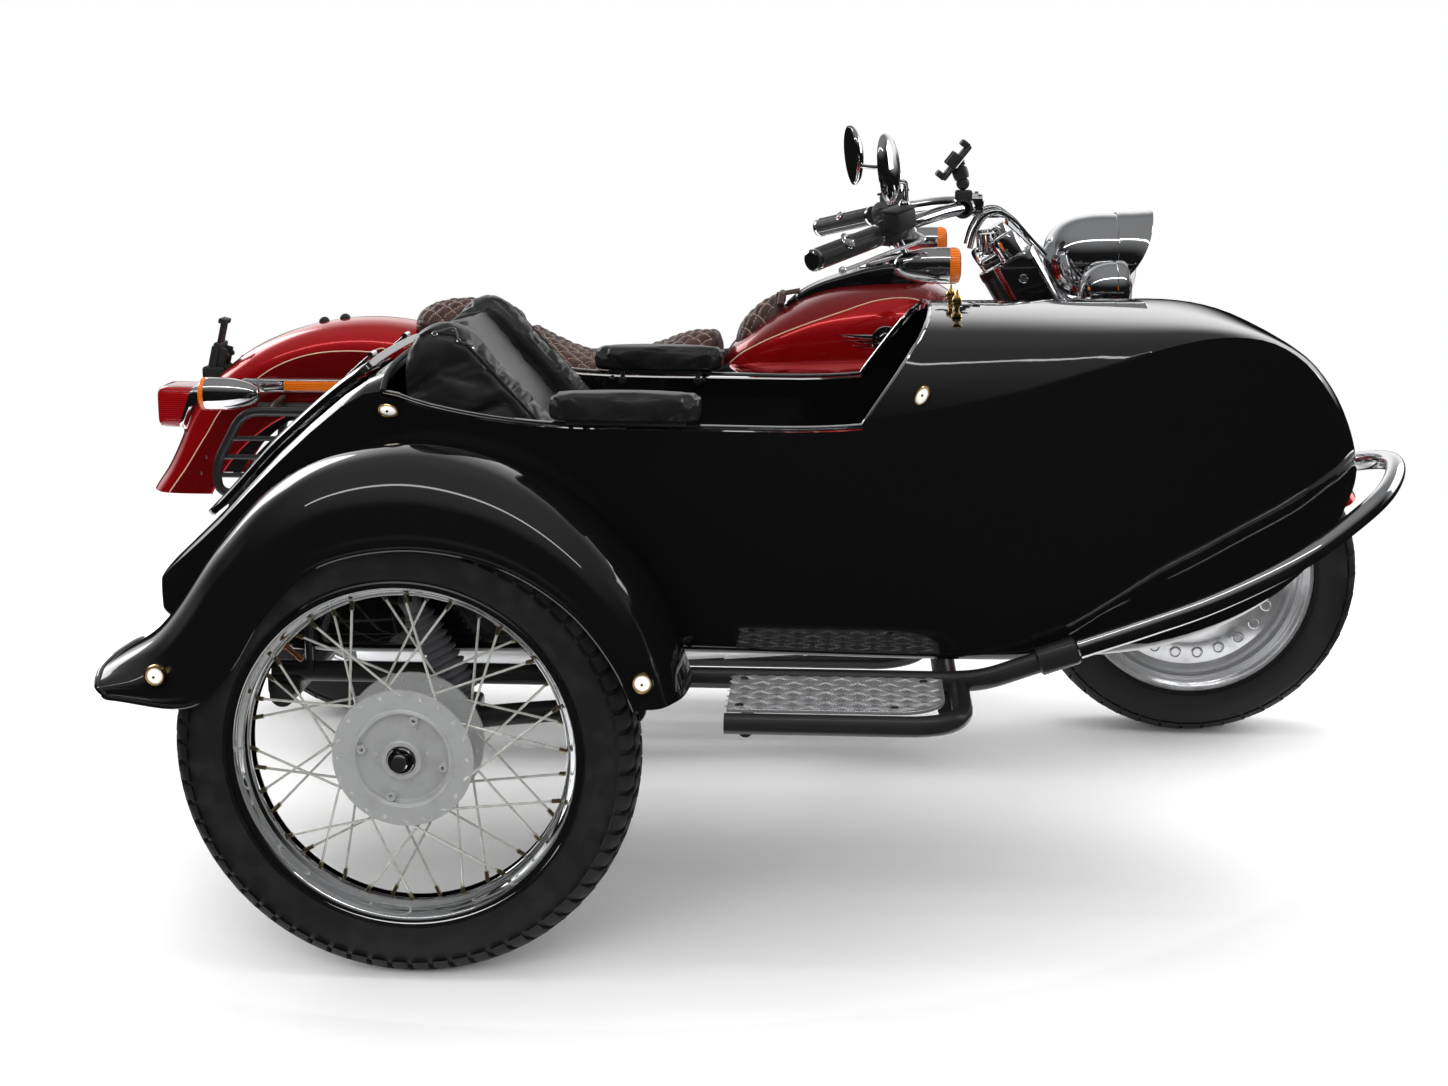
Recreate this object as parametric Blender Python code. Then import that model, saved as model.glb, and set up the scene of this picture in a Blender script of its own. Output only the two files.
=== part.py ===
# A cruiser motorcycle with a passenger sidecar on its right side.
# The vehicle frame has +X forwards, +Y to the rider's left and +Z up, with the rear axle
# above its zero point. The last function moves the zero point under the middle of the whole.

import math

import bmesh
import bpy
from mathutils import Matrix, Vector

# Wheels and stance.
WHEELBASE = 1.635
FRONT_TYRE_RADIUS = 0.321
FRONT_TYRE_WIDTH = 0.140
REAR_TYRE_RADIUS = 0.326
REAR_TYRE_WIDTH = 0.160
DISC_RIM_RADIUS = 0.233
SIDECAR_TYRE_RADIUS = 0.337
SIDECAR_TYRE_WIDTH = 0.104
SIDECAR_RIM_RADIUS = 0.2525
SIDECAR_AXLE_X = 0.323
SIDECAR_TRACK = 1.213
AXLE_RADIUS = 0.011
BORE_CLEARANCE = 0.0008
TYRE_SEAT_GAP = 0.0005
WHEEL_STEPS = 32
SPOKES = 16

# Steering.
RAKE = math.radians(31.0)
TRAIL = 0.147
FORK_HALF_SPACING = FRONT_TYRE_WIDTH / 2 + 0.055
FORK_SLIDER_RADIUS = 0.031
FORK_COVER_RADIUS = 0.044
BAR_RADIUS = 0.0127
GRIP_RADIUS = 0.019
GRIP_END_Y = 0.42
HEADLAMP_RADIUS = 0.088

# Motorcycle frame.
FRAME_TUBE_RADIUS = 0.016
FRAME_HALF_WIDTH = 0.145
BACKBONE_RADIUS = 0.025
REST_GAP = 0.0005

# Engine.
CRANK_X = 0.84
CRANK_Z = 0.33
BANK_ANGLE = math.radians(22.5)
CYLINDER_BASE = 0.170
CYLINDER_RADIUS = 0.062
HEAD_START = 0.285
HEAD_END = 0.352

# Rear fender.
REAR_FENDER_HALF_WIDTH = 0.115
REAR_FENDER_RADIUS = 0.492
FENDER_SHEET = 0.004

# Sidecar body.
SIDECAR_CENTRE_Y = -0.770
BODY_HALF_WIDTH = 0.280
BODY_WALL = 0.012
BODY_FLOOR_Z = 0.430
NOSE_X = 1.757
NOSE_START_X = 1.150
TAIL_X = -0.105
GUNWALE_Z = 0.779
COCKPIT_FRONT_X = 0.969
COCKPIT_REAR_X = 0.262
LID_GAP = 0.006
LID_THICKNESS = 0.012

# Sidecar chassis.
CHASSIS_TUBE_RADIUS = 0.016
CHASSIS_Z = 0.401
CHASSIS_OUTER_Y = -1.050
CHASSIS_INNER_Y = -0.470
FRONT_CROSS_X = 1.105
REAR_CROSS_X = 0.100
STEP_OUTER_Y = -1.250
BUMPER_RADIUS = 0.015
SLEEVE_SPLAY = 0.028

SIDES = (("right", -1.0), ("left", 1.0))

STEER_UP = Vector((-math.sin(RAKE), 0.0, math.cos(RAKE)))
STEER_FORE = Vector((math.cos(RAKE), 0.0, math.sin(RAKE)))
FRONT_AXLE = Vector((WHEELBASE, 0.0, FRONT_TYRE_RADIUS))
REAR_AXLE = Vector((0.0, 0.0, REAR_TYRE_RADIUS))
SIDECAR_AXLE = Vector((SIDECAR_AXLE_X, -SIDECAR_TRACK, SIDECAR_TYRE_RADIUS))
FORK_OFFSET = FRONT_TYRE_RADIUS * math.sin(RAKE) - TRAIL * math.cos(RAKE)

PAINTS = {
    "red_paint": ((0.32, 0.004, 0.008), 0.12, 0.5),
    "black_paint": ((0.004, 0.004, 0.004), 0.08, 0.0),
    "satin_black": ((0.012, 0.012, 0.012), 0.35, 0.0),
    "chrome": ((0.78, 0.78, 0.79), 0.06, 1.0),
    "polished_alloy": ((0.72, 0.72, 0.73), 0.18, 1.0),
    "cast_alloy": ((0.42, 0.42, 0.43), 0.42, 1.0),
    "tyre_rubber": ((0.014, 0.014, 0.014), 0.75, 0.0),
    "soft_rubber": ((0.012, 0.012, 0.012), 0.6, 0.0),
    "brown_leather": ((0.05, 0.022, 0.016), 0.5, 0.0),
    "black_leather": ((0.013, 0.013, 0.015), 0.38, 0.0),
    "red_lens": ((0.5, 0.008, 0.008), 0.1, 0.0),
    "black_plastic": ((0.015, 0.015, 0.015), 0.4, 0.0),
}

PLACES = {}


def clear_scene():
    for item in list(bpy.data.objects):
        bpy.data.objects.remove(item, do_unlink=True)


def make_paint(name):
    colour, roughness, metallic = PAINTS[name]
    paint = bpy.data.materials.new(name)
    paint.use_nodes = True
    shader = paint.node_tree.nodes["Principled BSDF"]
    shader.inputs["Base Color"].default_value = (*colour, 1.0)
    shader.inputs["Roughness"].default_value = roughness
    shader.inputs["Metallic"].default_value = metallic
    paint.diffuse_color = (*colour, 1.0)
    return paint


def add_pivot(name, place, parent=None):
    pivot = bpy.data.objects.new(name, None)
    pivot.empty_display_size = 0.08
    bpy.context.scene.collection.objects.link(pivot)
    if parent is not None:
        pivot.parent = parent
        pivot.location = Vector(place) - PLACES[parent.name]
    else:
        pivot.location = place
    PLACES[name] = Vector(place)
    return pivot


def add_node(name, mesh, paint, pivot):
    """The mesh is in the vehicle frame; the object hangs on the pivot of what it moves with."""
    mesh.transform(Matrix.Translation(-PLACES[pivot.name]))
    mesh.name = name
    node = bpy.data.objects.new(name, mesh)
    bpy.context.scene.collection.objects.link(node)
    node.parent = pivot
    if paint not in bpy.data.materials:
        make_paint(paint)
    own = bpy.data.materials[paint].copy()
    own.name = name + "_finish"
    mesh.materials.clear()
    mesh.materials.append(own)
    mesh.shade_smooth()
    mesh.set_sharp_from_angle(angle=math.radians(35.0))
    return node


def finish_bmesh(work, name):
    bmesh.ops.remove_doubles(work, verts=work.verts, dist=0.00001)
    bmesh.ops.recalc_face_normals(work, faces=work.faces)
    mesh = bpy.data.meshes.new(name)
    work.to_mesh(mesh)
    work.free()
    return mesh


def loft(rings, name="loft"):
    """Closed rings with the same number of points, joined in order and capped."""
    work = bmesh.new()
    made = [[work.verts.new(point) for point in ring] for ring in rings]
    count = len(rings[0])
    for lower, upper in zip(made, made[1:]):
        for index in range(count):
            after = (index + 1) % count
            work.faces.new((lower[index], lower[after], upper[after], upper[index]))
    work.faces.new(list(reversed(made[0])))
    work.faces.new(made[-1])
    return finish_bmesh(work, name)


def turned(profile, centre, axis, steps=24):
    """A closed (radius, height) outline spun about the axis through the centre."""
    work = bmesh.new()
    points = [work.verts.new((radius, 0.0, height)) for radius, height in profile]
    edges = [work.edges.new((a, b)) for a, b in zip(points, points[1:] + points[:1])]
    bmesh.ops.spin(
        work, geom=points + edges, cent=(0, 0, 0), axis=(0, 0, 1), angle=math.tau,
        steps=steps, use_merge=True, use_duplicate=False,
    )
    turn = Vector((0, 0, 1)).rotation_difference(Vector(axis).normalized()).to_matrix().to_4x4()
    work.transform(Matrix.Translation(Vector(centre)) @ turn)
    return finish_bmesh(work, "turned")


def rod(start, end, radius, steps=16, end_radius=None):
    """A straight round bar, which may taper."""
    start = Vector(start)
    length = (Vector(end) - start).length
    outer = radius if end_radius is None else end_radius
    profile = [(0.0, 0.0), (radius, 0.0), (outer, length), (0.0, length)]
    return spindle(profile, start, Vector(end) - start, steps)


def spindle(profile, centre, axis, steps=16):
    """A solid of revolution whose (radius, height) outline starts and ends on the axis."""
    work = bmesh.new()
    rings = []
    for radius, height in profile:
        if radius == 0.0:
            rings.append([work.verts.new((0.0, 0.0, height))])
            continue
        turns = [math.tau * step / steps for step in range(steps)]
        rings.append([work.verts.new((radius * math.cos(t), radius * math.sin(t), height)) for t in turns])
    for lower, upper in zip(rings, rings[1:]):
        for step in range(steps):
            after = (step + 1) % steps
            face = [lower[step % len(lower)], lower[after % len(lower)],
                    upper[after % len(upper)], upper[step % len(upper)]]
            unique = list(dict.fromkeys(face))
            if len(unique) > 2:
                work.faces.new(unique)
    turn = Vector((0, 0, 1)).rotation_difference(Vector(axis).normalized()).to_matrix().to_4x4()
    work.transform(Matrix.Translation(Vector(centre)) @ turn)
    return finish_bmesh(work, "spindle")


def rounded_path(points, bend, steps=4, closed=False):
    """The points with each corner replaced by an arc that starts up to `bend` before it."""
    points = [Vector(point) for point in points]
    if closed:
        inner = range(len(points))
    else:
        inner = range(1, len(points) - 1)
    path = [] if closed else [points[0]]
    for index in inner:
        corner = points[index]
        before = points[index - 1]
        after = points[(index + 1) % len(points)]
        reach = min(bend, 0.49 * (before - corner).length, 0.49 * (after - corner).length)
        start = corner + (before - corner).normalized() * reach
        end = corner + (after - corner).normalized() * reach
        for step in range(steps + 1):
            t = step / steps
            path.append((1 - t) ** 2 * start + 2 * t * (1 - t) * corner + t * t * end)
    if not closed:
        path.append(points[-1])
    return path


def tube(points, radius, bend=0.05, resolution=2, bend_steps=3, closed=False):
    """A round tube along the points, with swept corners and flat ends."""
    path = rounded_path(points, bend, bend_steps, closed)
    curve = bpy.data.curves.new("tube", "CURVE")
    curve.dimensions = "3D"
    curve.bevel_depth = radius
    curve.bevel_resolution = resolution
    curve.use_fill_caps = True
    spline = curve.splines.new("POLY")
    spline.points.add(len(path) - 1)
    for place, point in zip(path, spline.points):
        point.co = (*place, 1.0)
    spline.use_cyclic_u = closed
    guide = bpy.data.objects.new("tube", curve)
    bpy.context.scene.collection.objects.link(guide)
    graph = bpy.context.evaluated_depsgraph_get()
    mesh = bpy.data.meshes.new_from_object(guide.evaluated_get(graph))
    bpy.data.objects.remove(guide)
    work = bmesh.new()
    work.from_mesh(mesh)
    return finish_bmesh(work, "tube")


def block(low, high, bevel=0.0, segments=2):
    work = bmesh.new()
    bmesh.ops.create_cube(work, size=1.0)
    low = Vector(low)
    high = Vector(high)
    size = Matrix.Diagonal((*(high - low), 1.0))
    work.transform(Matrix.Translation((low + high) / 2) @ size)
    if bevel:
        bmesh.ops.bevel(
            work, geom=work.edges[:], offset=bevel, segments=segments, profile=0.5, affect="EDGES"
        )
    return finish_bmesh(work, "block")


def slab(outline, low_y, high_y):
    """An (x, z) outline, extruded along Y."""
    rings = [[(x, y, z) for x, z in outline] for y in (low_y, high_y)]
    return loft(rings, "slab")


def moved(mesh, shift):
    mesh.transform(Matrix.Translation(Vector(shift)))
    return mesh


def mirrored(mesh):
    """The same shape on the other side of the motorcycle's middle plane."""
    work = bmesh.new()
    work.from_mesh(mesh)
    work.transform(Matrix.Diagonal((1.0, -1.0, 1.0, 1.0)))
    return finish_bmesh(work, "mirrored")


def combine(base, others, operation):
    """The base mesh with a Boolean against every other mesh, as a new mesh."""
    scene = bpy.context.scene
    body = bpy.data.objects.new("base", base)
    scene.collection.objects.link(body)
    tools = bpy.data.collections.new("tools")
    scene.collection.children.link(tools)
    for mesh in others:
        tools.objects.link(bpy.data.objects.new("tool", mesh))
    change = body.modifiers.new("combine", "BOOLEAN")
    change.operation = operation
    change.solver = "EXACT"
    change.operand_type = "COLLECTION"
    change.collection = tools
    graph = bpy.context.evaluated_depsgraph_get()
    result = bpy.data.meshes.new_from_object(body.evaluated_get(graph))
    bpy.data.objects.remove(body)
    for item in list(tools.objects):
        bpy.data.objects.remove(item)
    bpy.data.collections.remove(tools)
    work = bmesh.new()
    work.from_mesh(result)
    bmesh.ops.dissolve_limit(
        work, angle_limit=math.radians(0.5), verts=work.verts, edges=work.edges
    )
    bmesh.ops.triangulate(work, faces=[face for face in work.faces if len(face.verts) > 4])
    return finish_bmesh(work, "combined")


def unite(*pieces):
    return combine(pieces[0], pieces[1:], "UNION")


def cut(base, *cutters):
    return combine(base, cutters, "DIFFERENCE")


def rested(piece, neighbours, lift):
    """The piece cut to the shape of what it rests on, then lifted clear by the resting gap."""
    shaped = cut(piece, *[mesh.copy() for mesh in neighbours])
    return moved(shaped, Vector(lift).normalized() * REST_GAP)


def between(table, x):
    """Straight-line value from a list of (x, value) pairs."""
    if x <= table[0][0]:
        return table[0][1]
    for (x0, v0), (x1, v1) in zip(table, table[1:]):
        if x <= x1:
            return v0 + (v1 - v0) * (x - x0) / (x1 - x0)
    return table[-1][1]


def oval_ring(x, half_width, low, high, power=2.6, points=16, centre_y=0.0):
    """A squared-off oval across the vehicle at one station."""
    ring = []
    for index in range(points):
        t = math.tau * (index + 0.5) / points
        across = math.copysign(abs(math.cos(t)) ** (2 / power), math.cos(t))
        upward = math.copysign(abs(math.sin(t)) ** (2 / power), math.sin(t))
        y = centre_y + half_width * across
        z = (low + high) / 2 + (high - low) / 2 * upward
        ring.append((x, y, z))
    return ring


def fork_point(height_along, side=0.0, fore=0.0):
    """A point by its distance up the fork from the front axle, and its offsets from that line."""
    place = FRONT_AXLE + STEER_UP * height_along + STEER_FORE * fore
    return place + Vector((0.0, side, 0.0))


# Wheels and tyres.


def tyre(centre, radius, width, rim_radius):
    inner = rim_radius + TYRE_SEAT_GAP
    half = width / 2
    wall = radius - rim_radius
    profile = [
        (inner, -0.74 * half),
        (rim_radius + 0.40 * wall, -half),
        (rim_radius + 0.72 * wall, -0.95 * half),
        (rim_radius + 0.93 * wall, -0.62 * half),
        (radius, -0.20 * half),
    ]
    outline = profile + [(r, -y) for r, y in reversed(profile)]
    return turned(outline, centre, (0, 1, 0), WHEEL_STEPS)


def disc_wheel(centre, rim_half, hub_half, rotor):
    """A solid disc wheel, with its brake disc or pulley rings as (radius, low y, high y)."""
    bore = AXLE_RADIUS + BORE_CLEARANCE
    lip = DISC_RIM_RADIUS
    half = [
        (bore, hub_half),
        (0.036, hub_half),
        (0.044, 0.034),
        (0.196, 0.012),
        (0.214, rim_half),
        (lip, rim_half),
    ]
    outline = half + [(r, -y) for r, y in reversed(half)]
    wheel = turned(outline, centre, (0, 1, 0), WHEEL_STEPS)
    rings = []
    for radius, inner, low, high in rotor:
        ring = [(inner, low), (radius, low), (radius, high), (inner, high)]
        rings.append(turned(ring, centre, (0, 1, 0), 20))
    return unite(wheel, *rings)


def spoked_wheel():
    """Rim, hub and crossed spokes as one welded piece."""
    bore = AXLE_RADIUS + BORE_CLEARANCE
    lip = SIDECAR_RIM_RADIUS
    rim = [(lip - 0.006, -0.043), (lip - 0.016, -0.016), (lip - 0.016, 0.016),
           (lip - 0.006, 0.043), (lip, 0.043), (lip, -0.043)]
    half = [(bore, 0.055), (0.028, 0.055), (0.066, 0.044), (0.098, 0.038), (0.060, 0.026)]
    hub = half + [(r, -y) for r, y in reversed(half)]
    pieces = [
        turned(rim, SIDECAR_AXLE, (0, 1, 0), WHEEL_STEPS),
        turned(hub, SIDECAR_AXLE, (0, 1, 0), 20),
    ]
    for index in range(SPOKES):
        side = 1.0 if index % 2 else -1.0
        lean = 1.0 if index % 4 < 2 else -1.0
        turn = math.tau * (index + 0.5) / SPOKES
        foot_turn = turn - lean * math.radians(38.0)
        foot = Vector((math.cos(foot_turn) * 0.086, side * 0.035, math.sin(foot_turn) * 0.086))
        head = Vector((math.cos(turn) * (lip - 0.012), side * 0.006, math.sin(turn) * (lip - 0.012)))
        pieces.append(rod(SIDECAR_AXLE + foot, SIDECAR_AXLE + head, 0.0028, 4))
    return unite(*pieces)


def add_wheels(pivots):
    front = pivots["front_wheel"]
    rear = pivots["rear_wheel"]
    sidecar = pivots["sidecar_wheel"]
    add_node(
        "front_wheel",
        disc_wheel(FRONT_AXLE, 0.056, 0.078, [(0.146, 0.030, 0.066, 0.071)]),
        "polished_alloy", front,
    )
    add_node(
        "front_tyre",
        tyre(FRONT_AXLE, FRONT_TYRE_RADIUS, FRONT_TYRE_WIDTH, DISC_RIM_RADIUS),
        "tyre_rubber", front,
    )
    rings = [(0.118, 0.030, 0.066, 0.084), (0.146, 0.030, -0.078, -0.072)]
    add_node("rear_wheel", disc_wheel(REAR_AXLE, 0.062, 0.088, rings), "polished_alloy", rear)
    add_node(
        "rear_tyre",
        tyre(REAR_AXLE, REAR_TYRE_RADIUS, REAR_TYRE_WIDTH, DISC_RIM_RADIUS),
        "tyre_rubber", rear,
    )
    add_node("sidecar_rim", spoked_wheel(), "chrome", sidecar)
    add_node(
        "sidecar_tyre",
        tyre(SIDECAR_AXLE, SIDECAR_TYRE_RADIUS, SIDECAR_TYRE_WIDTH, SIDECAR_RIM_RADIUS),
        "tyre_rubber", sidecar,
    )


# Front end, which turns with the steering.


def front_fork():
    pieces = []
    for _, side in SIDES:
        y = side * FORK_HALF_SPACING
        pieces.append(rod(fork_point(-0.045, y), fork_point(0.36, y), FORK_SLIDER_RADIUS, 12))
        pieces.append(rod(fork_point(0.34, y), fork_point(0.60, y), 0.024, 12))
        pieces.append(rod(fork_point(0.56, y), fork_point(0.74, y), FORK_COVER_RADIUS, 12))
        pieces.append(rod(fork_point(0.73, y), fork_point(0.785, y), 0.027, 12))
    half = FORK_HALF_SPACING + 0.012
    for low, high in ((0.494, 0.534), (0.737, 0.765)):
        clamp = block((-0.064, -half, low), (0.029, half, high), 0.008, 1)
        clamp.transform(fork_matrix())
        pieces.append(clamp)
    reach = FORK_HALF_SPACING + 0.01
    pieces.append(rod(FRONT_AXLE + Vector((0, -reach, 0)), FRONT_AXLE + Vector((0, reach, 0)),
                      AXLE_RADIUS, 20))
    for _, side in SIDES:
        riser = fork_point(0.750, side * 0.055, -FORK_OFFSET)
        pieces.append(rod(riser, riser + Vector((-0.006, 0.0, 0.062)), 0.016, 12))
    return unite(*pieces)


def fork_matrix():
    """From (ahead, across, up the fork) to the vehicle frame."""
    turn = Matrix((
        (STEER_FORE.x, 0.0, STEER_UP.x, FRONT_AXLE.x),
        (0.0, 1.0, 0.0, 0.0),
        (STEER_FORE.z, 0.0, STEER_UP.z, FRONT_AXLE.z),
        (0.0, 0.0, 0.0, 1.0),
    ))
    return turn


BAR_LINE = [(WHEELBASE - 0.753, 0.42, 0.970), (WHEELBASE - 0.5635, 0.205, 1.0272),
            (WHEELBASE - 0.510, 0.14, 1.040), (WHEELBASE - 0.457, 0.08, 1.045)]


def bar_point(y):
    """The handlebar's centre line at a distance out from the middle."""
    table_x = [(point[1], point[0]) for point in reversed(BAR_LINE)]
    table_z = [(point[1], point[2]) for point in reversed(BAR_LINE)]
    return Vector((between(table_x, abs(y)), y, between(table_z, abs(y))))


def handlebar():
    """The bar runs between the two control housings, above the top clamp."""
    right = [bar_point(-0.229), bar_point(-0.207), bar_point(-0.140), bar_point(-0.080)]
    left = [Vector((x, -y, z)) for x, y, z in reversed(right)]
    return tube(right + left, BAR_RADIUS, 0.014, 2, 2)


def bar_frame(place, side):
    """From (ahead of the bar, along it, above it) to the vehicle frame."""
    along = (bar_point(side * 0.28) - bar_point(side * 0.24)).normalized() * side
    ahead = along.cross(Vector((0, 0, 1))).normalized()
    up = ahead.cross(along)
    turn = Matrix((ahead, along, up)).transposed().to_4x4()
    return Matrix.Translation(place) @ turn


def controls(side):
    """Switch housing, fluid reservoir, lever and turn signal, in line with the bar."""
    inner = bar_point(side * 0.2295)
    outer = bar_point(side * 0.2895)
    middle = (inner + outer) / 2
    pieces = [rod(inner, outer, 0.023, 14)]
    reservoir = block((0.004, -0.026, 0.004), (0.040, 0.026, 0.040), 0.006, 1)
    reservoir.transform(bar_frame(middle, side))
    pieces.append(reservoir)
    lever = [
        middle + Vector((0.012, side * 0.01, 0.0)),
        middle + Vector((0.050, side * 0.040, -0.012)),
        bar_point(side * 0.36) + Vector((0.050, 0.0, -0.018)),
        bar_point(side * 0.415) + Vector((0.044, 0.0, -0.020)),
    ]
    pieces.append(tube(lever, 0.0065, 0.02, 1, 2))
    signal = middle + Vector((0.062, side * 0.012, -0.062))
    pieces.append(rod(middle + Vector((0.012, 0.0, 0.0)), signal, 0.007, 8))
    bullet = [(0.0, -0.058), (0.016, -0.052), (0.029, -0.018), (0.033, 0.022), (0.033, 0.052), (0.026,
            0.062), (0.0, 0.065)]
    pieces.append(spindle(bullet, signal, (1, 0, 0), 14))
    return unite(*pieces)


def grip(side):
    return rod(bar_point(side * 0.290), bar_point(side * GRIP_END_Y), GRIP_RADIUS, 14)


def mirror(side):
    """A stem from the control housing up to a round glass that faces back."""
    foot = bar_point(side * 0.262) + Vector((0.024, 0.0, 0.0480))
    centre = Vector((WHEELBASE - 0.650 - side * 0.030, side * 0.372, 1.128))
    stem = tube([foot, foot + Vector((0.004, side * 0.012, 0.055)), centre + Vector((0.004,
            -side * 0.015, -0.006))],
                0.005, 0.03, 1, 3)
    outline = [(0.0, 0.012), (0.030, 0.010), (0.056, 0.002), (0.060, -0.006), (0.058, -0.008), (0.0,
            -0.008)]
    facing = Vector((1.0, side * 0.30, 0.10))
    return unite(spindle(outline, centre, facing, 20), stem)


def headlamp():
    """A chrome bucket with its lens ring and a peak over the glass."""
    centre = Vector((WHEELBASE - 0.313, 0.0, 0.940))
    r = HEADLAMP_RADIUS
    bucket = [(0.0, 0.0), (0.030, 0.002), (0.058, 0.016), (0.078, 0.045), (r, 0.085), (r, 0.135),
              (r + 0.002, 0.150), (r - 0.004, 0.162), (0.060, 0.174), (0.0, 0.180)]
    shell = spindle(bucket, centre, (1, 0, 0), 24)
    rings = []
    for ahead, reach, span in ((0.083, 0.0, 72.0), (0.148, 0.0, 72.0), (0.204, 0.004, 58.0)):
        x = centre.x + ahead
        arc = [math.radians(span * (2 * step / 8 - 1)) for step in range(9)]
        outer = [(x, (r + 0.006 + reach) * math.sin(a),
                  centre.z + (r + 0.006 + reach) * math.cos(a)) for a in arc]
        inner = [(x, (r - 0.004 + reach) * math.sin(a),
                  centre.z + (r - 0.004 + reach) * math.cos(a)) for a in reversed(arc)]
        rings.append(outer + inner)
    return unite(shell, loft(rings, "peak"))


def passing_lamps():
    """Two small lamps on one bar below the headlamp."""
    x = WHEELBASE - 0.203
    pieces = [rod((x, -0.170, 0.837), (x, 0.170, 0.837), 0.008, 10)]
    lamp = [(0.0, 0.0), (0.024, 0.004), (0.044, 0.022), (0.054, 0.052), (0.055, 0.082), (0.046, 0.092),
            (0.0, 0.096)]
    for _, side in SIDES:
        pieces.append(spindle(lamp, (x - 0.058, side * 0.170, 0.896), (1, 0, 0), 20))
    return unite(*pieces)


def phone_holder():
    """A clamp-on cradle beside the middle of the bar."""
    foot = bar_point(-0.10)
    clamp = block(foot + Vector((-0.018, -0.012, 0.0135)), foot + Vector((0.018, 0.012, 0.035)), 0.004, 1)
    plate = block((-0.040, -0.032, 0.0), (0.040, 0.032, 0.010), 0.003, 1)
    tilt = Matrix.Translation(foot + Vector((-0.012, 0.0,
                                             0.082))) @ Matrix.Rotation(math.radians(-52.0), 4, "Y")
    plate.transform(tilt)
    arm = rod(foot + Vector((0.0, 0.0, 0.030)), foot + Vector((-0.010, 0.0, 0.086)), 0.008, 10)
    return unite(plate, clamp, arm)


def channel_ring(centre, angle, low_radius, profile, sheet):
    """One U-shaped station of a fender: profile holds (radius, half width) from crown to edge.

    With no sheet thickness the station is filled across.
    """
    outward = [(low_radius, profile[-1][1])] + [point for point in reversed(profile)]
    outer = [(r, y) for r, y in outward] + [(r, -y) for r, y in reversed(outward[:-1])]
    inner = []
    for r, y in reversed(outer if sheet else []):
        inner_y = math.copysign(max(abs(y) - sheet, 0.0), y)
        inner_r = r if r == low_radius else r - sheet
        inner.append((inner_r, inner_y))
    ring = []
    for r, y in outer + inner:
        ring.append((centre.x + r * math.cos(angle), centre.y + y, centre.z + r * math.sin(angle)))
    return ring


def front_fender():
    rings = []
    for degrees in range(30, 166, 15):
        crown = FRONT_TYRE_RADIUS + 0.030
        half = FRONT_TYRE_WIDTH / 2 + 0.016
        profile = [(crown, 0.0), (crown - 0.004, half - 0.041), (crown - 0.018, half - 0.012),
                   (crown - 0.036, half)]
        rings.append(channel_ring(FRONT_AXLE, math.radians(degrees), FRONT_TYRE_RADIUS - 0.052,
                                  profile, 0.003))
    return loft(rings, "front_fender")


def add_front_end(steering):
    add_node("front_fork", front_fork(), "chrome", steering)
    add_node("headlamp", headlamp(), "chrome", steering)
    add_node("passing_lamps", passing_lamps(), "chrome", steering)
    add_node("handlebar", handlebar(), "chrome", steering)
    for name, side in SIDES:
        add_node("controls_" + name, controls(side), "satin_black", steering)
        add_node("grip_" + name, grip(side), "soft_rubber", steering)
        add_node("mirror_" + name, mirror(side), "chrome", steering)
    add_node("phone_holder", phone_holder(), "black_plastic", steering)
    add_node("front_fender", front_fender(), "red_paint", steering)


# Motorcycle frame and engine.

BACKBONE = [(WHEELBASE - 0.373, 0.0, 0.808), (0.640, 0.0, 0.728), (0.500, 0.0, 0.660)]


def motorcycle_frame():
    head_low = fork_point(0.5415, 0.0, -FORK_OFFSET)
    head_high = fork_point(0.728, 0.0, -FORK_OFFSET)
    pieces = [rod(head_low, head_high, 0.030, 16)]
    pieces.append(tube(BACKBONE, BACKBONE_RADIUS, 0.06))
    w = FRAME_HALF_WIDTH
    for _, side in SIDES:
        cradle = [
            (WHEELBASE - 0.335, side * 0.012, 0.800), (WHEELBASE - 0.405, side * 0.065, 0.725),
            (WHEELBASE - 0.470, side * w, 0.470), (WHEELBASE - 0.530, side * w, 0.185),
            (WHEELBASE - 0.595, side * w, 0.165), (0.480, side * w, 0.165),
            (0.420, side * w, 0.225), (0.420, side * w, 0.590), (0.490, side * 0.012, 0.655),
        ]
        pieces.append(tube(cradle, FRAME_TUBE_RADIUS, 0.06))
        rail = [(0.420, side * w, 0.590), (0.300, side * 0.136, 0.655), (-0.200, side * 0.136, 0.655)]
        pieces.append(tube(rail, 0.012, 0.05))
    for x, z in ((1.045, 0.165), (0.475, 0.165), (0.420, 0.430)):
        pieces.append(rod((x, -w, z), (x, w, z), 0.013, 10))
    return unite(*pieces)


def swingarm():
    """Two arms from the pivot tube to the rear axle."""
    pieces = [rod((0.392, -0.108, 0.345), (0.392, 0.108, 0.345), 0.020, 14)]
    for _, side in SIDES:
        y = side * 0.109
        pieces.append(rod((0.392, y, 0.345), (0.0, y, REAR_TYRE_RADIUS), 0.0145, 8))
        pieces.append(rod((-0.012, y - 0.012, REAR_TYRE_RADIUS), (-0.012, y + 0.012, REAR_TYRE_RADIUS),
                          0.026, 12))
    pieces.append(rod((0, -0.130, REAR_TYRE_RADIUS), (0, 0.130, REAR_TYRE_RADIUS), AXLE_RADIUS, 20))
    return unite(*pieces)


def bank_direction(bank):
    return Vector((bank * math.sin(BANK_ANGLE), 0.0, math.cos(BANK_ANGLE)))


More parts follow.
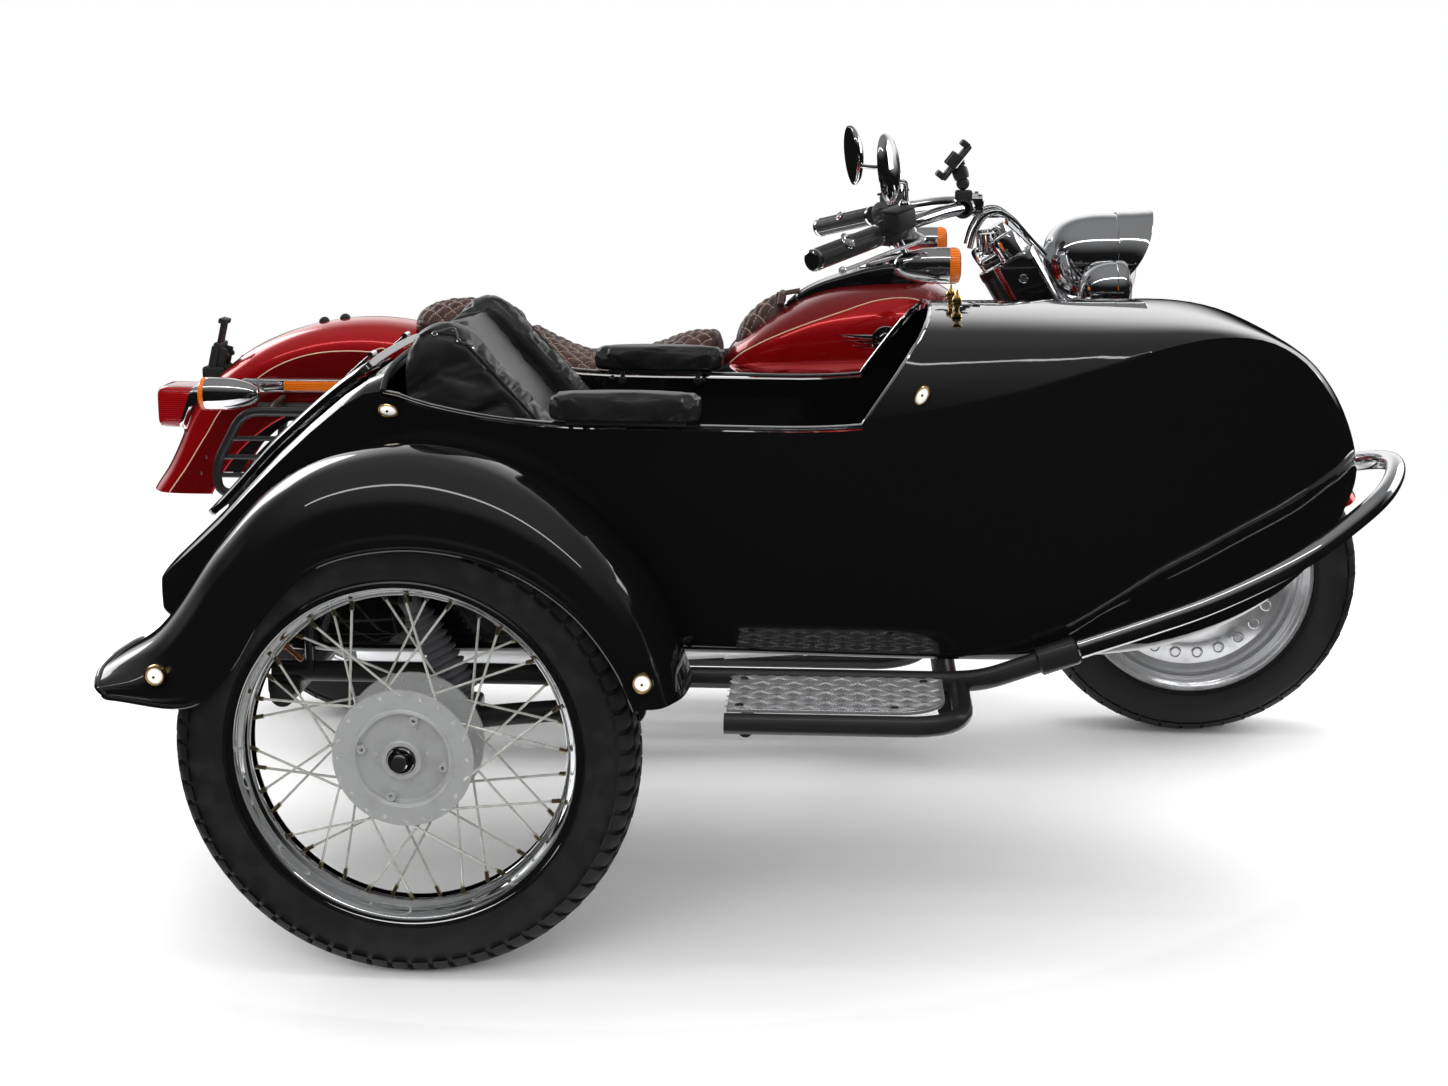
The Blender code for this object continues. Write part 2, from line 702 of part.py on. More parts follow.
def crankcase():
    """Crankcase and gearbox, with a flat deck under each cylinder."""
    deck = CYLINDER_BASE - REST_GAP
    rise = math.sin(BANK_ANGLE)
    level = math.cos(BANK_ANGLE)
    reach = 0.078
    front = (CRANK_X + deck * rise + reach * level, CRANK_Z + deck * level - reach * rise)
    rear = (CRANK_X - deck * rise - reach * level, front[1])
    apex = (CRANK_X, CRANK_Z + deck / level)
    outline = [(1.02, 0.215), (1.04, 0.30), (1.01, 0.40), front, apex, rear, (0.63, 0.44),
               (0.46, 0.455), (0.445, 0.40), (0.455, 0.30), (0.60, 0.205), (0.94, 0.198)]
    case = slab(outline, -0.098, 0.098)
    cam_cover = rod((0.90, -0.090, 0.315), (0.90, -0.124, 0.315), 0.088, 20)
    gear_cover = rod((0.70, -0.090, 0.330), (0.70, -0.118, 0.330), 0.066, 18)
    return unite(case, cam_cover, gear_cover)


def cylinder(bank):
    """One barrel with its head and rocker box."""
    up = bank_direction(bank)
    crank = Vector((CRANK_X, 0.0, CRANK_Z))
    barrel = rod(crank + up * CYLINDER_BASE, crank + up * HEAD_START, CYLINDER_RADIUS, 20)
    head = block((-0.066, -0.078, HEAD_START - 0.010), (0.066, 0.078, HEAD_END), 0.014, 2)
    head.transform(Matrix.Translation(crank) @ Matrix.Rotation(bank * BANK_ANGLE, 4, "Y"))
    return unite(barrel, head)


def primary_cover():
    """The long cover on the left, rounded at both ends."""
    outline = []
    for step in range(9):
        turn = math.radians(-90 + 180 * step / 8)
        outline.append((0.92 + 0.085 * math.cos(turn), 0.325 + 0.085 * math.sin(turn)))
    for step in range(9):
        turn = math.radians(90 + 180 * step / 8)
        outline.append((0.58 + 0.098 * math.cos(turn), 0.315 + 0.098 * math.sin(turn)))
    return slab(outline, 0.0985, 0.185)


def air_cleaner():
    profile = [(0.0, 0.0), (0.070, 0.0), (0.088, 0.012), (0.090, 0.060), (0.078, 0.078), (0.0, 0.084)]
    return spindle(profile, (CRANK_X, -0.098 - REST_GAP, 0.568), (0, -1, 0), 20)


def exhaust():
    """Two header pipes that run down the right side into two mufflers."""
    front = [(1.055, -0.040, 0.555), (1.095, -0.100, 0.520), (1.075, -0.150, 0.330), (1.000, -0.185, 0.222),
             (0.620, -0.250, 0.212), (0.560, -0.250, 0.212)]
    rear = [(0.640, -0.060, 0.560), (0.606, -0.110, 0.545), (0.606, -0.175, 0.400), (0.585, -0.250, 0.306),
            (0.520, -0.250, 0.306)]
    pieces = [tube(front, 0.021, 0.07), tube(rear, 0.021, 0.05)]
    muffler = [(0.0, 0.0), (0.024, 0.0), (0.043, 0.060), (0.043, 0.500), (0.038, 0.555), (0.036,
            0.590), (0.0, 0.590)]
    pieces.append(spindle(muffler, (0.600, -0.250, 0.212), (-1, 0, 0), 16))
    pieces.append(spindle(muffler, (0.560, -0.250, 0.306), (-1, 0, 0), 16))
    pieces.append(block((0.200, -0.258, 0.235), (0.240, -0.242, 0.285)))
    return unite(*pieces)


def oil_tank():
    return block((0.440, -0.118, 0.460), (0.565, 0.118, 0.560), 0.018, 1)


def footboard(side):
    near = 0.205
    far = 0.295
    plate = block((0.900, near, 0.262), (1.180, far, 0.276), 0.005, 1)
    arm = block((1.118, 0.1635, 0.250), (1.148, 0.230, 0.266))
    board = unite(plate, arm)
    return mirrored(board) if side < 0 else board


TANK_STATIONS = [
    # x, half width, bottom, top
    (0.706, 0.040, 0.735, 0.752), (0.722, 0.078, 0.722, 0.775), (0.760, 0.116, 0.708, 0.806),
    (0.820, 0.143, 0.698, 0.846), (0.890, 0.160, 0.694, 0.879), (0.970, 0.168, 0.694, 0.896),
    (1.050, 0.164, 0.698, 0.902), (1.105, 0.148, 0.706, 0.896), (1.140, 0.124, 0.720, 0.880),
    (1.162, 0.090, 0.740, 0.858), (1.172, 0.050, 0.765, 0.830),
]


def tank_top(x):
    return between([(row[0], row[3]) for row in TANK_STATIONS], x)


def tunnel(clearance=0.007):
    front, middle, rear = [Vector(point) for point in BACKBONE]
    rear = rear + (rear - middle).normalized() * 0.03
    return tube([front, middle, rear], BACKBONE_RADIUS + clearance, 0.06)


def tank_form():
    rings = [oval_ring(x, half, low, high, 2.5, 20) for x, half, low, high in TANK_STATIONS]
    return loft(rings)


def tank_console(tank):
    """The instrument panel along the top of the tank."""
    rings = []
    for x, half, rise in ((0.826, 0.026, 0.004), (0.850, 0.034, 0.012), (0.930, 0.046, 0.020),
                          (0.990, 0.062, 0.030), (1.050, 0.064, 0.032), (1.085, 0.050, 0.018), (1.100,
                                  0.034, 0.004)):
        top = tank_top(x) + rise
        rings.append(oval_ring(x, half, top - 0.065, top, 3.2, 16))
    return rested(loft(rings), [tank], (0, 0, 1))


def tank_pad(tank):
    """The quilted pad on the sloping back of the tank."""
    rings = []
    for x, half, low, high in ((0.728, 0.050, 0.750, 0.800), (0.742, 0.066, 0.760, 0.822), (0.772,
            0.070, 0.775, 0.852),
                               (0.800, 0.064, 0.790, 0.868), (0.818, 0.050, 0.810, 0.871)):
        rings.append(oval_ring(x, half, low - 0.02, high, 2.4, 16))
    return rested(loft(rings), [tank], (-0.5, 0, 1))


def rider_seat(fender):
    rings = []
    for x, half, low, high in ((0.308, 0.118, 0.690, 0.805), (0.350, 0.140, 0.684, 0.790), (0.420,
            0.156, 0.680, 0.758),
                               (0.500, 0.160, 0.682, 0.752), (0.570, 0.150, 0.690, 0.772), (0.630,
                                       0.124, 0.700, 0.794),
                               (0.675, 0.092, 0.716, 0.799), (0.698, 0.060, 0.735, 0.785)):
        rings.append(oval_ring(x, half, low, high, 3.0, 20))
    shaped = cut(loft(rings), tunnel(0.009))
    return rested(shaped, [fender], (1, 0, 1))


def pillion_seat(fender):
    rings = []
    for x, half, high in ((0.098, 0.060, 0.826), (0.115, 0.088, 0.842), (0.160, 0.104, 0.856), (0.230,
            0.108, 0.856),
                          (0.280, 0.106, 0.842), (0.303, 0.096, 0.824)):
        rings.append(oval_ring(x, half, high - 0.150, high, 3.0, 20))
    return rested(loft(rings), [fender], (0, 0, 1))


# Rear fender and what is fixed to it.


def rear_fender(sheet=FENDER_SHEET):
    radii = [(40, 0.490), (81, 0.493), (122, 0.495), (137, 0.483), (148, 0.466), (161, 0.468), (172, 0.478)]
    rings = []
    for degrees in range(40, 173, 11):
        crown = between(radii, degrees) - 0.495 + REAR_FENDER_RADIUS
        half = REAR_FENDER_HALF_WIDTH
        profile = [(crown, 0.0), (crown - 0.006, 0.45 * half), (crown - 0.024, 0.78 * half),
                   (crown - 0.050, 0.95 * half), (crown - 0.085, half)]
        rings.append(channel_ring(REAR_AXLE, math.radians(degrees), REAR_TYRE_RADIUS + 0.022, profile,
                                  sheet))
    shell = loft(rings, "rear_fender")
    below = block((-0.60, -0.20, 0.20), (-0.20, 0.20, 0.478))
    return cut(shell, below)


def fender_strut(side):
    """The chrome support with the rear turn signal on a stalk."""
    inner = REAR_FENDER_HALF_WIDTH + 0.0008
    y0 = side * inner
    y1 = side * (inner + 0.014)
    bar = block((-0.235, min(y0, y1), 0.684), (0.100, max(y0, y1), 0.712), 0.004, 1)
    signal = Vector((-0.232, side * 0.200, 0.692))
    stalk = rod((-0.215, side * (inner + 0.006), 0.698), signal, 0.008, 8)
    bullet = [(0.0, -0.056), (0.016, -0.050), (0.028, -0.018), (0.032, 0.020), (0.032, 0.050), (0.026,
            0.058), (0.0, 0.061)]
    return unite(bar, stalk, spindle(bullet, signal, (-1, 0, 0), 14))


def tail_lamp(fender):
    body = block((-0.441, -0.056, 0.598), (-0.330, 0.056, 0.684), 0.012, 2)
    return rested(body, [fender], (-1, 0, 0))


def guard(side):
    """The tube loop beside the rear wheel, with its cross bars."""
    y = side * 0.222
    loop = [(-0.262, y, 0.502), (-0.262, y, 0.560), (-0.205, y, 0.662), (0.040, y, 0.662), (0.040, y,
            0.502)]
    pieces = [tube(loop, 0.009, 0.03, 1, 2, True)]
    for z in (0.538, 0.574, 0.610):
        start = between([(0.560, -0.262), (0.662, -0.205)], z)
        pieces.append(rod((start, y, z), (0.040, y, z), 0.005, 6))
    for x in (-0.150, 0.000):
        pieces.append(rod((x, y, 0.662), (x, side * 0.1365, 0.676), 0.006, 8))
    return unite(*pieces)


def add_motorcycle(root):
    tank = tank_form()
    fender = rear_fender(0.0)
    add_node("frame", motorcycle_frame(), "satin_black", root)
    add_node("swingarm", swingarm(), "satin_black", root)
    add_node("crankcase", crankcase(), "cast_alloy", root)
    add_node("front_cylinder", cylinder(1.0), "cast_alloy", root)
    add_node("rear_cylinder", cylinder(-1.0), "cast_alloy", root)
    add_node("primary_cover", primary_cover(), "chrome", root)
    add_node("air_cleaner", air_cleaner(), "chrome", root)
    add_node("exhaust", exhaust(), "chrome", root)
    add_node("oil_tank", oil_tank(), "black_paint", root)
    for name, side in SIDES:
        add_node("footboard_" + name, footboard(side), "satin_black", root)
        add_node("fender_strut_" + name, fender_strut(side), "chrome", root)
        add_node("guard_" + name, guard(side), "satin_black", root)
    add_node("tank_console", tank_console(tank), "black_paint", root)
    add_node("tank_pad", tank_pad(tank), "brown_leather", root)
    add_node("rider_seat", rider_seat(fender), "brown_leather", root)
    add_node("pillion_seat", pillion_seat(fender), "brown_leather", root)
    add_node("tail_lamp", tail_lamp(fender), "red_lens", root)
    add_node("fuel_tank", cut(tank, tunnel()), "red_paint", root)
    add_node("rear_fender", rear_fender(), "red_paint", root)


# Sidecar body.

CREASE_Z = [(-0.105, 0.530), (0.000, 0.622), (0.100, 0.720), (0.245, 0.828), (0.330, 0.812), (0.400, 0.798),
            (0.500, 0.788), (0.980, 0.788), (1.167, 0.825), (1.313, 0.871), (1.399, 0.897), (1.479, 0.914),
            (1.549, 0.912), (1.593, 0.896), (1.639, 0.866), (1.688, 0.812), (1.717, 0.768), (1.740,
                    0.724), (1.757, 0.690)]
TOP_Z = [(-0.105, 0.545), (0.000, 0.645), (0.100, 0.748), (0.245, 0.858), (0.330, 0.880), (0.500, 0.900),
         (0.980, 0.930), (1.080, 0.934), (1.463, 0.932), (1.525, 0.925), (1.587, 0.910), (1.651, 0.876),
         (1.701, 0.822), (1.736, 0.758), (1.757, 0.700)]
CHINE_Z = [(-0.105, 0.478), (0.000, 0.450), (1.240, 0.450), (1.281, 0.469), (1.339, 0.518), (1.396, 0.565),
           (1.471, 0.625), (1.564, 0.663), (1.650, 0.674), (1.737, 0.676), (1.757, 0.678)]
BOTTOM_Z = [(-0.105, 0.465), (0.000, 0.430), (1.384, 0.432), (1.492, 0.452), (1.587, 0.490), (1.666, 0.542),
            (1.699, 0.576), (1.740, 0.640), (1.757, 0.666)]
BODY_STATIONS = [-0.105, 0.0, 0.10, 0.245, 0.33, 0.40, 0.50, 0.75, 0.98, 1.08, 1.167, 1.24, 1.313, 1.399,
                 1.479, 1.549, 1.60, 1.65, 1.69, 1.72, 1.742, 1.757]


def body_half_width(x):
    """Parallel sides, drawn in a little at the tail and along an ellipse at the nose."""
    tail = 0.040 * max(0.0, (0.25 - x) / (0.25 - TAIL_X)) ** 2
    if x <= NOSE_START_X:
        return BODY_HALF_WIDTH - tail
    share = (x - NOSE_START_X) / (NOSE_X + 0.004 - NOSE_START_X)
    return BODY_HALF_WIDTH * math.sqrt(max(0.0, 1.0 - share ** 2.15))


def body_ring(x, wall, lift=0.0):
    """A section from the keel up one side, over the cowl and down the other."""
    half = body_half_width(x)
    low = between(BOTTOM_Z, x)
    chine = between(CHINE_Z, x)
    crease = between(CREASE_Z, x)
    top = between(TOP_Z, x)
    rise = top - crease
    side = [
        (0.0, low), (0.72 * half, low), (0.93 * half, low + 0.25 * (chine - low)),
        (0.985 * half, chine), (half, chine + 0.5 * (crease - chine)), (0.985 * half, crease),
        (0.90 * half, crease + 0.48 * rise), (0.72 * half, crease + 0.78 * rise), (0.40 * half,
                crease + 0.95 * rise),
        (0.0, top),
    ]
    points = side + [(-y, z) for y, z in reversed(side[1:-1])]
    ring = []
    for y, z in points:
        if wall:
            y *= max(half - wall, 0.002) / max(half, 0.002)
            z = low + wall + (z - low) * max(top - low - 2 * wall, 0.004) / (top - low)
        ring.append((x, SIDECAR_CENTRE_Y + y, z + lift))
    return ring


def sidecar_body():
    """A shell of one wall thickness, open at the cockpit and under the boot lid."""
    outer = loft([body_ring(x, 0.0) for x in BODY_STATIONS])
    inner_stations = [TAIL_X + BODY_WALL] + [x for x in BODY_STATIONS[1:] if x < 1.70]
    inner = loft([body_ring(x, BODY_WALL) for x in inner_stations])
    reach = BODY_HALF_WIDTH + 0.1
    rim = [
        (COCKPIT_REAR_X, 0.828), (0.330, 0.810), (0.400, 0.796), (0.490, GUNWALE_Z + 0.003), (0.720,
                GUNWALE_Z),
        (COCKPIT_FRONT_X, GUNWALE_Z + 0.004), (1.083, 0.945), (1.083, 1.1), (COCKPIT_REAR_X, 1.1),
    ]
    cockpit = slab(rim, SIDECAR_CENTRE_Y - reach, SIDECAR_CENTRE_Y + reach)
    half = LID_HALF_WIDTH - 0.030
    boot = slab([(0.000, 0.560), (0.000, 0.760), (0.100, 0.900), (0.200, 0.900), (0.200, 0.700),
                 (0.100, 0.600)],
                SIDECAR_CENTRE_Y - half, SIDECAR_CENTRE_Y + half)
    return cut(outer, inner, cockpit, boot)


LID_HALF_WIDTH = 0.200
LID_FRONT_X = 0.232
LID_REAR_X = -0.030


def lid_axis_point():
    """Just above the deck at the lid's upper edge."""
    return Vector((LID_FRONT_X, SIDECAR_CENTRE_Y, deck_height(LID_FRONT_X, 0.0) + LID_GAP))


def deck_height(x, y):
    """The outer surface of the deck beside the middle line."""
    ring = [(py - SIDECAR_CENTRE_Y, pz) for _, py, pz in body_ring(x, 0.0)]
    upper = sorted(ring[5:15])
    return between(upper, y)


def boot_lid():
    """A crowned panel that lies over the boot opening."""
    slope = math.atan2(between(TOP_Z, 0.245) - between(TOP_Z, 0.0), 0.245)
    normal = Vector((-math.sin(slope), 0.0, math.cos(slope)))
    rings = []
    for x in (LID_REAR_X, 0.035, 0.100, 0.170, LID_FRONT_X):
        under = []
        over = []
        for step in range(9):
            y = LID_HALF_WIDTH * (2 * step / 8 - 1)
            place = Vector((x, SIDECAR_CENTRE_Y + y, deck_height(x, y)))
            under.append(place + normal * LID_GAP)
            over.append(place + normal * (LID_GAP + LID_THICKNESS))
        rings.append(under + list(reversed(over)))
    return loft(rings, "boot_lid")


def backrest():
    """A wedge with a raised bolster down each side."""
    centre = SIDECAR_CENTRE_Y
    face = [(0.318, 0.918), (0.278, 0.885), (0.279, 0.800), (0.300, 0.640), (0.400, 0.5005), (0.560,
            0.5005), (0.560, 0.645)]
    bolster = [(0.350, 0.935), (0.276, 0.893), (0.277, 0.800), (0.300, 0.640), (0.400, 0.5010), (0.605,
            0.5010), (0.605, 0.668)]
    middle = slab(face, centre - 0.17, centre + 0.17)
    pieces = [middle]
    for _, side in SIDES:
        y0 = centre + side * 0.160
        y1 = centre + side * 0.240
        pieces.append(slab(bolster, min(y0, y1), max(y0, y1)))
    return unite(*pieces)


def armrest(side):
    """A pad that sits on the cockpit rim; its underside is grooved over the rim."""
    y = SIDECAR_CENTRE_Y + side * (BODY_HALF_WIDTH - 0.012)
    pad = block((0.508, y - 0.038, 0.775), (0.736, y + 0.038, 0.828), 0.012, 1)
    groove = block((0.40, y - 0.060 if side < 0 else y - 0.0145, 0.70),
                   (0.80, y + 0.0145 if side < 0 else y + 0.060, GUNWALE_Z + 0.006))
    return cut(pad, groove)


def add_sidecar_body(root, lid):
    add_node("sidecar_body", sidecar_body(), "black_paint", root)
    centre = SIDECAR_CENTRE_Y
    floor = BODY_FLOOR_Z + BODY_WALL + 0.004
    box = block((0.430, centre - 0.205, floor), (0.880, centre + 0.205, 0.500))
    add_node("sidecar_seat_box", box, "satin_black", root)
    cushion = block((0.606, centre - 0.225, 0.5005), (0.905, centre + 0.225, 0.640), 0.030, 3)
    add_node("sidecar_cushion", cushion, "black_leather", root)
    add_node("sidecar_backrest", backrest(), "black_leather", root)
    for name, side in SIDES:
        add_node("armrest_" + name, armrest(side), "black_leather", root)
    add_node("boot_lid", boot_lid(), "black_paint", lid)


# Sidecar fender, chassis and suspension.

FENDER_CROWN = [(-0.123, 0.452), (-0.050, 0.500), (0.051, 0.632), (0.126, 0.708), (0.210, 0.754),
                (0.322, 0.774),
                (0.430, 0.757), (0.520, 0.716), (0.610, 0.642), (0.680, 0.552), (0.726, 0.423)]
FENDER_EDGE = [(-0.092, 0.426), (0.030, 0.418), (0.085, 0.470), (0.134, 0.545), (0.210, 0.618), (0.319,
        0.647),
               (0.420, 0.640), (0.500, 0.612), (0.575, 0.558), (0.632, 0.482), (0.658, 0.421)]


def sidecar_fender():
    """A sheet from beside the body, over the tyre and down to the skirt's edge."""
    sheet = FENDER_SHEET
    skirt = STEP_OUTER_Y - 0.029
    inner_y = -1.0555
    rings = []
    for crown, edge in zip(FENDER_CROWN, FENDER_EDGE):
        crown = Vector((crown[0], 0.0, crown[1]))
        edge = Vector((edge[0], 0.0, edge[1]))
        down = edge - crown
        outer = []
        for y, share in ((inner_y, 0.16), (inner_y - 0.040, 0.05), (-1.160, 0.0), (-1.210, 0.06),
                         (-1.250, 0.26), (skirt, 0.55), (skirt, 1.0)):
            outer.append(crown + down * share + Vector((0.0, y, 0.0)))
        away = down.normalized() * sheet
        inner = []
        for index, place in enumerate(outer):
            if index < 3:
                inner.append(place + away)
            elif index < 5:
                inner.append(place + away * 0.8 + Vector((0.0, sheet * 0.8, 0.0)))
            elif index == 5:
                inner.append(place + away * 0.3 + Vector((0.0, sheet, 0.0)))
            else:
                inner.append(place + Vector((0.0, sheet, 0.0)))
        rings.append(outer + list(reversed(inner)))
    return loft(rings, "sidecar_fender")


def sidecar_frame():
    """Two long tubes, two cross tubes, the step loop and the four links to the motorcycle."""
    r = CHASSIS_TUBE_RADIUS
    pieces = []
    for y, splay in ((CHASSIS_OUTER_Y, -SLEEVE_SPLAY), (CHASSIS_INNER_Y, SLEEVE_SPLAY)):
        front = Vector((1.290, y + splay, 0.463))
        bend = front - Vector((0.170, 0.0, 0.062)) * 0.80
        along = (front - bend).normalized()
        rail = [(REAR_CROSS_X - 0.02, y, CHASSIS_Z), (1.102, y, CHASSIS_Z), bend, front - along * 0.004]
        pieces.append(tube(rail, r, 0.05))
        low = front - along * 0.06
        pieces.append(rod(low, front, BUMPER_RADIUS + 0.006, 12))
    low_z = CHASSIS_Z - 0.030
    for x in (FRONT_CROSS_X, REAR_CROSS_X):
        pieces.append(rod((x, CHASSIS_OUTER_Y - 0.034, low_z), (x, -0.420, low_z), 0.019, 12))
    step = [(0.780, STEP_OUTER_Y, CHASSIS_Z - 0.006), (1.118, STEP_OUTER_Y, CHASSIS_Z - 0.006),
            (1.118, CHASSIS_OUTER_Y, CHASSIS_Z - 0.003)]
    pieces.append(tube(step, r - 0.0010, 0.085, 2, 5))
    pieces.append(rod((0.810, STEP_OUTER_Y, 0.384), (0.810, CHASSIS_OUTER_Y, 0.388), 0.010, 10))
    pieces.append(rod((0.632, CHASSIS_OUTER_Y - 0.0350, 0.378), (0.632, CHASSIS_OUTER_Y, 0.392), 0.012, 10))
    links = [
        ((1.080, CHASSIS_INNER_Y, CHASSIS_Z), (WHEELBASE - 0.485, -0.1680, 0.398)),
        ((0.440, CHASSIS_INNER_Y, CHASSIS_Z), (0.420, -0.1655, 0.401)),
        ((0.520, CHASSIS_INNER_Y, CHASSIS_Z), (0.424, -0.1730, 0.560)),
        ((1.040, CHASSIS_INNER_Y, CHASSIS_Z), (WHEELBASE - 0.451, -0.1710, 0.560)),
    ]
    for start, end in links:
        pieces.append(rod(start, end, 0.015, 12))
    return unite(*pieces)


def bumper_bar():
    """A bright tube that loops round the nose between the two sleeves."""
    centre = SIDECAR_CENTRE_Y
    half = abs(CHASSIS_OUTER_Y - centre) + SLEEVE_SPLAY
    start = Vector((1.290, 0.0, 0.463))
    direction = Vector((0.170, 0.0, 0.062)).normalized()
    start = start + direction * 0.0006
    ahead = start + direction * 0.05
    near = [(start.x, half, start.z), (ahead.x, half, ahead.z), (1.610, half - 0.040, 0.592),
            (1.740, half - 0.115, 0.646), (1.830, half - 0.215, 0.684), (1.848, 0.0, 0.694)]
    path = [(x, centre - y, z) for x, y, z in near]
    path += [(x, centre + y, z) for x, y, z in reversed(near[:-1])]
    return tube(path, BUMPER_RADIUS, 0.12, 2, 4)


def step_plate():
    inner = CHASSIS_OUTER_Y - CHASSIS_TUBE_RADIUS - 0.002
    outer = STEP_OUTER_Y + CHASSIS_TUBE_RADIUS + 0.002
    corner = 0.070
    front = 1.118 - CHASSIS_TUBE_RADIUS - 0.009
    outline = [(0.782, inner), (front, inner)]
    for step in range(7):
        turn = math.radians(90 * step / 6)
        outline.append((front - corner + corner * math.cos(turn), outer + corner - corner * math.sin(turn)))
    outline.append((0.782, outer))
    rings = [[(x, y, z) for x, y in outline] for z in (CHASSIS_Z + 0.004, CHASSIS_Z + 0.011)]
    return loft(rings, "step_plate")


def sidecar_swingarm():
    """The trailing arm with the stub axle and its nut."""
    y = -1.104
    pivot = (0.632, y, 0.372)
    pieces = [rod((pivot[0], y - 0.013, pivot[2]), (pivot[0], y + 0.0125, pivot[2]), 0.024, 16)]
    pieces.append(rod(pivot, (SIDECAR_AXLE_X, y, SIDECAR_TYRE_RADIUS), 0.012, 10))
    pieces.append(rod((SIDECAR_AXLE_X, y + 0.013, SIDECAR_TYRE_RADIUS), (SIDECAR_AXLE_X, y - 0.013,
            SIDECAR_TYRE_RADIUS),
                      0.028, 16))
    end = -SIDECAR_TRACK - 0.088
    pieces.append(rod((SIDECAR_AXLE_X, y, SIDECAR_TYRE_RADIUS), (SIDECAR_AXLE_X, end,
            SIDECAR_TYRE_RADIUS), AXLE_RADIUS, 20))
    nut = -SIDECAR_TRACK - 0.055 - 0.003
    pieces.append(rod((SIDECAR_AXLE_X, nut, SIDECAR_TYRE_RADIUS), (SIDECAR_AXLE_X, nut - 0.014,
            SIDECAR_TYRE_RADIUS), 0.019, 6))
    return unite(*pieces)


def sidecar_shock():
    """A damper in a rubber gaiter, from the body side down to the arm."""
    y = CHASSIS_OUTER_Y - CHASSIS_TUBE_RADIUS - 0.028
    top = Vector((0.300, y, 0.530))
    foot = Vector((0.392, y, 0.366))
    line = (foot - top).normalized()
    length = (foot - top).length
    profile = [(0.0, 0.0), (0.016, 0.0)]
    folds = 5
    start = 0.030
    span = length - 0.050
    for fold in range(folds):
        along = start + span * fold / folds
        profile.append((0.019, along))
        profile.append((0.028, along + 0.5 * span / folds))
    profile += [(0.019, start + span), (0.012, start + span + 0.004), (0.012, length), (0.0, length)]
    bolt = rod((top.x, y - 0.012, top.z), (top.x, -1.0555, top.z), 0.010, 10)
    return unite(spindle(profile, top, line, 12), bolt)


def add_sidecar_chassis(root):
    add_node("sidecar_fender", sidecar_fender(), "black_paint", root)
    add_node("sidecar_frame", sidecar_frame(), "satin_black", root)
    add_node("bumper_bar", bumper_bar(), "chrome", root)
    add_node("step_plate", step_plate(), "polished_alloy", root)
    add_node("sidecar_swingarm", sidecar_swingarm(), "satin_black", root)
    add_node("sidecar_shock", sidecar_shock(), "soft_rubber", root)


def centre_origin(root):
    """Puts the zero point on the ground under the middle of the whole vehicle."""
    bpy.context.view_layer.update()
    corners = []
    for item in bpy.data.objects:
        if item.type == "MESH":
            corners += [item.matrix_world @ vertex.co for vertex in item.data.vertices]
    low = [min(corner[axis] for corner in corners) for axis in range(3)]
    high = [max(corner[axis] for corner in corners) for axis in range(3)]
    root.location = (-(low[0] + high[0]) / 2, -(low[1] + high[1]) / 2, -low[2])


def main():
    clear_scene()
    root = add_pivot("chassis_origin", (0, 0, 0))
    steering_place = fork_point(0.60, 0.0, -FORK_OFFSET)
    steering = add_pivot("steering_axis", steering_place, root)
    pivots = {
        "front_wheel": add_pivot("front_wheel_axis", FRONT_AXLE, steering),
        "rear_wheel": add_pivot("rear_wheel_axis", REAR_AXLE, root),
        "sidecar_wheel": add_pivot("sidecar_wheel_axis", SIDECAR_AXLE, root),
    }
    lid = add_pivot("boot_lid_axis", lid_axis_point(), root)
    add_wheels(pivots)
    add_front_end(steering)
    add_motorcycle(root)
    add_sidecar_body(root, lid)
    add_sidecar_chassis(root)
    centre_origin(root)


main()
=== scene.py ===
# A cruiser motorcycle with a bullet-nosed sidecar: the looks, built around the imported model.
import bpy
import bmesh
import math
import random
from mathutils import Matrix, Vector, noise


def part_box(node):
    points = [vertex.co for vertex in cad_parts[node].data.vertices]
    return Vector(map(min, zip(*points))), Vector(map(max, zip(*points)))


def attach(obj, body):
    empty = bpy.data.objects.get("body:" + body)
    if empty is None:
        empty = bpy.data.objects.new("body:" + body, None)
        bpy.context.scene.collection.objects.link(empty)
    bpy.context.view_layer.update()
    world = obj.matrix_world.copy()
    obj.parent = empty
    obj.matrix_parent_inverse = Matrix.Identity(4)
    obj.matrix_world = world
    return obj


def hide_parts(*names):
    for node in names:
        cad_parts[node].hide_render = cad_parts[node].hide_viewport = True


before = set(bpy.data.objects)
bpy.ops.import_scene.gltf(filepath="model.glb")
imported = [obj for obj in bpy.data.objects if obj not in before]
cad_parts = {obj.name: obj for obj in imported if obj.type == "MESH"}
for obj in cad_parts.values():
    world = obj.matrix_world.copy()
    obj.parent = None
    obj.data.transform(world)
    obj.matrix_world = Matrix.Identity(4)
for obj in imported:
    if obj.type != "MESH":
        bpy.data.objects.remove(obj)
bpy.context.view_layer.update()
print("frame loaded")


def middleOf(node):
    low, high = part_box(node)
    return (low + high) / 2


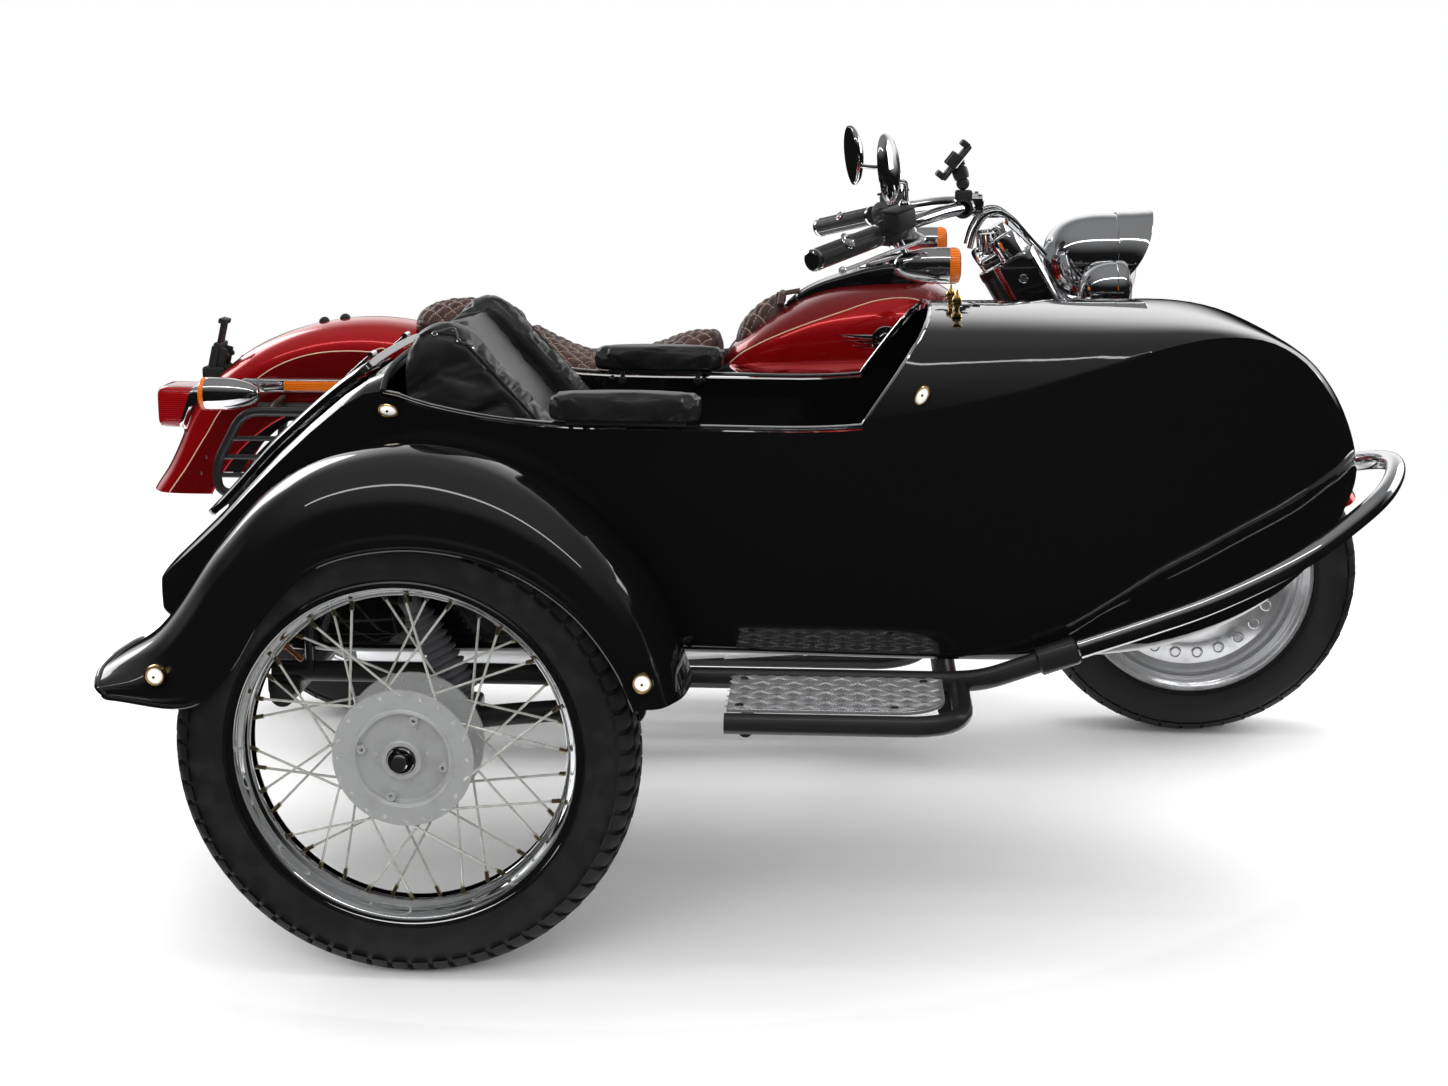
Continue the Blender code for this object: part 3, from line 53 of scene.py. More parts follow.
# Every shape below is drawn from the point on the ground under the rear axle: x ahead, y to the left, z up.
rearHub = middleOf("rear_tyre")
ground = Vector((rearHub.x, rearHub.y, 0.0))
wheelbase = middleOf("front_tyre").x - rearHub.x
rearRadius = rearHub.z
frontRadius = middleOf("front_tyre").z
sideHub = middleOf("sidecar_tyre") - ground
frontHub = middleOf("front_tyre") - ground
rearHub = rearHub - ground
sideY = (middleOf("sidecar_body") - ground).y      # middle line of the sidecar's body
rakeAngle = math.radians(31)
forkUp = Vector((-math.sin(rakeAngle), 0, math.cos(rakeAngle)))
forkAhead = Vector((math.cos(rakeAngle), 0, math.sin(rakeAngle)))
across = Vector((0, 1, 0))
upward = Vector((0, 0, 1))
sides = (("right", -1), ("left", 1))


def onFork(along, side=0.0, ahead=0.0):
    return frontHub + forkUp * along + forkAhead * ahead + across * side


# ---- curves ----
def smoothLine(points, steps=8, closed=False):
    # a round curve through the points
    points = [Vector(p) for p in points]
    count = len(points)
    line = []
    for i in range(count if closed else count - 1):
        if closed:
            a, b, c, d = (points[(i + k) % count] for k in (-1, 0, 1, 2))
        else:
            b, c = points[i], points[i + 1]
            a = points[i - 1] if i else b * 2 - c
            d = points[i + 2] if i + 2 < count else c * 2 - b
        gaps = [max((q - p).length, 1e-6) ** 0.5 for p, q in ((a, b), (b, c), (c, d))]
        leave = (b - a) / gaps[0] - (c - a) / (gaps[0] + gaps[1]) + (c - b) / gaps[1]
        arrive = (c - b) / gaps[1] - (d - b) / (gaps[1] + gaps[2]) + (d - c) / gaps[2]
        leave, arrive = leave * gaps[1], arrive * gaps[1]
        for k in range(steps):
            t = k / steps
            line.append(b * (2 * t**3 - 3 * t**2 + 1) + leave * (t**3 - 2 * t**2 + t)
                        + c * (3 * t**2 - 2 * t**3) + arrive * (t**3 - t**2))
    if not closed:
        line.append(points[-1])
    return line


def bentLine(points, bend, steps=6, closed=False):
    # straight runs with round corners
    points = [Vector(p) for p in points]
    count = len(points)
    line = []
    for i in range(count):
        if not closed and i in (0, count - 1):
            line.append(points[i])
            continue
        before, here, after = points[i - 1], points[i], points[(i + 1) % count]
        reach = min(bend, (before - here).length * 0.48, (after - here).length * 0.48)
        start = here + (before - here).normalized() * reach
        end = here + (after - here).normalized() * reach
        for k in range(steps + 1):
            t = k / steps
            line.append(start * (1 - t) ** 2 + here * 2 * t * (1 - t) + end * t * t)
    return line


def heightCurve(table, steps=10):
    # a smooth height for any place along a list of (x, z)
    line = smoothLine([(x, z, 0) for x, z in table], steps)

    def at(x):
        if x <= line[0].x:
            return line[0].y
        for a, b in zip(line, line[1:]):
            if x <= b.x:
                return a.y + (b.y - a.y) * (x - a.x) / max(b.x - a.x, 1e-9)
        return line[-1].y
    return at


def evenly(line, gap):
    # points a set distance apart along a line, with the direction there
    places = []
    need = gap / 2
    for a, b in zip(line, line[1:]):
        span = (b - a).length
        while need <= span and span > 0:
            places.append((a.lerp(b, need / span), (b - a).normalized()))
            need += gap
        need -= span
    return places


# ---- a pot that collects shapes for one piece ----
class Form:
    def __init__(self):
        self.mesh = bmesh.new()

    def loft(self, rings, caps=True, loop=False, openRing=False):
        rows = [[self.mesh.verts.new(p) for p in ring] for ring in rings]
        pairs = list(zip(rows, rows[1:])) + ([(rows[-1], rows[0])] if loop else [])
        for a, b in pairs:
            count = len(a)
            for i in range(count - 1 if openRing else count):
                j = (i + 1) % count
                self.mesh.faces.new((a[i], a[j], b[j], b[i]))
        if caps and not loop and not openRing:
            self.mesh.faces.new(rows[0])
            self.mesh.faces.new(list(reversed(rows[-1])))
        return rows

    def lathe(self, profile, centre, axis=(0, 1, 0), steps=64, closed=False, start=None):
        # profile: (distance from the axis, distance along it); closed joins its ends as a ring
        axis = Vector(axis).normalized()
        side = Vector(start) if start else axis.orthogonal().normalized()
        other = axis.cross(side)
        centre = Vector(centre)
        rows = []
        for r, along in profile:
            if r < 1e-6:
                rows.append([self.mesh.verts.new(centre + axis * along)])
                continue
            rows.append([self.mesh.verts.new(centre + axis * along + (side * math.cos(a) + other * math.sin(a)) * r)
                         for a in (math.tau * k / steps for k in range(steps))])
        pairs = list(zip(rows, rows[1:])) + ([(rows[-1], rows[0])] if closed else [])
        for a, b in pairs:
            for i in range(steps):
                j = (i + 1) % steps
                corners = [a[i % len(a)], a[j % len(a)], b[j % len(b)], b[i % len(b)]]
                corners = [c for n, c in enumerate(corners) if c not in corners[:n]]
                if len(corners) > 2:
                    self.mesh.faces.new(corners)
        if not closed:
            for row in (rows[0], rows[-1]):
                if len(row) > 2:
                    self.mesh.faces.new(row)

    def tube(self, line, radius, ringSides=14, closed=False, flat=1.0, up=None):
        # radius: one value or one for each point; flat squeezes the tube along its second direction
        line = [Vector(p) for p in line]
        count = len(line)
        radii = radius if isinstance(radius, (list, tuple)) else [radius] * count
        normal = None
        rings = []
        for i, place in enumerate(line):
            before = line[i - 1] if i or closed else place
            after = line[(i + 1) % count] if i < count - 1 or closed else place
            ahead = (after - before).normalized()
            if up is not None:
                normal = (Vector(up) - ahead * ahead.dot(Vector(up))).normalized()
            elif normal is None:
                normal = ahead.orthogonal().normalized()
            else:
                normal = (normal - ahead * ahead.dot(normal)).normalized()
            other = ahead.cross(normal)
            rings.append([place + (normal * math.cos(a) * flat + other * math.sin(a)) * radii[i]
                          for a in (math.tau * k / ringSides for k in range(ringSides))])
        self.loft(rings, caps=not closed, loop=closed)

    def block(self, low, high, turn=None, bevel=0.0, segments=3):
        made = bmesh.ops.create_cube(self.mesh, size=1.0)["verts"]
        low, high = Vector(low), Vector(high)
        for v in made:
            v.co = Vector([low[k] + (v.co[k] + 0.5) * (high[k] - low[k]) for k in range(3)])
        if bevel:
            edges = list({e for v in made for e in v.link_edges})
            made = bmesh.ops.bevel(self.mesh, geom=edges, offset=bevel, segments=segments, affect="EDGES",
                                   profile=0.5, clamp_overlap=True)["verts"]
        if turn is not None:
            done = set()
            stack = list(made)
            while stack:
                v = stack.pop()
                if v in done:
                    continue
                done.add(v)
                stack.extend(e.other_vert(v) for e in v.link_edges)
            for v in done:
                v.co = turn @ v.co

    def rod(self, start, end, radius, steps=16, endRadius=None):
        start, end = Vector(start), Vector(end)
        length = (end - start).length
        last = radius if endRadius is None else endRadius
        self.lathe([(radius, 0), (last, length)], start, (end - start), steps)

    def ball(self, centre, radius, squash=(1, 1, 1), steps=16):
        made = bmesh.ops.create_uvsphere(self.mesh, u_segments=steps, v_segments=max(steps // 2, 6),
                                         radius=radius)
        for v in made["verts"]:
            v.co = Vector([v.co[k] * squash[k] for k in range(3)]) + Vector(centre)

    def bolt(self, place, axis, radius, height, dome=False):
        # a six-sided head on a washer, or a round cap
        axis = Vector(axis).normalized()
        place = Vector(place)
        if dome:
            profile = [(radius, 0), (radius * 0.97, height * 0.4), (radius * 0.7, height * 0.85), (0,
                    height)]
            self.lathe(profile, place, axis, 12)
            return
        self.lathe([(radius * 1.25, 0), (radius * 1.25, height * 0.2)], place, axis, 16)
        self.lathe([(radius, height * 0.2), (radius, height * 0.85), (radius * 0.85, height)], place,
                   axis, 6)

    def mirrorCopy(self):
        made = bmesh.ops.duplicate(self.mesh,
                                   geom=self.mesh.verts[:] + self.mesh.edges[:] + self.mesh.faces[:])
        for item in made["geom"]:
            if isinstance(item, bmesh.types.BMVert):
                item.co.y = -item.co.y
        bmesh.ops.reverse_faces(self.mesh, faces=[f for f in made["geom"] if isinstance(f,
                bmesh.types.BMFace)])

    def sheet(self, thickness):
        # gives an open surface a wall on the side away from its faces
        bmesh.ops.remove_doubles(self.mesh, verts=self.mesh.verts[:], dist=1e-6)
        bmesh.ops.recalc_face_normals(self.mesh, faces=self.mesh.faces[:])
        bmesh.ops.solidify(self.mesh, geom=self.mesh.faces[:], thickness=thickness)

    def object(self, name, angle=35, turnOut=True):
        if turnOut:
            bmesh.ops.recalc_face_normals(self.mesh, faces=self.mesh.faces[:])
        data = bpy.data.meshes.new(name)
        self.mesh.to_mesh(data)
        self.mesh.free()
        data.transform(Matrix.Translation(ground))
        data.shade_smooth()
        data.set_sharp_from_angle(angle=math.radians(angle))
        made = bpy.data.objects.new(name, data)
        bpy.context.scene.collection.objects.link(made)
        return made

    def piece(self, name, body, paint, slot, replaces=(), angle=35, bevel=0.0, turnOut=True):
        made = self.object(name, angle, turnOut)
        if bevel:
            rounding = made.modifiers.new("edges", "BEVEL")
            rounding.width = bevel
            rounding.segments = 2
            rounding.limit_method = "ANGLE"
            rounding.angle_limit = math.radians(40)
            rounding.harden_normals = True
        return settle(made, body, paint, replaces)


pieceCount = 0


def settle(made, body, paint, replaces=()):
    # colours a finished piece and hands it to its moving body
    global pieceCount
    pieceCount += 1
    made.data.materials.clear()
    for one in (paint if isinstance(paint, (list, tuple)) else [paint]):
        made.data.materials.append(one.material)
    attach(made, body)
    if replaces:
        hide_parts(*([replaces] if isinstance(replaces, str) else replaces))
    return made


def plainMesh(made):
    # applies whatever modifiers a piece has
    graph = bpy.context.evaluated_depsgraph_get()
    data = bpy.data.meshes.new_from_object(made.evaluated_get(graph))
    made.modifiers.clear()
    made.data = data
    return made


# ---- one node tree that stamps a small shape on every point of a list ----
def stampTree():
    tree = bpy.data.node_groups.new("stamp", "GeometryNodeTree")
    face = tree.interface
    face.new_socket("Points", in_out="INPUT", socket_type="NodeSocketGeometry")
    face.new_socket("Shape", in_out="INPUT", socket_type="NodeSocketObject")
    face.new_socket("Size", in_out="INPUT", socket_type="NodeSocketFloat")
    face.new_socket("Paint", in_out="INPUT", socket_type="NodeSocketMaterial")
    face.new_socket("Geometry", in_out="OUTPUT", socket_type="NodeSocketGeometry")
    add = tree.nodes.new
    start, end = add("NodeGroupInput"), add("NodeGroupOutput")
    info = add("GeometryNodeObjectInfo")
    stamp = add("GeometryNodeInstanceOnPoints")
    turn = add("FunctionNodeAxesToRotation")
    turn.primary_axis, turn.secondary_axis = "X", "Z"
    scale = add("ShaderNodeMath")
    scale.operation = "MULTIPLY"
    reads = {}
    for name, kind in (("ahead", "FLOAT_VECTOR"), ("up", "FLOAT_VECTOR"), ("grow", "FLOAT")):
        reads[name] = add("GeometryNodeInputNamedAttribute")
        reads[name].data_type = kind
        reads[name].inputs["Name"].default_value = name
    real, colour = add("GeometryNodeRealizeInstances"), add("GeometryNodeSetMaterial")
    link = tree.links.new
    link(start.outputs["Points"], stamp.inputs["Points"])
    link(start.outputs["Shape"], info.inputs["Object"])
    link(info.outputs["Geometry"], stamp.inputs["Instance"])
    link(reads["ahead"].outputs["Attribute"], turn.inputs["Primary Axis"])
    link(reads["up"].outputs["Attribute"], turn.inputs["Secondary Axis"])
    link(turn.outputs["Rotation"], stamp.inputs["Rotation"])
    link(reads["grow"].outputs["Attribute"], scale.inputs[0])
    link(start.outputs["Size"], scale.inputs[1])
    link(scale.outputs[0], stamp.inputs["Scale"])
    link(stamp.outputs["Instances"], real.inputs["Geometry"])
    link(real.outputs["Geometry"], colour.inputs["Geometry"])
    link(start.outputs["Paint"], colour.inputs["Material"])
    link(colour.outputs["Geometry"], end.inputs["Geometry"])
    return tree


stampNodes = stampTree()


def stamped(name, shape, places, body, paint, replaces=(), size=1.0, angle=35):
    # places: (point, direction of the shape's x, direction of its z, scale)
    data = bpy.data.meshes.new(name)
    data.from_pydata([Vector(p[0]) + ground for p in places], [], [])
    for key, kind, pick in (("ahead", "FLOAT_VECTOR", 1), ("up", "FLOAT_VECTOR", 2), ("grow", "FLOAT", 3)):
        values = data.attributes.new(key, kind, "POINT").data
        for value, place in zip(values, places):
            if kind == "FLOAT":
                value.value = place[pick]
            else:
                value.vector = Vector(place[pick]).normalized()
    made = bpy.data.objects.new(name, data)
    bpy.context.scene.collection.objects.link(made)
    shape.data.transform(Matrix.Translation(-ground))
    nodes = made.modifiers.new("stamp", "NODES")
    nodes.node_group = stampNodes
    named = {item.name: item.identifier for item in stampNodes.interface.items_tree if item.in_out == "INPUT"}
    nodes[named["Shape"]] = shape
    nodes[named["Size"]] = size
    nodes[named["Paint"]] = paint.material
    plainMesh(made)
    for extra in ("ahead", "up", "grow"):
        if extra in made.data.attributes:
            made.data.attributes.remove(made.data.attributes[extra])
    made.data.shade_smooth()
    made.data.set_sharp_from_angle(angle=math.radians(angle))
    bpy.data.objects.remove(shape)
    return settle(made, body, paint, replaces)


def around(hub, radius, y, count, first=0.0, axis=across):
    # places on a circle about a wheel's axle: point, outward direction
    made = []
    for k in range(count):
        turn = math.tau * (k + first) / count
        out = Vector((math.cos(turn), 0, math.sin(turn)))
        made.append((hub + out * radius + axis * y, out))
    return made


# ---- paints and surfaces ----
class Tie:
    # a node's output that can stand in a sum
    def __init__(self, paint, socket):
        self.paint = paint
        self.socket = socket

    def sum(self, operation, other, swapped=False):
        pair = (other, self) if swapped else (self, other)
        return self.paint.node("ShaderNodeMath", {"operation": operation}, {0: pair[0], 1: pair[1]})

    def __add__(self, other):
        return self.sum("ADD", other)

    def __radd__(self, other):
        return self.sum("ADD", other, True)

    def __sub__(self, other):
        return self.sum("SUBTRACT", other)

    def __rsub__(self, other):
        return self.sum("SUBTRACT", other, True)

    def __mul__(self, other):
        return self.sum("MULTIPLY", other)

    def __rmul__(self, other):
        return self.sum("MULTIPLY", other, True)

    def __truediv__(self, other):
        return self.sum("DIVIDE", other)

    def __gt__(self, other):
        return self.sum("GREATER_THAN", other)

    def __lt__(self, other):
        return self.sum("LESS_THAN", other)


class Paint:
    def __init__(self, name, colour, rough, metal=0.0, **fixed):
        self.material = bpy.data.materials.new(name)
        self.material.use_nodes = True
        self.material.diffuse_color = (*colour, 1)
        self.tree = self.material.node_tree
        self.shader = self.tree.nodes["Principled BSDF"]
        self.put("Base Color", (*colour, 1))
        self.put("Roughness", rough)
        self.put("Metallic", metal)
        for key, value in fixed.items():
            self.put({"coat": "Coat Weight", "coatRough": "Coat Roughness", "ior": "IOR",
                      "through": "Transmission Weight",
                      "sheen": "Sheen Weight", "alpha": "Alpha", "shine": "Specular IOR Level",
                      "glow": "Emission Strength"}[key], value)
        self.place = None

    def put(self, key, value):
        socket = self.shader.inputs[key]
        if isinstance(value, Tie):
            self.tree.links.new(value.socket, socket)
        else:
            socket.default_value = value

    def node(self, kind, settings=None, sockets=None, out=0):
        made = self.tree.nodes.new(kind)
        for key, value in (settings or {}).items():
            if key == "stops":
                ramp = made.color_ramp
                while len(ramp.elements) < len(value):
                    ramp.elements.new(0.5)
                for element, (at, shade) in zip(ramp.elements, value):
                    element.position = at
                    element.color = (*shade, 1) if isinstance(shade, tuple) else (shade, shade, shade, 1)
            else:
                setattr(made, key, value)
        for key, value in (sockets or {}).items():
            if isinstance(value, Tie):
                self.tree.links.new(value.socket, made.inputs[key])
            else:
                made.inputs[key].default_value = value
        return Tie(self, made.outputs[out])

    def where(self, stretch=None):
        if self.place is None:
            self.place = self.node("ShaderNodeTexCoord", out="Object")
        if stretch is None:
            return self.place
        return self.node("ShaderNodeMapping", {}, {"Vector": self.place, "Scale": stretch})

    def axis(self, index):
        return self.node("ShaderNodeSeparateXYZ", {}, {0: self.where()}, out=index)

    def cloud(self, scale, detail=4.0, stretch=None, rough=0.55):
        return self.node("ShaderNodeTexNoise", {}, {"Vector": self.where(stretch), "Scale": scale,
                                                    "Detail": detail,
                                                   "Roughness": rough})

    def cells(self, scale, feature="F1", stretch=None, jitter=1.0, out="Distance"):
        return self.node("ShaderNodeTexVoronoi", {"feature": feature},
                         {"Vector": self.where(stretch), "Scale": scale, "Randomness": jitter}, out=out)

    def ramp(self, value, low, high, first=0.0, last=1.0):
        return self.node("ShaderNodeMapRange", {}, {"Value": value, "From Min": low, "From Max": high,
                                                    "To Min": first, "To Max": last})

    def blend(self, mask, a, b):
        full = [(*c, 1) if isinstance(c, tuple) and len(c) == 3 else c for c in (a, b)]
        return self.node("ShaderNodeMix", {"data_type": "RGBA"}, {"Factor": mask, 6: full[0],
                7: full[1]}, out=2)

    def band(self, name):
        return self.node("ShaderNodeAttribute", {"attribute_name": name}, out="Fac")

    def bumps(self, height, depth, strength=1.0, below=None):
        sockets = {"Height": height, "Distance": depth, "Strength": strength}
        if below is not None:
            sockets["Normal"] = below
        normal = self.node("ShaderNodeBump", {}, sockets)
        self.put("Normal", normal)
        return normal


def blackPaint():
    look = {"colour": (0.0032, 0.0032, 0.0036), "rough": 0.05, "dust": 0.03}
    paint = Paint("black paint", look["colour"], look["rough"], coat=1.0, coatRough=0.015, ior=1.5)
    haze = paint.cloud(3.0, 5.0)
    paint.put("Roughness", paint.ramp(haze, 0.35, 0.75, look["rough"], look["rough"] + look["dust"]))
    paint.bumps(paint.cloud(160.0, 2.0), 0.00003, 0.25)      # the faint ripple of sprayed paint
    return paint


def redPaint():
    look = {"bright": (0.50, 0.0015, 0.004), "deep": (0.13, 0.0008, 0.002), "stripe": (0.62, 0.42, 0.26)}
    paint = Paint("candy red", look["bright"], 0.22, 0.72, coat=1.0, coatRough=0.02, ior=1.5)
    flake = paint.cells(1400.0, out="Color")
    spark = paint.node("ShaderNodeSeparateXYZ", {}, {0: flake}, out=0)
    body = paint.blend(paint.band("deep"), look["bright"], look["deep"])
    body = paint.blend(paint.ramp(spark, 0.6, 1.0, 0.0, 0.35), body, (0.62, 0.02, 0.03))
    line = paint.ramp(paint.band("stripe"), 0.35, 0.65)
    paint.put("Base Color", paint.blend(line, body, look["stripe"]))
    paint.put("Metallic", paint.ramp(line, 0.0, 1.0, 0.72, 0.1))
    paint.put("Roughness", paint.ramp(paint.cloud(4.0), 0.3, 0.7, 0.2, 0.26))
    paint.bumps(paint.cloud(150.0, 2.0), 0.00003, 0.25)
    return paint


def satinBlack():
    paint = Paint("satin black", (0.0105, 0.0105, 0.011), 0.32, coat=0.35, coatRough=0.2)
    paint.put("Roughness", paint.ramp(paint.cloud(22.0, 6.0), 0.3, 0.7, 0.27, 0.42))
    paint.bumps(paint.cloud(420.0, 3.0), 0.00005, 0.5)
    return paint


def crinkleBlack():
    paint = Paint("crinkle black", (0.012, 0.012, 0.012), 0.48)
    grain = paint.cells(900.0, "SMOOTH_F1")
    paint.put("Roughness", paint.ramp(grain, 0.1, 0.7, 0.42, 0.6))
    paint.bumps(grain, 0.00012, 0.8)
    return paint


def chromePlate():
    paint = Paint("chrome", (0.83, 0.84, 0.86), 0.04, 1.0)
    smear = paint.cloud(9.0, 6.0)
    paint.put("Roughness", paint.ramp(smear, 0.35, 0.8, 0.03, 0.10))
    paint.put("Base Color", paint.blend(paint.ramp(paint.cloud(2.2, 4.0), 0.45, 0.8), (0.84, 0.85, 0.87),
                                        (0.70, 0.70, 0.70)))
    return paint


def polishedAlloy():
    # turned and buffed: blotches at random of rougher, darker metal over a fine bump
    paint = Paint("polished alloy", (0.74, 0.745, 0.76), 0.16, 0.82)
    spots = paint.cloud(34.0, 7.0)
    paint.put("Roughness", paint.ramp(spots, 0.3, 0.75, 0.12, 0.28))
    paint.put("Base Color", paint.blend(paint.ramp(spots, 0.52, 0.8), (0.76, 0.765, 0.78), (0.55, 0.55,
            0.56)))
    paint.bumps(paint.cloud(700.0, 2.0), 0.00002, 0.4)
    return paint


def castAlloy():
    paint = Paint("cast alloy", (0.46, 0.465, 0.475), 0.42, 1.0)
    pits = paint.cloud(260.0, 5.0)
    stain = paint.cloud(12.0, 5.0)
    paint.put("Roughness", paint.ramp(stain, 0.3, 0.75, 0.36, 0.55))
    paint.put("Base Color", paint.blend(paint.ramp(stain, 0.45, 0.8), (0.50, 0.505, 0.515), (0.30, 0.30,
            0.30)))
    paint.bumps(pits, 0.00012, 0.6)
    return paint


def drumAlloy():
    paint = Paint("sand cast drum", (0.60, 0.605, 0.61), 0.38, 0.62)
    pits = paint.cells(1300.0, "SMOOTH_F1")
    paint.put("Roughness", paint.ramp(paint.cloud(60.0, 5.0), 0.3, 0.7, 0.32, 0.5))
    paint.put("Base Color", paint.blend(paint.ramp(paint.cloud(30.0, 6.0), 0.5, 0.75), (0.60, 0.605, 0.61),
                                        (0.50, 0.50, 0.50)))
    paint.bumps(pits, 0.00008, 0.6)
    return paint


def tyreRubber():
    paint = Paint("tyre rubber", (0.0135, 0.0135, 0.014), 0.62, shine=0.4)
    scuff = paint.cloud(26.0, 7.0)
    paint.put("Base Color", paint.blend(paint.ramp(scuff, 0.45, 0.78), (0.0080, 0.0080, 0.0085), (0.015,
            0.0145, 0.014)))
    paint.put("Roughness", paint.ramp(scuff, 0.3, 0.75, 0.52, 0.78))
    paint.bumps(paint.cloud(520.0, 4.0), 0.0001, 0.6)
    return paint


def gaiterRubber():
    paint = Paint("grey rubber", (0.075, 0.075, 0.08), 0.48)
    paint.put("Roughness", paint.ramp(paint.cloud(60.0, 5.0), 0.3, 0.7, 0.4, 0.6))
    return paint


def softRubber():
    paint = Paint("soft rubber", (0.0125, 0.0125, 0.013), 0.5)
    paint.put("Roughness", paint.ramp(paint.cloud(80.0, 5.0), 0.3, 0.7, 0.42, 0.6))
    paint.bumps(paint.cloud(650.0, 3.0), 0.00006, 0.5)
    return paint


def hide(name, colour, worn, rough, grainSize, crease):
    # leather: pebbled grain over soft wrinkles, paler where it is worn
    paint = Paint(name, colour, rough, coat=0.12, coatRough=0.28)
    grain = paint.cells(grainSize, "SMOOTH_F1", jitter=0.9)
    pores = paint.cloud(grainSize * 1.6, 3.0)
    folds = paint.cloud(26.0, 5.0, stretch=(1.0, 0.35, 1.0))
    age = paint.ramp(paint.cloud(14.0, 6.0), 0.45, 0.78)
    paint.put("Base Color", paint.blend(age, colour, worn))
    paint.put("Roughness", paint.ramp(grain, 0.0, 0.6, rough - 0.07, rough + 0.10))
    wrinkle = paint.bumps(folds, crease, 0.55)
    paint.bumps(grain * 0.7 + pores * 0.3, 0.00022, 0.5, below=wrinkle)
    return paint


def stitchThread(name, colour):
    paint = Paint(name, colour, 0.7, sheen=0.3)
    twist = paint.node("ShaderNodeTexWave", {"wave_type": "BANDS", "bands_direction": "DIAGONAL"},
                       {"Vector": paint.where(), "Scale": 420.0, "Distortion": 0.6})
    paint.put("Base Color", paint.blend(paint.ramp(twist, 0.2, 0.8), colour,
                                        tuple(c * 0.62 for c in colour)))
    paint.bumps(twist, 0.0002, 0.6)
    return paint


def blackFelt():
    paint = Paint("lining felt", (0.0075, 0.0075, 0.008), 0.95, sheen=0.35, shine=0.2)
    fuzz = paint.cloud(900.0, 6.0)
    paint.put("Base Color", paint.blend(paint.ramp(fuzz, 0.4, 0.7), (0.006, 0.006, 0.0065), (0.016,
            0.016, 0.017)))
    paint.bumps(fuzz, 0.0006, 0.8)
    return paint


def blackPlastic():
    paint = Paint("black plastic", (0.016, 0.016, 0.017), 0.42)
    paint.put("Roughness", paint.ramp(paint.cloud(50.0, 5.0), 0.3, 0.7, 0.36, 0.5))
    paint.bumps(paint.cells(1500.0, "SMOOTH_F1"), 0.00005, 0.5)
    return paint


def lens(name, colour, deep):
    # coloured lamp glass with moulded ribs
    paint = Paint(name, colour, 0.07, coat=0.8, coatRough=0.03, ior=1.49, through=0.25)
    ribs = paint.node("ShaderNodeTexWave", {"wave_type": "BANDS", "bands_direction": "Z"},
                      {"Vector": paint.where(), "Scale": 75.0})
    paint.put("Base Color", paint.blend(paint.ramp(ribs, 0.1, 0.9), colour, deep))
    paint.bumps(ribs, 0.0006, 0.5)
    return paint


def clearGlass():
    paint = Paint("clear glass", (0.97, 0.98, 0.98), 0.01, through=1.0, ior=1.32)
    ribs = paint.node("ShaderNodeTexWave", {"wave_type": "BANDS", "bands_direction": "Y"},
                      {"Vector": paint.where(), "Scale": 34.0})
    paint.put("Roughness", paint.ramp(paint.cloud(14.0), 0.4, 0.8, 0.0, 0.05))
    paint.bumps(ribs, 0.0004, 0.15)
    return paint


def mirrorGlass():
    paint = Paint("silvered glass", (0.90, 0.91, 0.92), 0.012, 1.0)
    paint.put("Roughness", paint.ramp(paint.cloud(12.0, 4.0), 0.45, 0.8, 0.008, 0.04))
    return paint


def brassMetal():
    paint = Paint("polished brass", (0.83, 0.57, 0.22), 0.14, 1.0)
    stain = paint.cloud(60.0, 5.0)
    paint.put("Base Color", paint.blend(paint.ramp(stain, 0.5, 0.8), (0.86, 0.60, 0.24), (0.42, 0.25,
            0.08)))
    paint.put("Roughness", paint.ramp(stain, 0.3, 0.8, 0.10, 0.26))
    return paint


def darkMetal():
    paint = Paint("oiled steel", (0.20, 0.20, 0.205), 0.34, 1.0)
    paint.put("Roughness", paint.ramp(paint.cloud(40.0, 5.0), 0.3, 0.75, 0.26, 0.48))
    return paint


def lampWhite():
    paint = Paint("lamp glass white", (0.86, 0.85, 0.80), 0.12, coat=0.6, coatRough=0.05)
    paint.put("Base Color", paint.blend(paint.ramp(paint.cloud(300.0, 3.0), 0.4, 0.7), (0.88, 0.87, 0.83),
                                        (0.72, 0.70, 0.64)))
    return paint


black, red, satin, crinkle = blackPaint(), redPaint(), satinBlack(), crinkleBlack()
chrome, alloy, cast, drum = chromePlate(), polishedAlloy(), castAlloy(), drumAlloy()
rubber, soft, felt, plastic, gaiter = tyreRubber(), softRubber(), blackFelt(), blackPlastic(), gaiterRubber()
blackHide = hide("black leather", (0.0065, 0.0065, 0.0072), (0.016, 0.016, 0.0175), 0.33, 620.0, 0.0012)
brownHide = hide("brown leather", (0.026, 0.0085, 0.0065), (0.055, 0.022, 0.017), 0.46, 700.0, 0.0004)
paleThread, darkThread = stitchThread("pale thread", (0.42, 0.30, 0.22)), stitchThread("black thread",
        (0.02, 0.02, 0.02))
amber = lens("amber lens", (0.86, 0.20, 0.01), (0.62, 0.11, 0.006))
redLens = lens("red lens", (0.36, 0.004, 0.006), (0.16, 0.002, 0.003))
clear, silver, brass, steel, milk = clearGlass(), mirrorGlass(), brassMetal(), darkMetal(), lampWhite()
print("paints made")


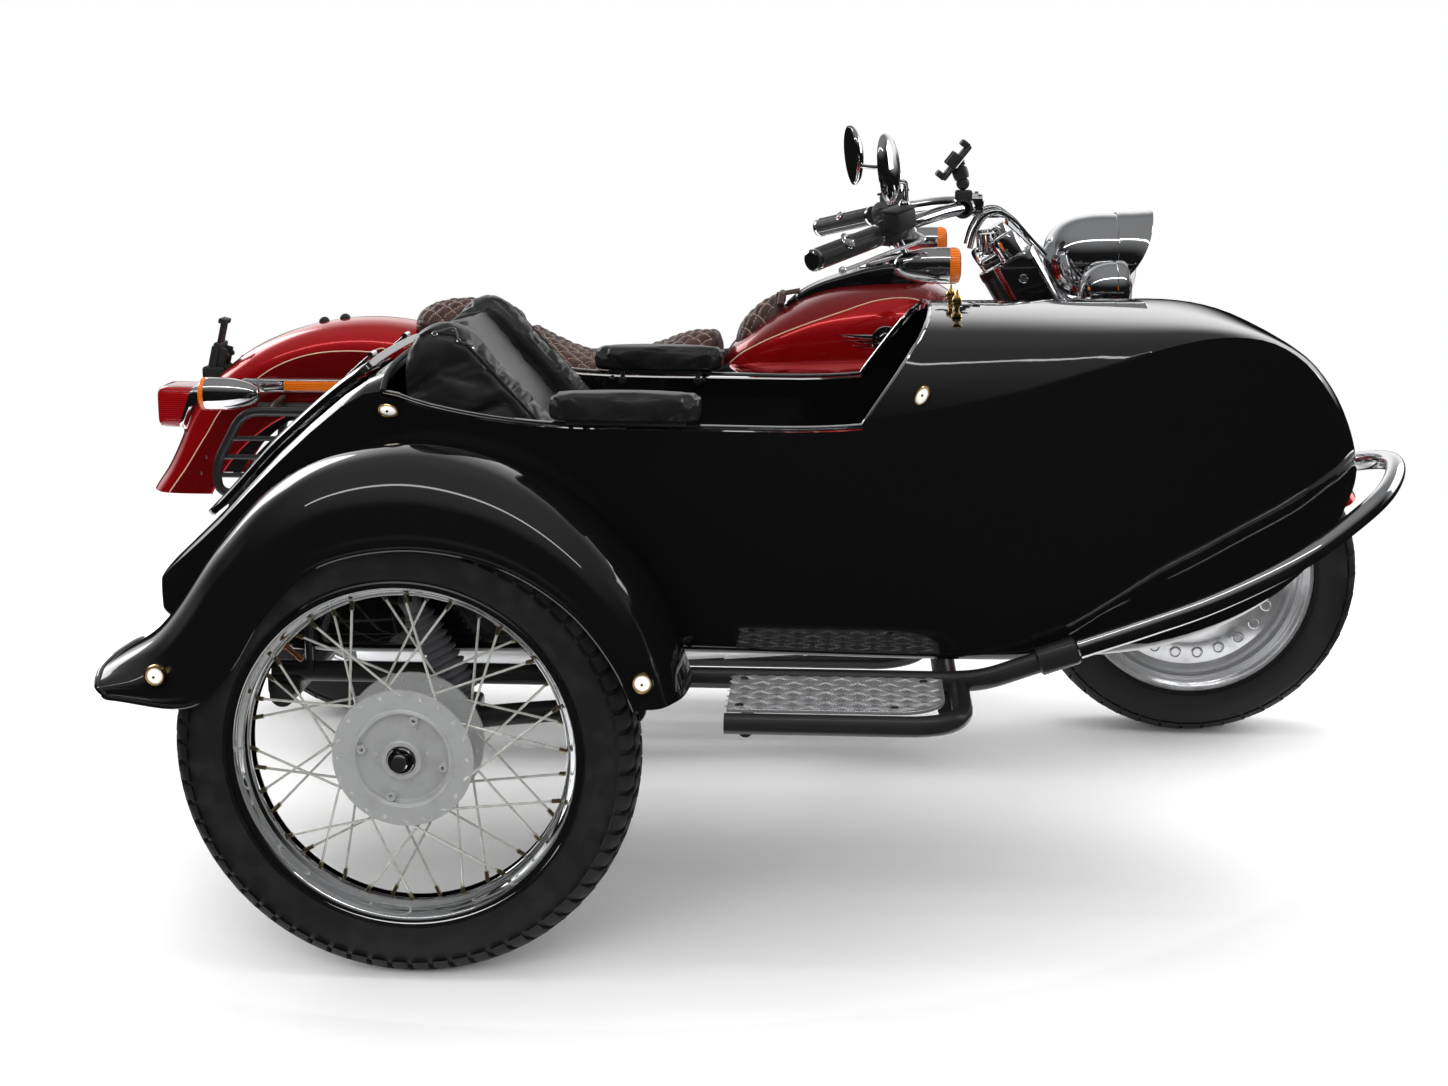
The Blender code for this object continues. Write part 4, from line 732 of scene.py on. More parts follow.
# ---- the sidecar's body ----
bodyShape = {
    "halfWidth": 0.280, "tail": -0.105, "nose": 1.743, "noseStart": 1.150, "wall": 0.012, "trim": 0.0032,
    "cockpit": (0.262, 0.969), "slant": 0.70, "boot": (0.0, 0.2), "bootHalf": 0.170,
    "top": [(-0.105, 0.545), (0, 0.645), (0.1, 0.748), (0.245, 0.858), (0.33, 0.88), (0.5, 0.9), (0.98,
            0.93),
            (1.08, 0.934), (1.3, 0.934), (1.463, 0.931), (1.525, 0.922), (1.58, 0.904), (1.643, 0.868),
            (1.69, 0.815),
            (1.723, 0.753), (1.7435, 0.690)],
    "crease": [(-0.105, 0.53), (0, 0.622), (0.1, 0.72), (0.245, 0.828), (0.33, 0.81), (0.4, 0.796), (0.5,
            0.7845),
               (0.72, 0.781), (0.969, 0.785), (1.167, 0.825), (1.313, 0.871), (1.399, 0.897), (1.479,
                       0.912),
               (1.545, 0.908), (1.588, 0.892), (1.632, 0.860), (1.677, 0.806), (1.71, 0.752), (1.7435,
                       0.688)],
    "chine": [(-0.105, 0.478), (0, 0.45), (0.6, 0.449), (1.24, 0.45), (1.281, 0.469), (1.339, 0.518),
              (1.396, 0.565),
              (1.471, 0.625), (1.56, 0.660), (1.64, 0.671), (1.7435, 0.677)],
    "keel": [(-0.105, 0.465), (0, 0.43), (0.7, 0.43), (1.384, 0.432), (1.485, 0.452), (1.575, 0.49),
             (1.652, 0.542),
             (1.685, 0.576), (1.726, 0.64), (1.7435, 0.668)],
}
bodyTop, bodyCrease, bodyChine, bodyKeel = (heightCurve(bodyShape[k]) for k in ("top", "crease", "chine",
        "keel"))


def bodyHalf(x):
    b = bodyShape
    half = b["halfWidth"] - 0.04 * max(0.0, (0.25 - x) / (0.25 - b["tail"])) ** 2
    if x > b["noseStart"]:
        share = (x - b["noseStart"]) / (b["nose"] + 0.004 - b["noseStart"])
        half = b["halfWidth"] * math.sqrt(max(0.0, 1 - min(share, 1) ** 2.15))
    return half


hullRows = [(0, 0), (0.4, 0), (0.72, 0), (0.83, 0.03), (0.90, 0.13), (0.945, 0.36), (0.968, 0.68),
            (0.981, 0.94)]
hullSide = [(0.986, 0.012), (0.990, 0.06), (0.9955, 0.22), (1, 0.5), (0.9955, 0.78), (0.989, 0.94),
            (0.9862, 0.985)]
cowlRows = [(0.9835, 0.030), (0.975, 0.085), (0.944, 0.27), (0.90, 0.46), (0.835, 0.63), (0.74, 0.765),
            (0.62, 0.865),
            (0.48, 0.93), (0.32, 0.972), (0.16, 0.994), (0, 1)]


def hullPoints(x):
    half, low, chine, crease = bodyHalf(x), bodyKeel(x), bodyChine(x), bodyCrease(x)
    points = [(x, half * y, low + (chine - low) * t) for y, t in hullRows]
    return points + [(x, half * y, chine + (crease - chine) * t) for y, t in hullSide]


def cowlPoints(x):
    # forward of the cockpit the cowl's edge slants: each row is found where its own height puts it
    points = []
    b = bodyShape
    fade = max(0.0, min(1.0, (1.34 - x) / (1.34 - b["cockpit"][1]))) if x >= b["cockpit"][1] - 1e-6 else 0.0
    for y, t in cowlRows:
        place = x
        for _ in range(8):
            crease, top = bodyCrease(place), bodyTop(place)
            z = crease + (top - crease) * t
            place = x + b["slant"] * fade * (z - bodyCrease(x))
        points.append((place, bodyHalf(place) * y, z))
    return points


def bodyShell():
    b = bodyShape
    form = Form()
    rear, front = b["cockpit"]
    stations = [b["tail"], -0.101, -0.088, -0.06, -0.03, 0, 0.05, 0.1, 0.15, 0.2, 0.235, rear]
    stations += [0.29, 0.33, 0.37, 0.41, 0.45, 0.49, 0.55, 0.63, 0.71, 0.79, 0.87, 0.93, front]
    stations += [1.0, 1.04, 1.08, 1.115]
    reach = b["nose"] - b["noseStart"]
    stations += [b["noseStart"] + reach * math.sin(math.radians(90 * k / 34)) for k in range(35)]
    rows = []
    for x in stations:
        shrink = 1 - 0.05 * max(0.0, (-0.088 - x) / 0.017) ** 2
        points = hullPoints(x)
        open_ = rear + 1e-6 < x < front - 1e-6
        cowl = [] if open_ else cowlPoints(x)
        middle = (bodyKeel(x) + bodyTop(x)) / 2
        row = {}
        for side in (1, -1):
            row[side] = []
            for k, (px, py, pz) in enumerate(points + cowl):
                if side < 0 and abs(py) < 1e-9:
                    row[side].append(row[1][k])
                    continue
                place = (px, sideY + side * py * shrink, middle + (pz - middle) * shrink)
                row[side].append(form.mesh.verts.new(place))
        rows.append(row)
    hull = len(hullRows) + len(hullSide)
    for (x0, a), (x1, c) in zip(zip(stations, rows), zip(stations[1:], rows[1:])):
        for side in (1, -1):
            count = min(len(a[side]), len(c[side]))
            if x1 <= rear + 1e-6 or x0 >= front - 1e-6:
                count = hull + len(cowlRows)
            else:
                count = hull
            for k in range(count - 1):
                inBoot = (x0 >= b["boot"][0] - 1e-6 and x1 <= b["boot"][1] + 1e-6
                          and k >= hull and abs(a[side][k].co.y - sideY) < b["bootHalf"] + 0.02)
                if inBoot:
                    continue
                corners = [a[side][k], c[side][k], c[side][k + 1], a[side][k + 1]]
                corners = [v for n, v in enumerate(corners) if v not in corners[:n]]
                if len(corners) > 2:
                    form.mesh.faces.new(corners)
    for end in (rows[0], rows[-1]):
        loop = end[1] + list(reversed(end[-1][1:-1]))
        form.mesh.faces.new(loop)
    bmesh.ops.recalc_face_normals(form.mesh, faces=form.mesh.faces[:])
    down = [f for f in form.mesh.faces if abs(f.calc_center_median().x - 0.7) < 0.1
            and f.calc_center_median().z < 0.432]
    if down and down[0].normal.z > 0:
        bmesh.ops.reverse_faces(form.mesh, faces=form.mesh.faces[:])
    shell = form.object("sidecarBodyShell", angle=38, turnOut=False)
    wall = shell.modifiers.new("wall", "SOLIDIFY")
    wall.thickness = b["wall"]
    wall.offset = -1
    wall.material_offset = 1
    shell.data.materials.append(black.material)
    shell.data.materials.append(felt.material)
    plainMesh(shell)
    shell.data.set_sharp_from_angle(angle=math.radians(38))
    settle(shell, "chassis", [black, felt], "sidecar_body")


def cockpitTrim():
    # a bright bead round the cockpit's edge
    b = bodyShape
    rear, front = b["cockpit"]
    line = []
    for k in range(30):
        x = rear + (front - rear) * k / 29
        line.append(Vector((x, bodyHalf(x) * 0.984, bodyCrease(x))))
    arch = [Vector(p) for p in cowlPoints(front)]
    near = line + arch
    whole = [Vector((p.x, sideY - p.y, p.z + 0.0005)) for p in near]
    whole += [Vector((p.x, sideY + p.y, p.z + 0.0005)) for p in reversed(near[:-1])]
    bead = [Vector((p.x, p.y + (0.004 if p.y < sideY else -0.004), p.z)) for p in whole]
    form = Form()
    form.tube(bead, b["trim"], 10)
    form.piece("cockpitTrimBead", "chassis", chrome, "chrome")
    lip = Form()
    deck = [Vector(p) for p in cowlPoints(rear)]
    deckLine = [Vector((p.x + 0.002, sideY + s * p.y, p.z + 0.001)) for s, part in ((-1, deck), (1,
            deck[-2::-1]))
                for p in part]
    lip.tube(deckLine, 0.0045, 10)
    lip.piece("cockpitRearWelt", "chassis", soft, "soft_rubber")


def ovalLamp(name, place, out, along, width, height, slotName="brass"):
    # a small lamp: gold rim, milk glass and a centre pin
    out, along = Vector(out).normalized(), Vector(along).normalized()
    place = Vector(place)
    other = out.cross(along)

    def ring(scale, depth):
        return [place + out * depth + along * math.cos(a) * width * scale + other * math.sin(a) * height * scale
                for a in (math.tau * k / 28 for k in range(28))]
    rim = Form()
    rim.loft([ring(1, -0.002), ring(1.02, 0.002), ring(0.96, 0.006), ring(0.84, 0.007), ring(0.76, 0.0045),
              ring(0.74, 0.001)])
    rim.piece(name + "Rim", "chassis", brass, "brass")
    glass = Form()
    glass.loft([ring(0.75, 0.001), ring(0.74, 0.005), ring(0.6, 0.0085), ring(0.3, 0.0105), ring(0.05,
            0.011)])
    glass.piece(name + "Glass", "chassis", milk, slotName)
    pin = Form()
    pin.bolt(place + out * 0.0105, out, 0.0022, 0.002, dome=True)
    pin.piece(name + "Pin", "chassis", brass, "brass")


def bodySurface(x, z, side):
    # the point on the flank of the body at a height, and the way it faces
    half, chine, crease, top = bodyHalf(x), bodyChine(x), bodyCrease(x), bodyTop(x)
    rows = [(y, chine + (crease - chine) * t) for y, t in hullSide]
    rows += [(y, crease + (top - crease) * t) for y, t in cowlRows]
    for (ya, za), (yb, zb) in zip(rows, rows[1:]):
        if za <= z <= zb:
            t = (z - za) / max(zb - za, 1e-9)
            slope = (yb - ya) * half / max(zb - za, 1e-6)
            return (Vector((x, sideY + side * half * (ya + (yb - ya) * t), z)),
                    Vector((0, side, -slope)).normalized())
    return Vector((x, sideY + side * half, z)), Vector((0, side, 0))


def bodyFittings():
    for side, tag in ((-1, "Right"), (1, "Left")):
        place, out = bodySurface(1.055, 0.828, side)
        ovalLamp("cowlMarker" + tag, place, out, (0.5, 0, 0.86), 0.017, 0.011)
        place, out = bodySurface(0.272, 0.802, side)
        ovalLamp("rearMarker" + tag, place, out, (0.97, 0, -0.2), 0.017, 0.010)
    finial = Form()
    for x, side in ((1.105, 1), (1.110, -0.72)):
        y = sideY + side * 0.05 - 0.085
        foot = Vector((x, y, bodyTop(x) - 0.006))
        finial.lathe([(0.008, 0), (0.008, 0.004), (0.004, 0.007), (0.0035, 0.014), (0.0075, 0.019),
                      (0.0085, 0.024),
                      (0.006, 0.030), (0.0025, 0.034), (0.0012, 0.040), (0, 0.041)], foot, upward, 20)
    finial.piece("cowlFinials", "chassis", brass, "brass")
    studs = [(bodySurface(x, 0.774, s)[0], Vector((1, 0, 0)), Vector((0, s, 0)), 1.0)
             for s in (-1, 1) for x in (0.54, 0.70)]
    shape = Form()
    shape.lathe([(0.0055, 0), (0.0055, 0.0015), (0.0045, 0.0032), (0.0018, 0.0045), (0, 0.0047)], (0, 0,
            0), upward, 16)
    inner = [(p - Vector((0, s.y * 0.0135, 0)), a, -s, g) for p, a, s, g in studs]
    stamped("armrestBolts", shape.object("stud"), inner, "chassis", chrome)


def bootLid():
    look = {"half": 0.200, "front": 0.232, "rear": -0.030, "gap": 0.006, "thick": 0.012}
    slope = math.atan2(bodyTop(0.245) - bodyTop(0.0), 0.245)
    normal = Vector((-math.sin(slope), 0, math.cos(slope)))

    def deck(x, y):
        rows = sorted([(bodyHalf(x) * k, bodyCrease(x) + (bodyTop(x) - bodyCrease(x)) * t) for k,
                       t in cowlRows])
        for (ya, za), (yb, zb) in zip(rows, rows[1:]):
            if ya <= abs(y) <= yb:
                return za + (zb - za) * (abs(y) - ya) / (yb - ya)
        return rows[0][1]

    form = Form()
    rings = []
    for i in range(25):
        x = look["rear"] + (look["front"] - look["rear"]) * i / 24
        edge = min(i, 24 - i) / 24
        inset = 0.022 * max(0.0, 1 - edge / 0.08) ** 2
        under, over = [], []
        for k in range(29):
            y = (look["half"] - inset) * (2 * k / 28 - 1)
            place = Vector((x, sideY + y, deck(x, y)))
            fall = 0.004 * max(0.0, (abs(y) / look["half"] - 0.93) / 0.07) ** 2
            under.append(place + normal * look["gap"])
            over.append(place + normal * (look["gap"] + look["thick"] - fall))
        rings.append(under + list(reversed(over)))
    form.loft(rings)
    form.piece("bootLidPanel", "boot_lid", black, "black_paint", "boot_lid", bevel=0.002)
    trim = Form()
    for y in (-0.12, 0.12):
        x = look["front"] - 0.028
        place = Vector((x, sideY + y, deck(x, y))) + normal * (look["gap"] + look["thick"])
        turn = Matrix.Translation(place) @ Matrix.Rotation(-slope, 4, "Y")
        trim.block((-0.026, -0.012, -0.001), (0.026, 0.012, 0.003), turn, 0.0015, 2)
        trim.rod(turn @ Vector((0.028, -0.014, 0.001)), turn @ Vector((0.028, 0.014, 0.001)), 0.0045, 14)
        for k in (-0.014, 0.004):
            trim.bolt(turn @ Vector((k, 0, 0.003)), normal, 0.0035, 0.002, dome=True)
    x = look["rear"] + 0.045
    place = Vector((x, sideY, deck(x, 0))) + normal * (look["gap"] + look["thick"])
    turn = Matrix.Translation(place) @ Matrix.Rotation(-slope, 4, "Y")
    trim.lathe([(0.019, 0), (0.019, 0.003), (0.015, 0.005), (0, 0.005)], place, normal, 28)
    trim.block((-0.006, -0.034, 0.004), (0.006, 0.034, 0.011), turn, 0.003, 3)
    trim.piece("bootLidHandleAndHinges", "boot_lid", chrome, "chrome")


bodyShell()
cockpitTrim()
bodyFittings()
bootLid()
print("sidecar body,", pieceCount, "pieces")


# ---- its fender ----
fenderShape = {
    "crown": [(-0.123, 0.452), (-0.05, 0.5), (0.051, 0.632), (0.126, 0.708), (0.21, 0.754), (0.322, 0.774),
              (0.43, 0.757), (0.52, 0.716), (0.61, 0.642), (0.68, 0.552), (0.726, 0.423)],
    "edge": [(-0.092, 0.426), (0.03, 0.418), (0.085, 0.47), (0.134, 0.545), (0.21, 0.618), (0.319, 0.647),
             (0.42, 0.64), (0.5, 0.612), (0.575, 0.558), (0.632, 0.482), (0.658, 0.421)],
    "inner": -1.0555, "skirt": -1.279, "sheet": 0.0035, "bead": 0.0042,
}


def sidecarFender():
    f = fenderShape
    crown = smoothLine([(x, 0, z) for x, z in f["crown"]], 8)
    edge = smoothLine([(x, 0, z) for x, z in f["edge"]], 8)
    rows = smoothLine([(f["inner"], 0.16, 0), (-1.0955, 0.05, 0), (-1.16, 0, 0), (-1.21, 0.06, 0),
                       (-1.25, 0.26, 0),
                       (-1.272, 0.46, 0), (f["skirt"], 0.66, 0)], 5)
    rows += [Vector((f["skirt"], 0.80, 0)), Vector((f["skirt"] - 0.001, 0.86, 0)),
             Vector((f["skirt"] - 0.004, 0.89, 0)),
             Vector((f["skirt"] - 0.0045, 0.94, 0)), Vector((f["skirt"] - 0.0035, 1.0, 0))]
    form = Form()
    rings = []
    for a, c in zip(crown, edge):
        rings.append([a + (c - a) * r.y + across * r.x for r in rows])
    form.loft(rings, caps=False, openRing=True)
    bmesh.ops.recalc_face_normals(form.mesh, faces=form.mesh.faces[:])
    top = max(form.mesh.faces, key=lambda face: face.calc_center_median().z)
    if top.normal.z < 0:
        bmesh.ops.reverse_faces(form.mesh, faces=form.mesh.faces[:])
    shell = form.object("sidecarFenderShell", angle=50, turnOut=False)
    wall = shell.modifiers.new("wall", "SOLIDIFY")
    wall.thickness = f["sheet"]
    wall.offset = -1
    plainMesh(shell)
    shell.data.set_sharp_from_angle(angle=math.radians(50))
    settle(shell, "chassis", black, "sidecar_fender")
    bead = Form()
    lower = [ring[-1] + Vector((0, 0.001, 0)) for ring in rings]
    tail = [p + Vector((0, 0, 0.0005)) for p in rings[0]]
    bead.tube(tail[:-1] + lower, f["bead"], 10)
    bead.piece("sidecarFenderRolledEdge", "chassis", black, "black_paint")
    for k, (x, z) in enumerate(((-0.019, 0.460), (0.669, 0.462))):
        place = Vector((x, f["skirt"] - 0.002, z))
        ovalLamp("fenderLamp" + ("Rear", "Front")[k], place, (0, -1, 0), (1, 0, 0), 0.0155, 0.0155)
    stay = Form()
    for x in (0.14, 0.50):
        stay.tube(bentLine([(x, -1.064, 0.408), (x, -1.064, 0.60), (x, -1.12, 0.715)], 0.03), 0.006, 10)
    stay.piece("fenderStays", "chassis", satin, "satin_black")


sidecarFender()


# ---- tubes under it ----
def sidecarChassis():
    look = {"tube": 0.016, "z": 0.401, "outer": -1.05, "inner": -0.47, "splay": 0.028, "sleeve": (1.290,
            0.463)}
    form = Form()
    frontX, frontZ = look["sleeve"]
    for y, splay in ((look["outer"], -look["splay"]), (look["inner"], look["splay"])):
        front = Vector((frontX, y + splay, frontZ))
        bend = front - Vector((0.170, 0, 0.062)) * 0.80
        along = (front - bend).normalized()
        rail = bentLine([(0.080, y, look["z"]), (1.102, y, look["z"]), bend, front - along * 0.004],
                        0.06, 8)
        form.tube(rail, look["tube"], 20)
        form.lathe([(0.016, 0), (0.021, 0.003), (0.021, 0.057), (0.0185, 0.061)], front - along * 0.062,
                   along, 24)
    low = look["z"] - 0.030
    for x in (1.105, 0.100):
        form.rod((x, look["outer"] - 0.034, low), (x, -0.420, low), 0.019, 20)
        for y in (look["outer"], look["inner"]):
            form.block((x - 0.026, y - 0.020, low - 0.004), (x + 0.026, y + 0.020, look["z"] - 0.004),
                       None, 0.005, 2)
    step = bentLine([(0.780, -1.250, 0.395), (1.118, -1.250, 0.395), (1.118, look["outer"], 0.398)],
                    0.085, 10)
    form.tube(step, 0.015, 20)
    form.rod((0.810, -1.250, 0.384), (0.810, look["outer"], 0.388), 0.010, 14)
    form.rod((0.632, look["outer"] - 0.035, 0.378), (0.632, look["outer"], 0.392), 0.012, 14)
    links = [((1.080, look["inner"], look["z"]), (1.150, -0.168, 0.398)), ((0.440, look["inner"],
            look["z"]), (0.420, -0.1655, 0.401)),
             ((0.520, look["inner"], look["z"]), (0.424, -0.173, 0.560)), ((1.040, look["inner"],
                     look["z"]), (1.184, -0.171, 0.560))]
    for start, end in links:
        start, end = Vector(start), Vector(end)
        along = (end - start).normalized()
        form.rod(start, end, 0.014, 16)
        form.lathe([(0.019, 0), (0.019, 0.03), (0.014, 0.036)], start, along, 20)
        form.lathe([(0.014, -0.050), (0.019, -0.046), (0.019, 0)], end, along, 20)
        form.ball(end - along * 0.012, 0.021, steps=18)
    form.piece("sidecarFrameTubes", "chassis", satin, "satin_black", "sidecar_frame", bevel=0.001)
    bolts = Form()
    for start, end in links:
        bolts.bolt(Vector(end) + Vector((0, 0, 0.017)), upward, 0.0085, 0.009)
    for x in (1.105, 0.100):
        for y in (look["outer"], look["inner"]):
            for dx in (-0.015, 0.015):
                bolts.bolt((x + dx, y, low - 0.004), (0, 0, -1), 0.006, 0.006)
    bolts.bolt((1.118, -1.094, 0.3885), (0, -0.3, -1), 0.008, 0.010)
    bolts.piece("sidecarFrameBolts", "chassis", steel, "satin_black")


def bumper():
    look = {"tube": 0.015, "start": (1.2912, 0.4634), "half": 0.308}
    x, z = look["start"]
    along = Vector((0.170, 0, 0.062)).normalized()
    near = [Vector((x, look["half"], z)), Vector((x, look["half"], z)) + along * 0.10, Vector((1.48,
            0.304, 0.534)),
            Vector((1.600, 0.268, 0.585)), (1.695, 0.200, 0.630), (1.770, 0.115, 0.668), (1.806, 0.0,
                    0.690)]
    near = [Vector(p) for p in near]
    line = near + [Vector((p.x, -p.y, p.z)) for p in reversed(near[:-1])]
    line = [Vector((p.x, sideY - p.y, p.z)) for p in line]
    form = Form()
    form.tube(smoothLine(line, 10), look["tube"], 28)
    form.piece("bumperLoop", "chassis", chrome, "chrome", "bumper_bar")


def stepPlate():
    look = {"inner": -1.068, "outer": -1.232, "rear": 0.782, "front": 1.093, "corner": 0.070, "z": 0.405,
            "thick": 0.006}
    form = Form()
    outline = [(look["rear"], look["inner"]), (look["front"], look["inner"])]
    for k in range(13):
        a = math.radians(90 * k / 12)
        outline.append((look["front"] - look["corner"] * (1 - math.cos(a)),
                        look["outer"] + look["corner"] * (1 - math.sin(a))))
    outline.append((look["rear"], look["outer"]))
    form.loft([[(x, y, z) for x, y in outline] for z in (look["z"], look["z"] + look["thick"])])
    form.piece("stepPlateSheet", "chassis", alloy, "polished_alloy", "step_plate", bevel=0.0015)
    bar = Form()
    rings = []
    for k in range(7):
        t = 2 * k / 6 - 1
        swell = math.sqrt(max(0.0, 1 - t * t))
        rings.append([(t * 0.0115, 0.0019 * swell + 0.0001, 0), (t * 0.0115, 0, 0.0013 * swell + 0.0001),
                      (t * 0.0115, -0.0019 * swell - 0.0001, 0)])
    bar.loft(rings)
    places = []
    gap = 0.0235
    for i in range(15):
        for k in range(8):
            x, y = look["rear"] + 0.010 + gap * i, look["inner"] - 0.010 - gap * k
            lean = 1 if (i + k) % 2 else -1
            ahead = Vector((1, lean, 0)).normalized()
            other = Vector((-lean, 1, 0)).normalized()
            for n in (-2, -1, 0, 1, 2):
                place = Vector((x, y, look["z"] + look["thick"])) + other * 0.0046 * n
                corner = Vector((look["front"] - look["corner"], look["outer"] + look["corner"], 0))
                out = place - corner
                inCorner = out.x > 0 and out.y < 0 and Vector((out.x,
                        out.y)).length > look["corner"] - 0.008
                if place.y > look["outer"] + 0.006 and place.x < look["front"] - 0.006 and not inCorner:
                    places.append((place, ahead, upward, 0.9 if abs(n) == 2 else 1.0))
    stamped("stepPlateTread", bar.object("treadBar"), places, "chassis", alloy)
    studs = Form()
    for x, y in ((0.80, -1.085), (0.80, -1.215), (1.065, -1.085), (1.02, -1.215)):
        studs.bolt((x, y, look["z"] + look["thick"]), upward, 0.0065, 0.0025, dome=True)
    studs.piece("stepPlateStuds", "chassis", steel, "polished_alloy")


sidecarChassis()
bumper()
stepPlate()
print("fender and chassis,", pieceCount, "pieces")


# ---- tyres ----
tyreLook = {
    "front": {"hub": frontHub, "radius": 0.321, "half": 0.070, "rim": 0.233, "tread": 0.0055,
              "body": "front_wheel"},
    "rear": {"hub": rearHub, "radius": 0.326, "half": 0.080, "rim": 0.233, "tread": 0.0055,
             "body": "rear_wheel"},
    "sidecar": {"hub": sideHub, "radius": 0.337, "half": 0.052, "rim": 0.2525, "tread": 0.0075,
                "body": "sidecar_wheel"},
}


def tyreOutline(t):
    # (distance across, radius) from the bead to the crown
    wall, rim, half = t["radius"] - t["rim"], t["rim"], t["half"]
    points = [(0.76 * half, rim + 0.012), (0.86 * half, rim + 0.10 * wall), (0.97 * half,
            rim + 0.28 * wall),
              (half, rim + 0.46 * wall), (0.985 * half, rim + 0.64 * wall), (0.90 * half,
                      rim + 0.79 * wall),
              (0.70 * half, rim + 0.91 * wall), (0.40 * half, rim + 0.98 * wall), (0, t["radius"])]
    return [(p.x, p.y) for p in smoothLine([(a, b, 0) for a, b in points], 6)]


def tyre(name):
    t = tyreLook[name]
    outline = tyreOutline(t)
    wall = t["radius"] - t["rim"]
    carcass = []
    for y, r in outline:
        share = (r - t["rim"]) / wall
        sink = t["tread"] * min(1, max(0, (share - 0.70) / 0.08))
        line = 0.0009 if 0.20 < share < 0.235 or 0.40 < share < 0.425 or 0.62 < share < 0.64 else 0.0
        carcass.append((r - sink + line * 0.2, y + line))
    half = carcass + [(r, -y) for r, y in reversed(carcass[:-1])]
    inner = [(t["rim"] + 0.004, -0.74 * t["half"]), (t["rim"] + 0.006, 0), (t["rim"] + 0.004,
            0.74 * t["half"])]
    form = Form()
    form.lathe([(r, y) for r, y in half] + inner, t["hub"], across, 160, closed=True)
    form.piece(name + "TyreCarcass", t["body"], rubber, "tyre_rubber", name + "_tyre", angle=60)
    return outline


def treadBlock(outline, radius, angle, y0, y1, lean, depth, bend=0.0, taper=0.85):
    # one block of tread draped over the tyre's round shoulder, at the wheel's top
    form = Form()

    def surface(y):
        y = abs(y)
        for (ya, ra), (yb, rb) in zip(outline, outline[1:]):
            if yb <= y <= ya:
                return rb + (ra - rb) * (y - yb) / max(ya - yb, 1e-9)
        return outline[-1][1]

    rows = []
    for k in range(6):
        t = k / 5
        y = y0 + (y1 - y0) * t
        near, far = surface(max(min(y + 0.002, 1), -1)), surface(y - 0.002)
        slope = max(-3.0, min(3.0, (near - far) / 0.004))
        out = Vector((0, -slope, 1)).normalized()
        place = Vector((0, y, surface(y)))
        shift = lean * t + bend * math.sin(math.pi * t)
        ring = []
        for s, d, grow in ((-1, -depth - 0.0015, 1.0), (-1, -0.0010, 1.0), (-1, 0, taper), (1, 0, taper),
                           (1, -0.0010, 1.0), (1, -depth - 0.0015, 1.0)):
            ring.append(place + Vector((shift + s * angle * radius / 2 * grow, 0, 0)) + out * d)
        rows.append(ring)
    form.loft(rows)
    return form.object("treadBlock")


def tread(name, rows, count):
    t = tyreLook[name]
    outline = tyre(name)
    for n, row in enumerate(rows):
        block = treadBlock(outline, t["radius"], math.tau / count * row["fill"], row["from"] * t["half"],
                           row["to"] * t["half"], row["lean"], t["tread"], row.get("bend", 0.0))
        places = []
        for k in range(count):
            turn = math.tau * (k + row.get("first", 0.0)) / count
            ahead = Vector((math.cos(turn), 0, -math.sin(turn)))
            up = Vector((math.sin(turn), 0, math.cos(turn)))
            places.append((t["hub"], ahead, up, 1.0))
        stamped(name + "Tread" + str(n), block, places, t["body"], rubber)


roadRows = [{"from": 0.10, "to": 0.50, "fill": 0.84, "lean": 0.016, "bend": 0.004},
            {"from": -0.50, "to": -0.10, "fill": 0.84, "lean": -0.016, "bend": 0.004, "first": 0.3},
            {"from": 0.55, "to": 0.93, "fill": 0.84, "lean": 0.010, "first": 0.5},
            {"from": -0.93, "to": -0.55, "fill": 0.84, "lean": -0.010, "first": 0.8},
            {"from": -0.07, "to": 0.07, "fill": 0.985, "lean": 0.0}]
blockRows = [{"from": 0.64, "to": 0.965, "fill": 0.70, "lean": 0.004, "bend": 0.003},
             {"from": -0.965, "to": -0.64, "fill": 0.70, "lean": -0.004, "bend": 0.003, "first": 0.5},
             {"from": 0.26, "to": 0.60, "fill": 0.72, "lean": 0.009, "bend": -0.003, "first": 0.4},
             {"from": -0.60, "to": -0.26, "fill": 0.72, "lean": -0.009, "bend": -0.003, "first": 0.9},
             {"from": -0.22, "to": 0.22, "fill": 0.66, "lean": 0.0, "bend": 0.006, "first": 0.15}]
tread("front", roadRows, 46)
tread("rear", roadRows, 46)
tread("sidecar", blockRows, 66)


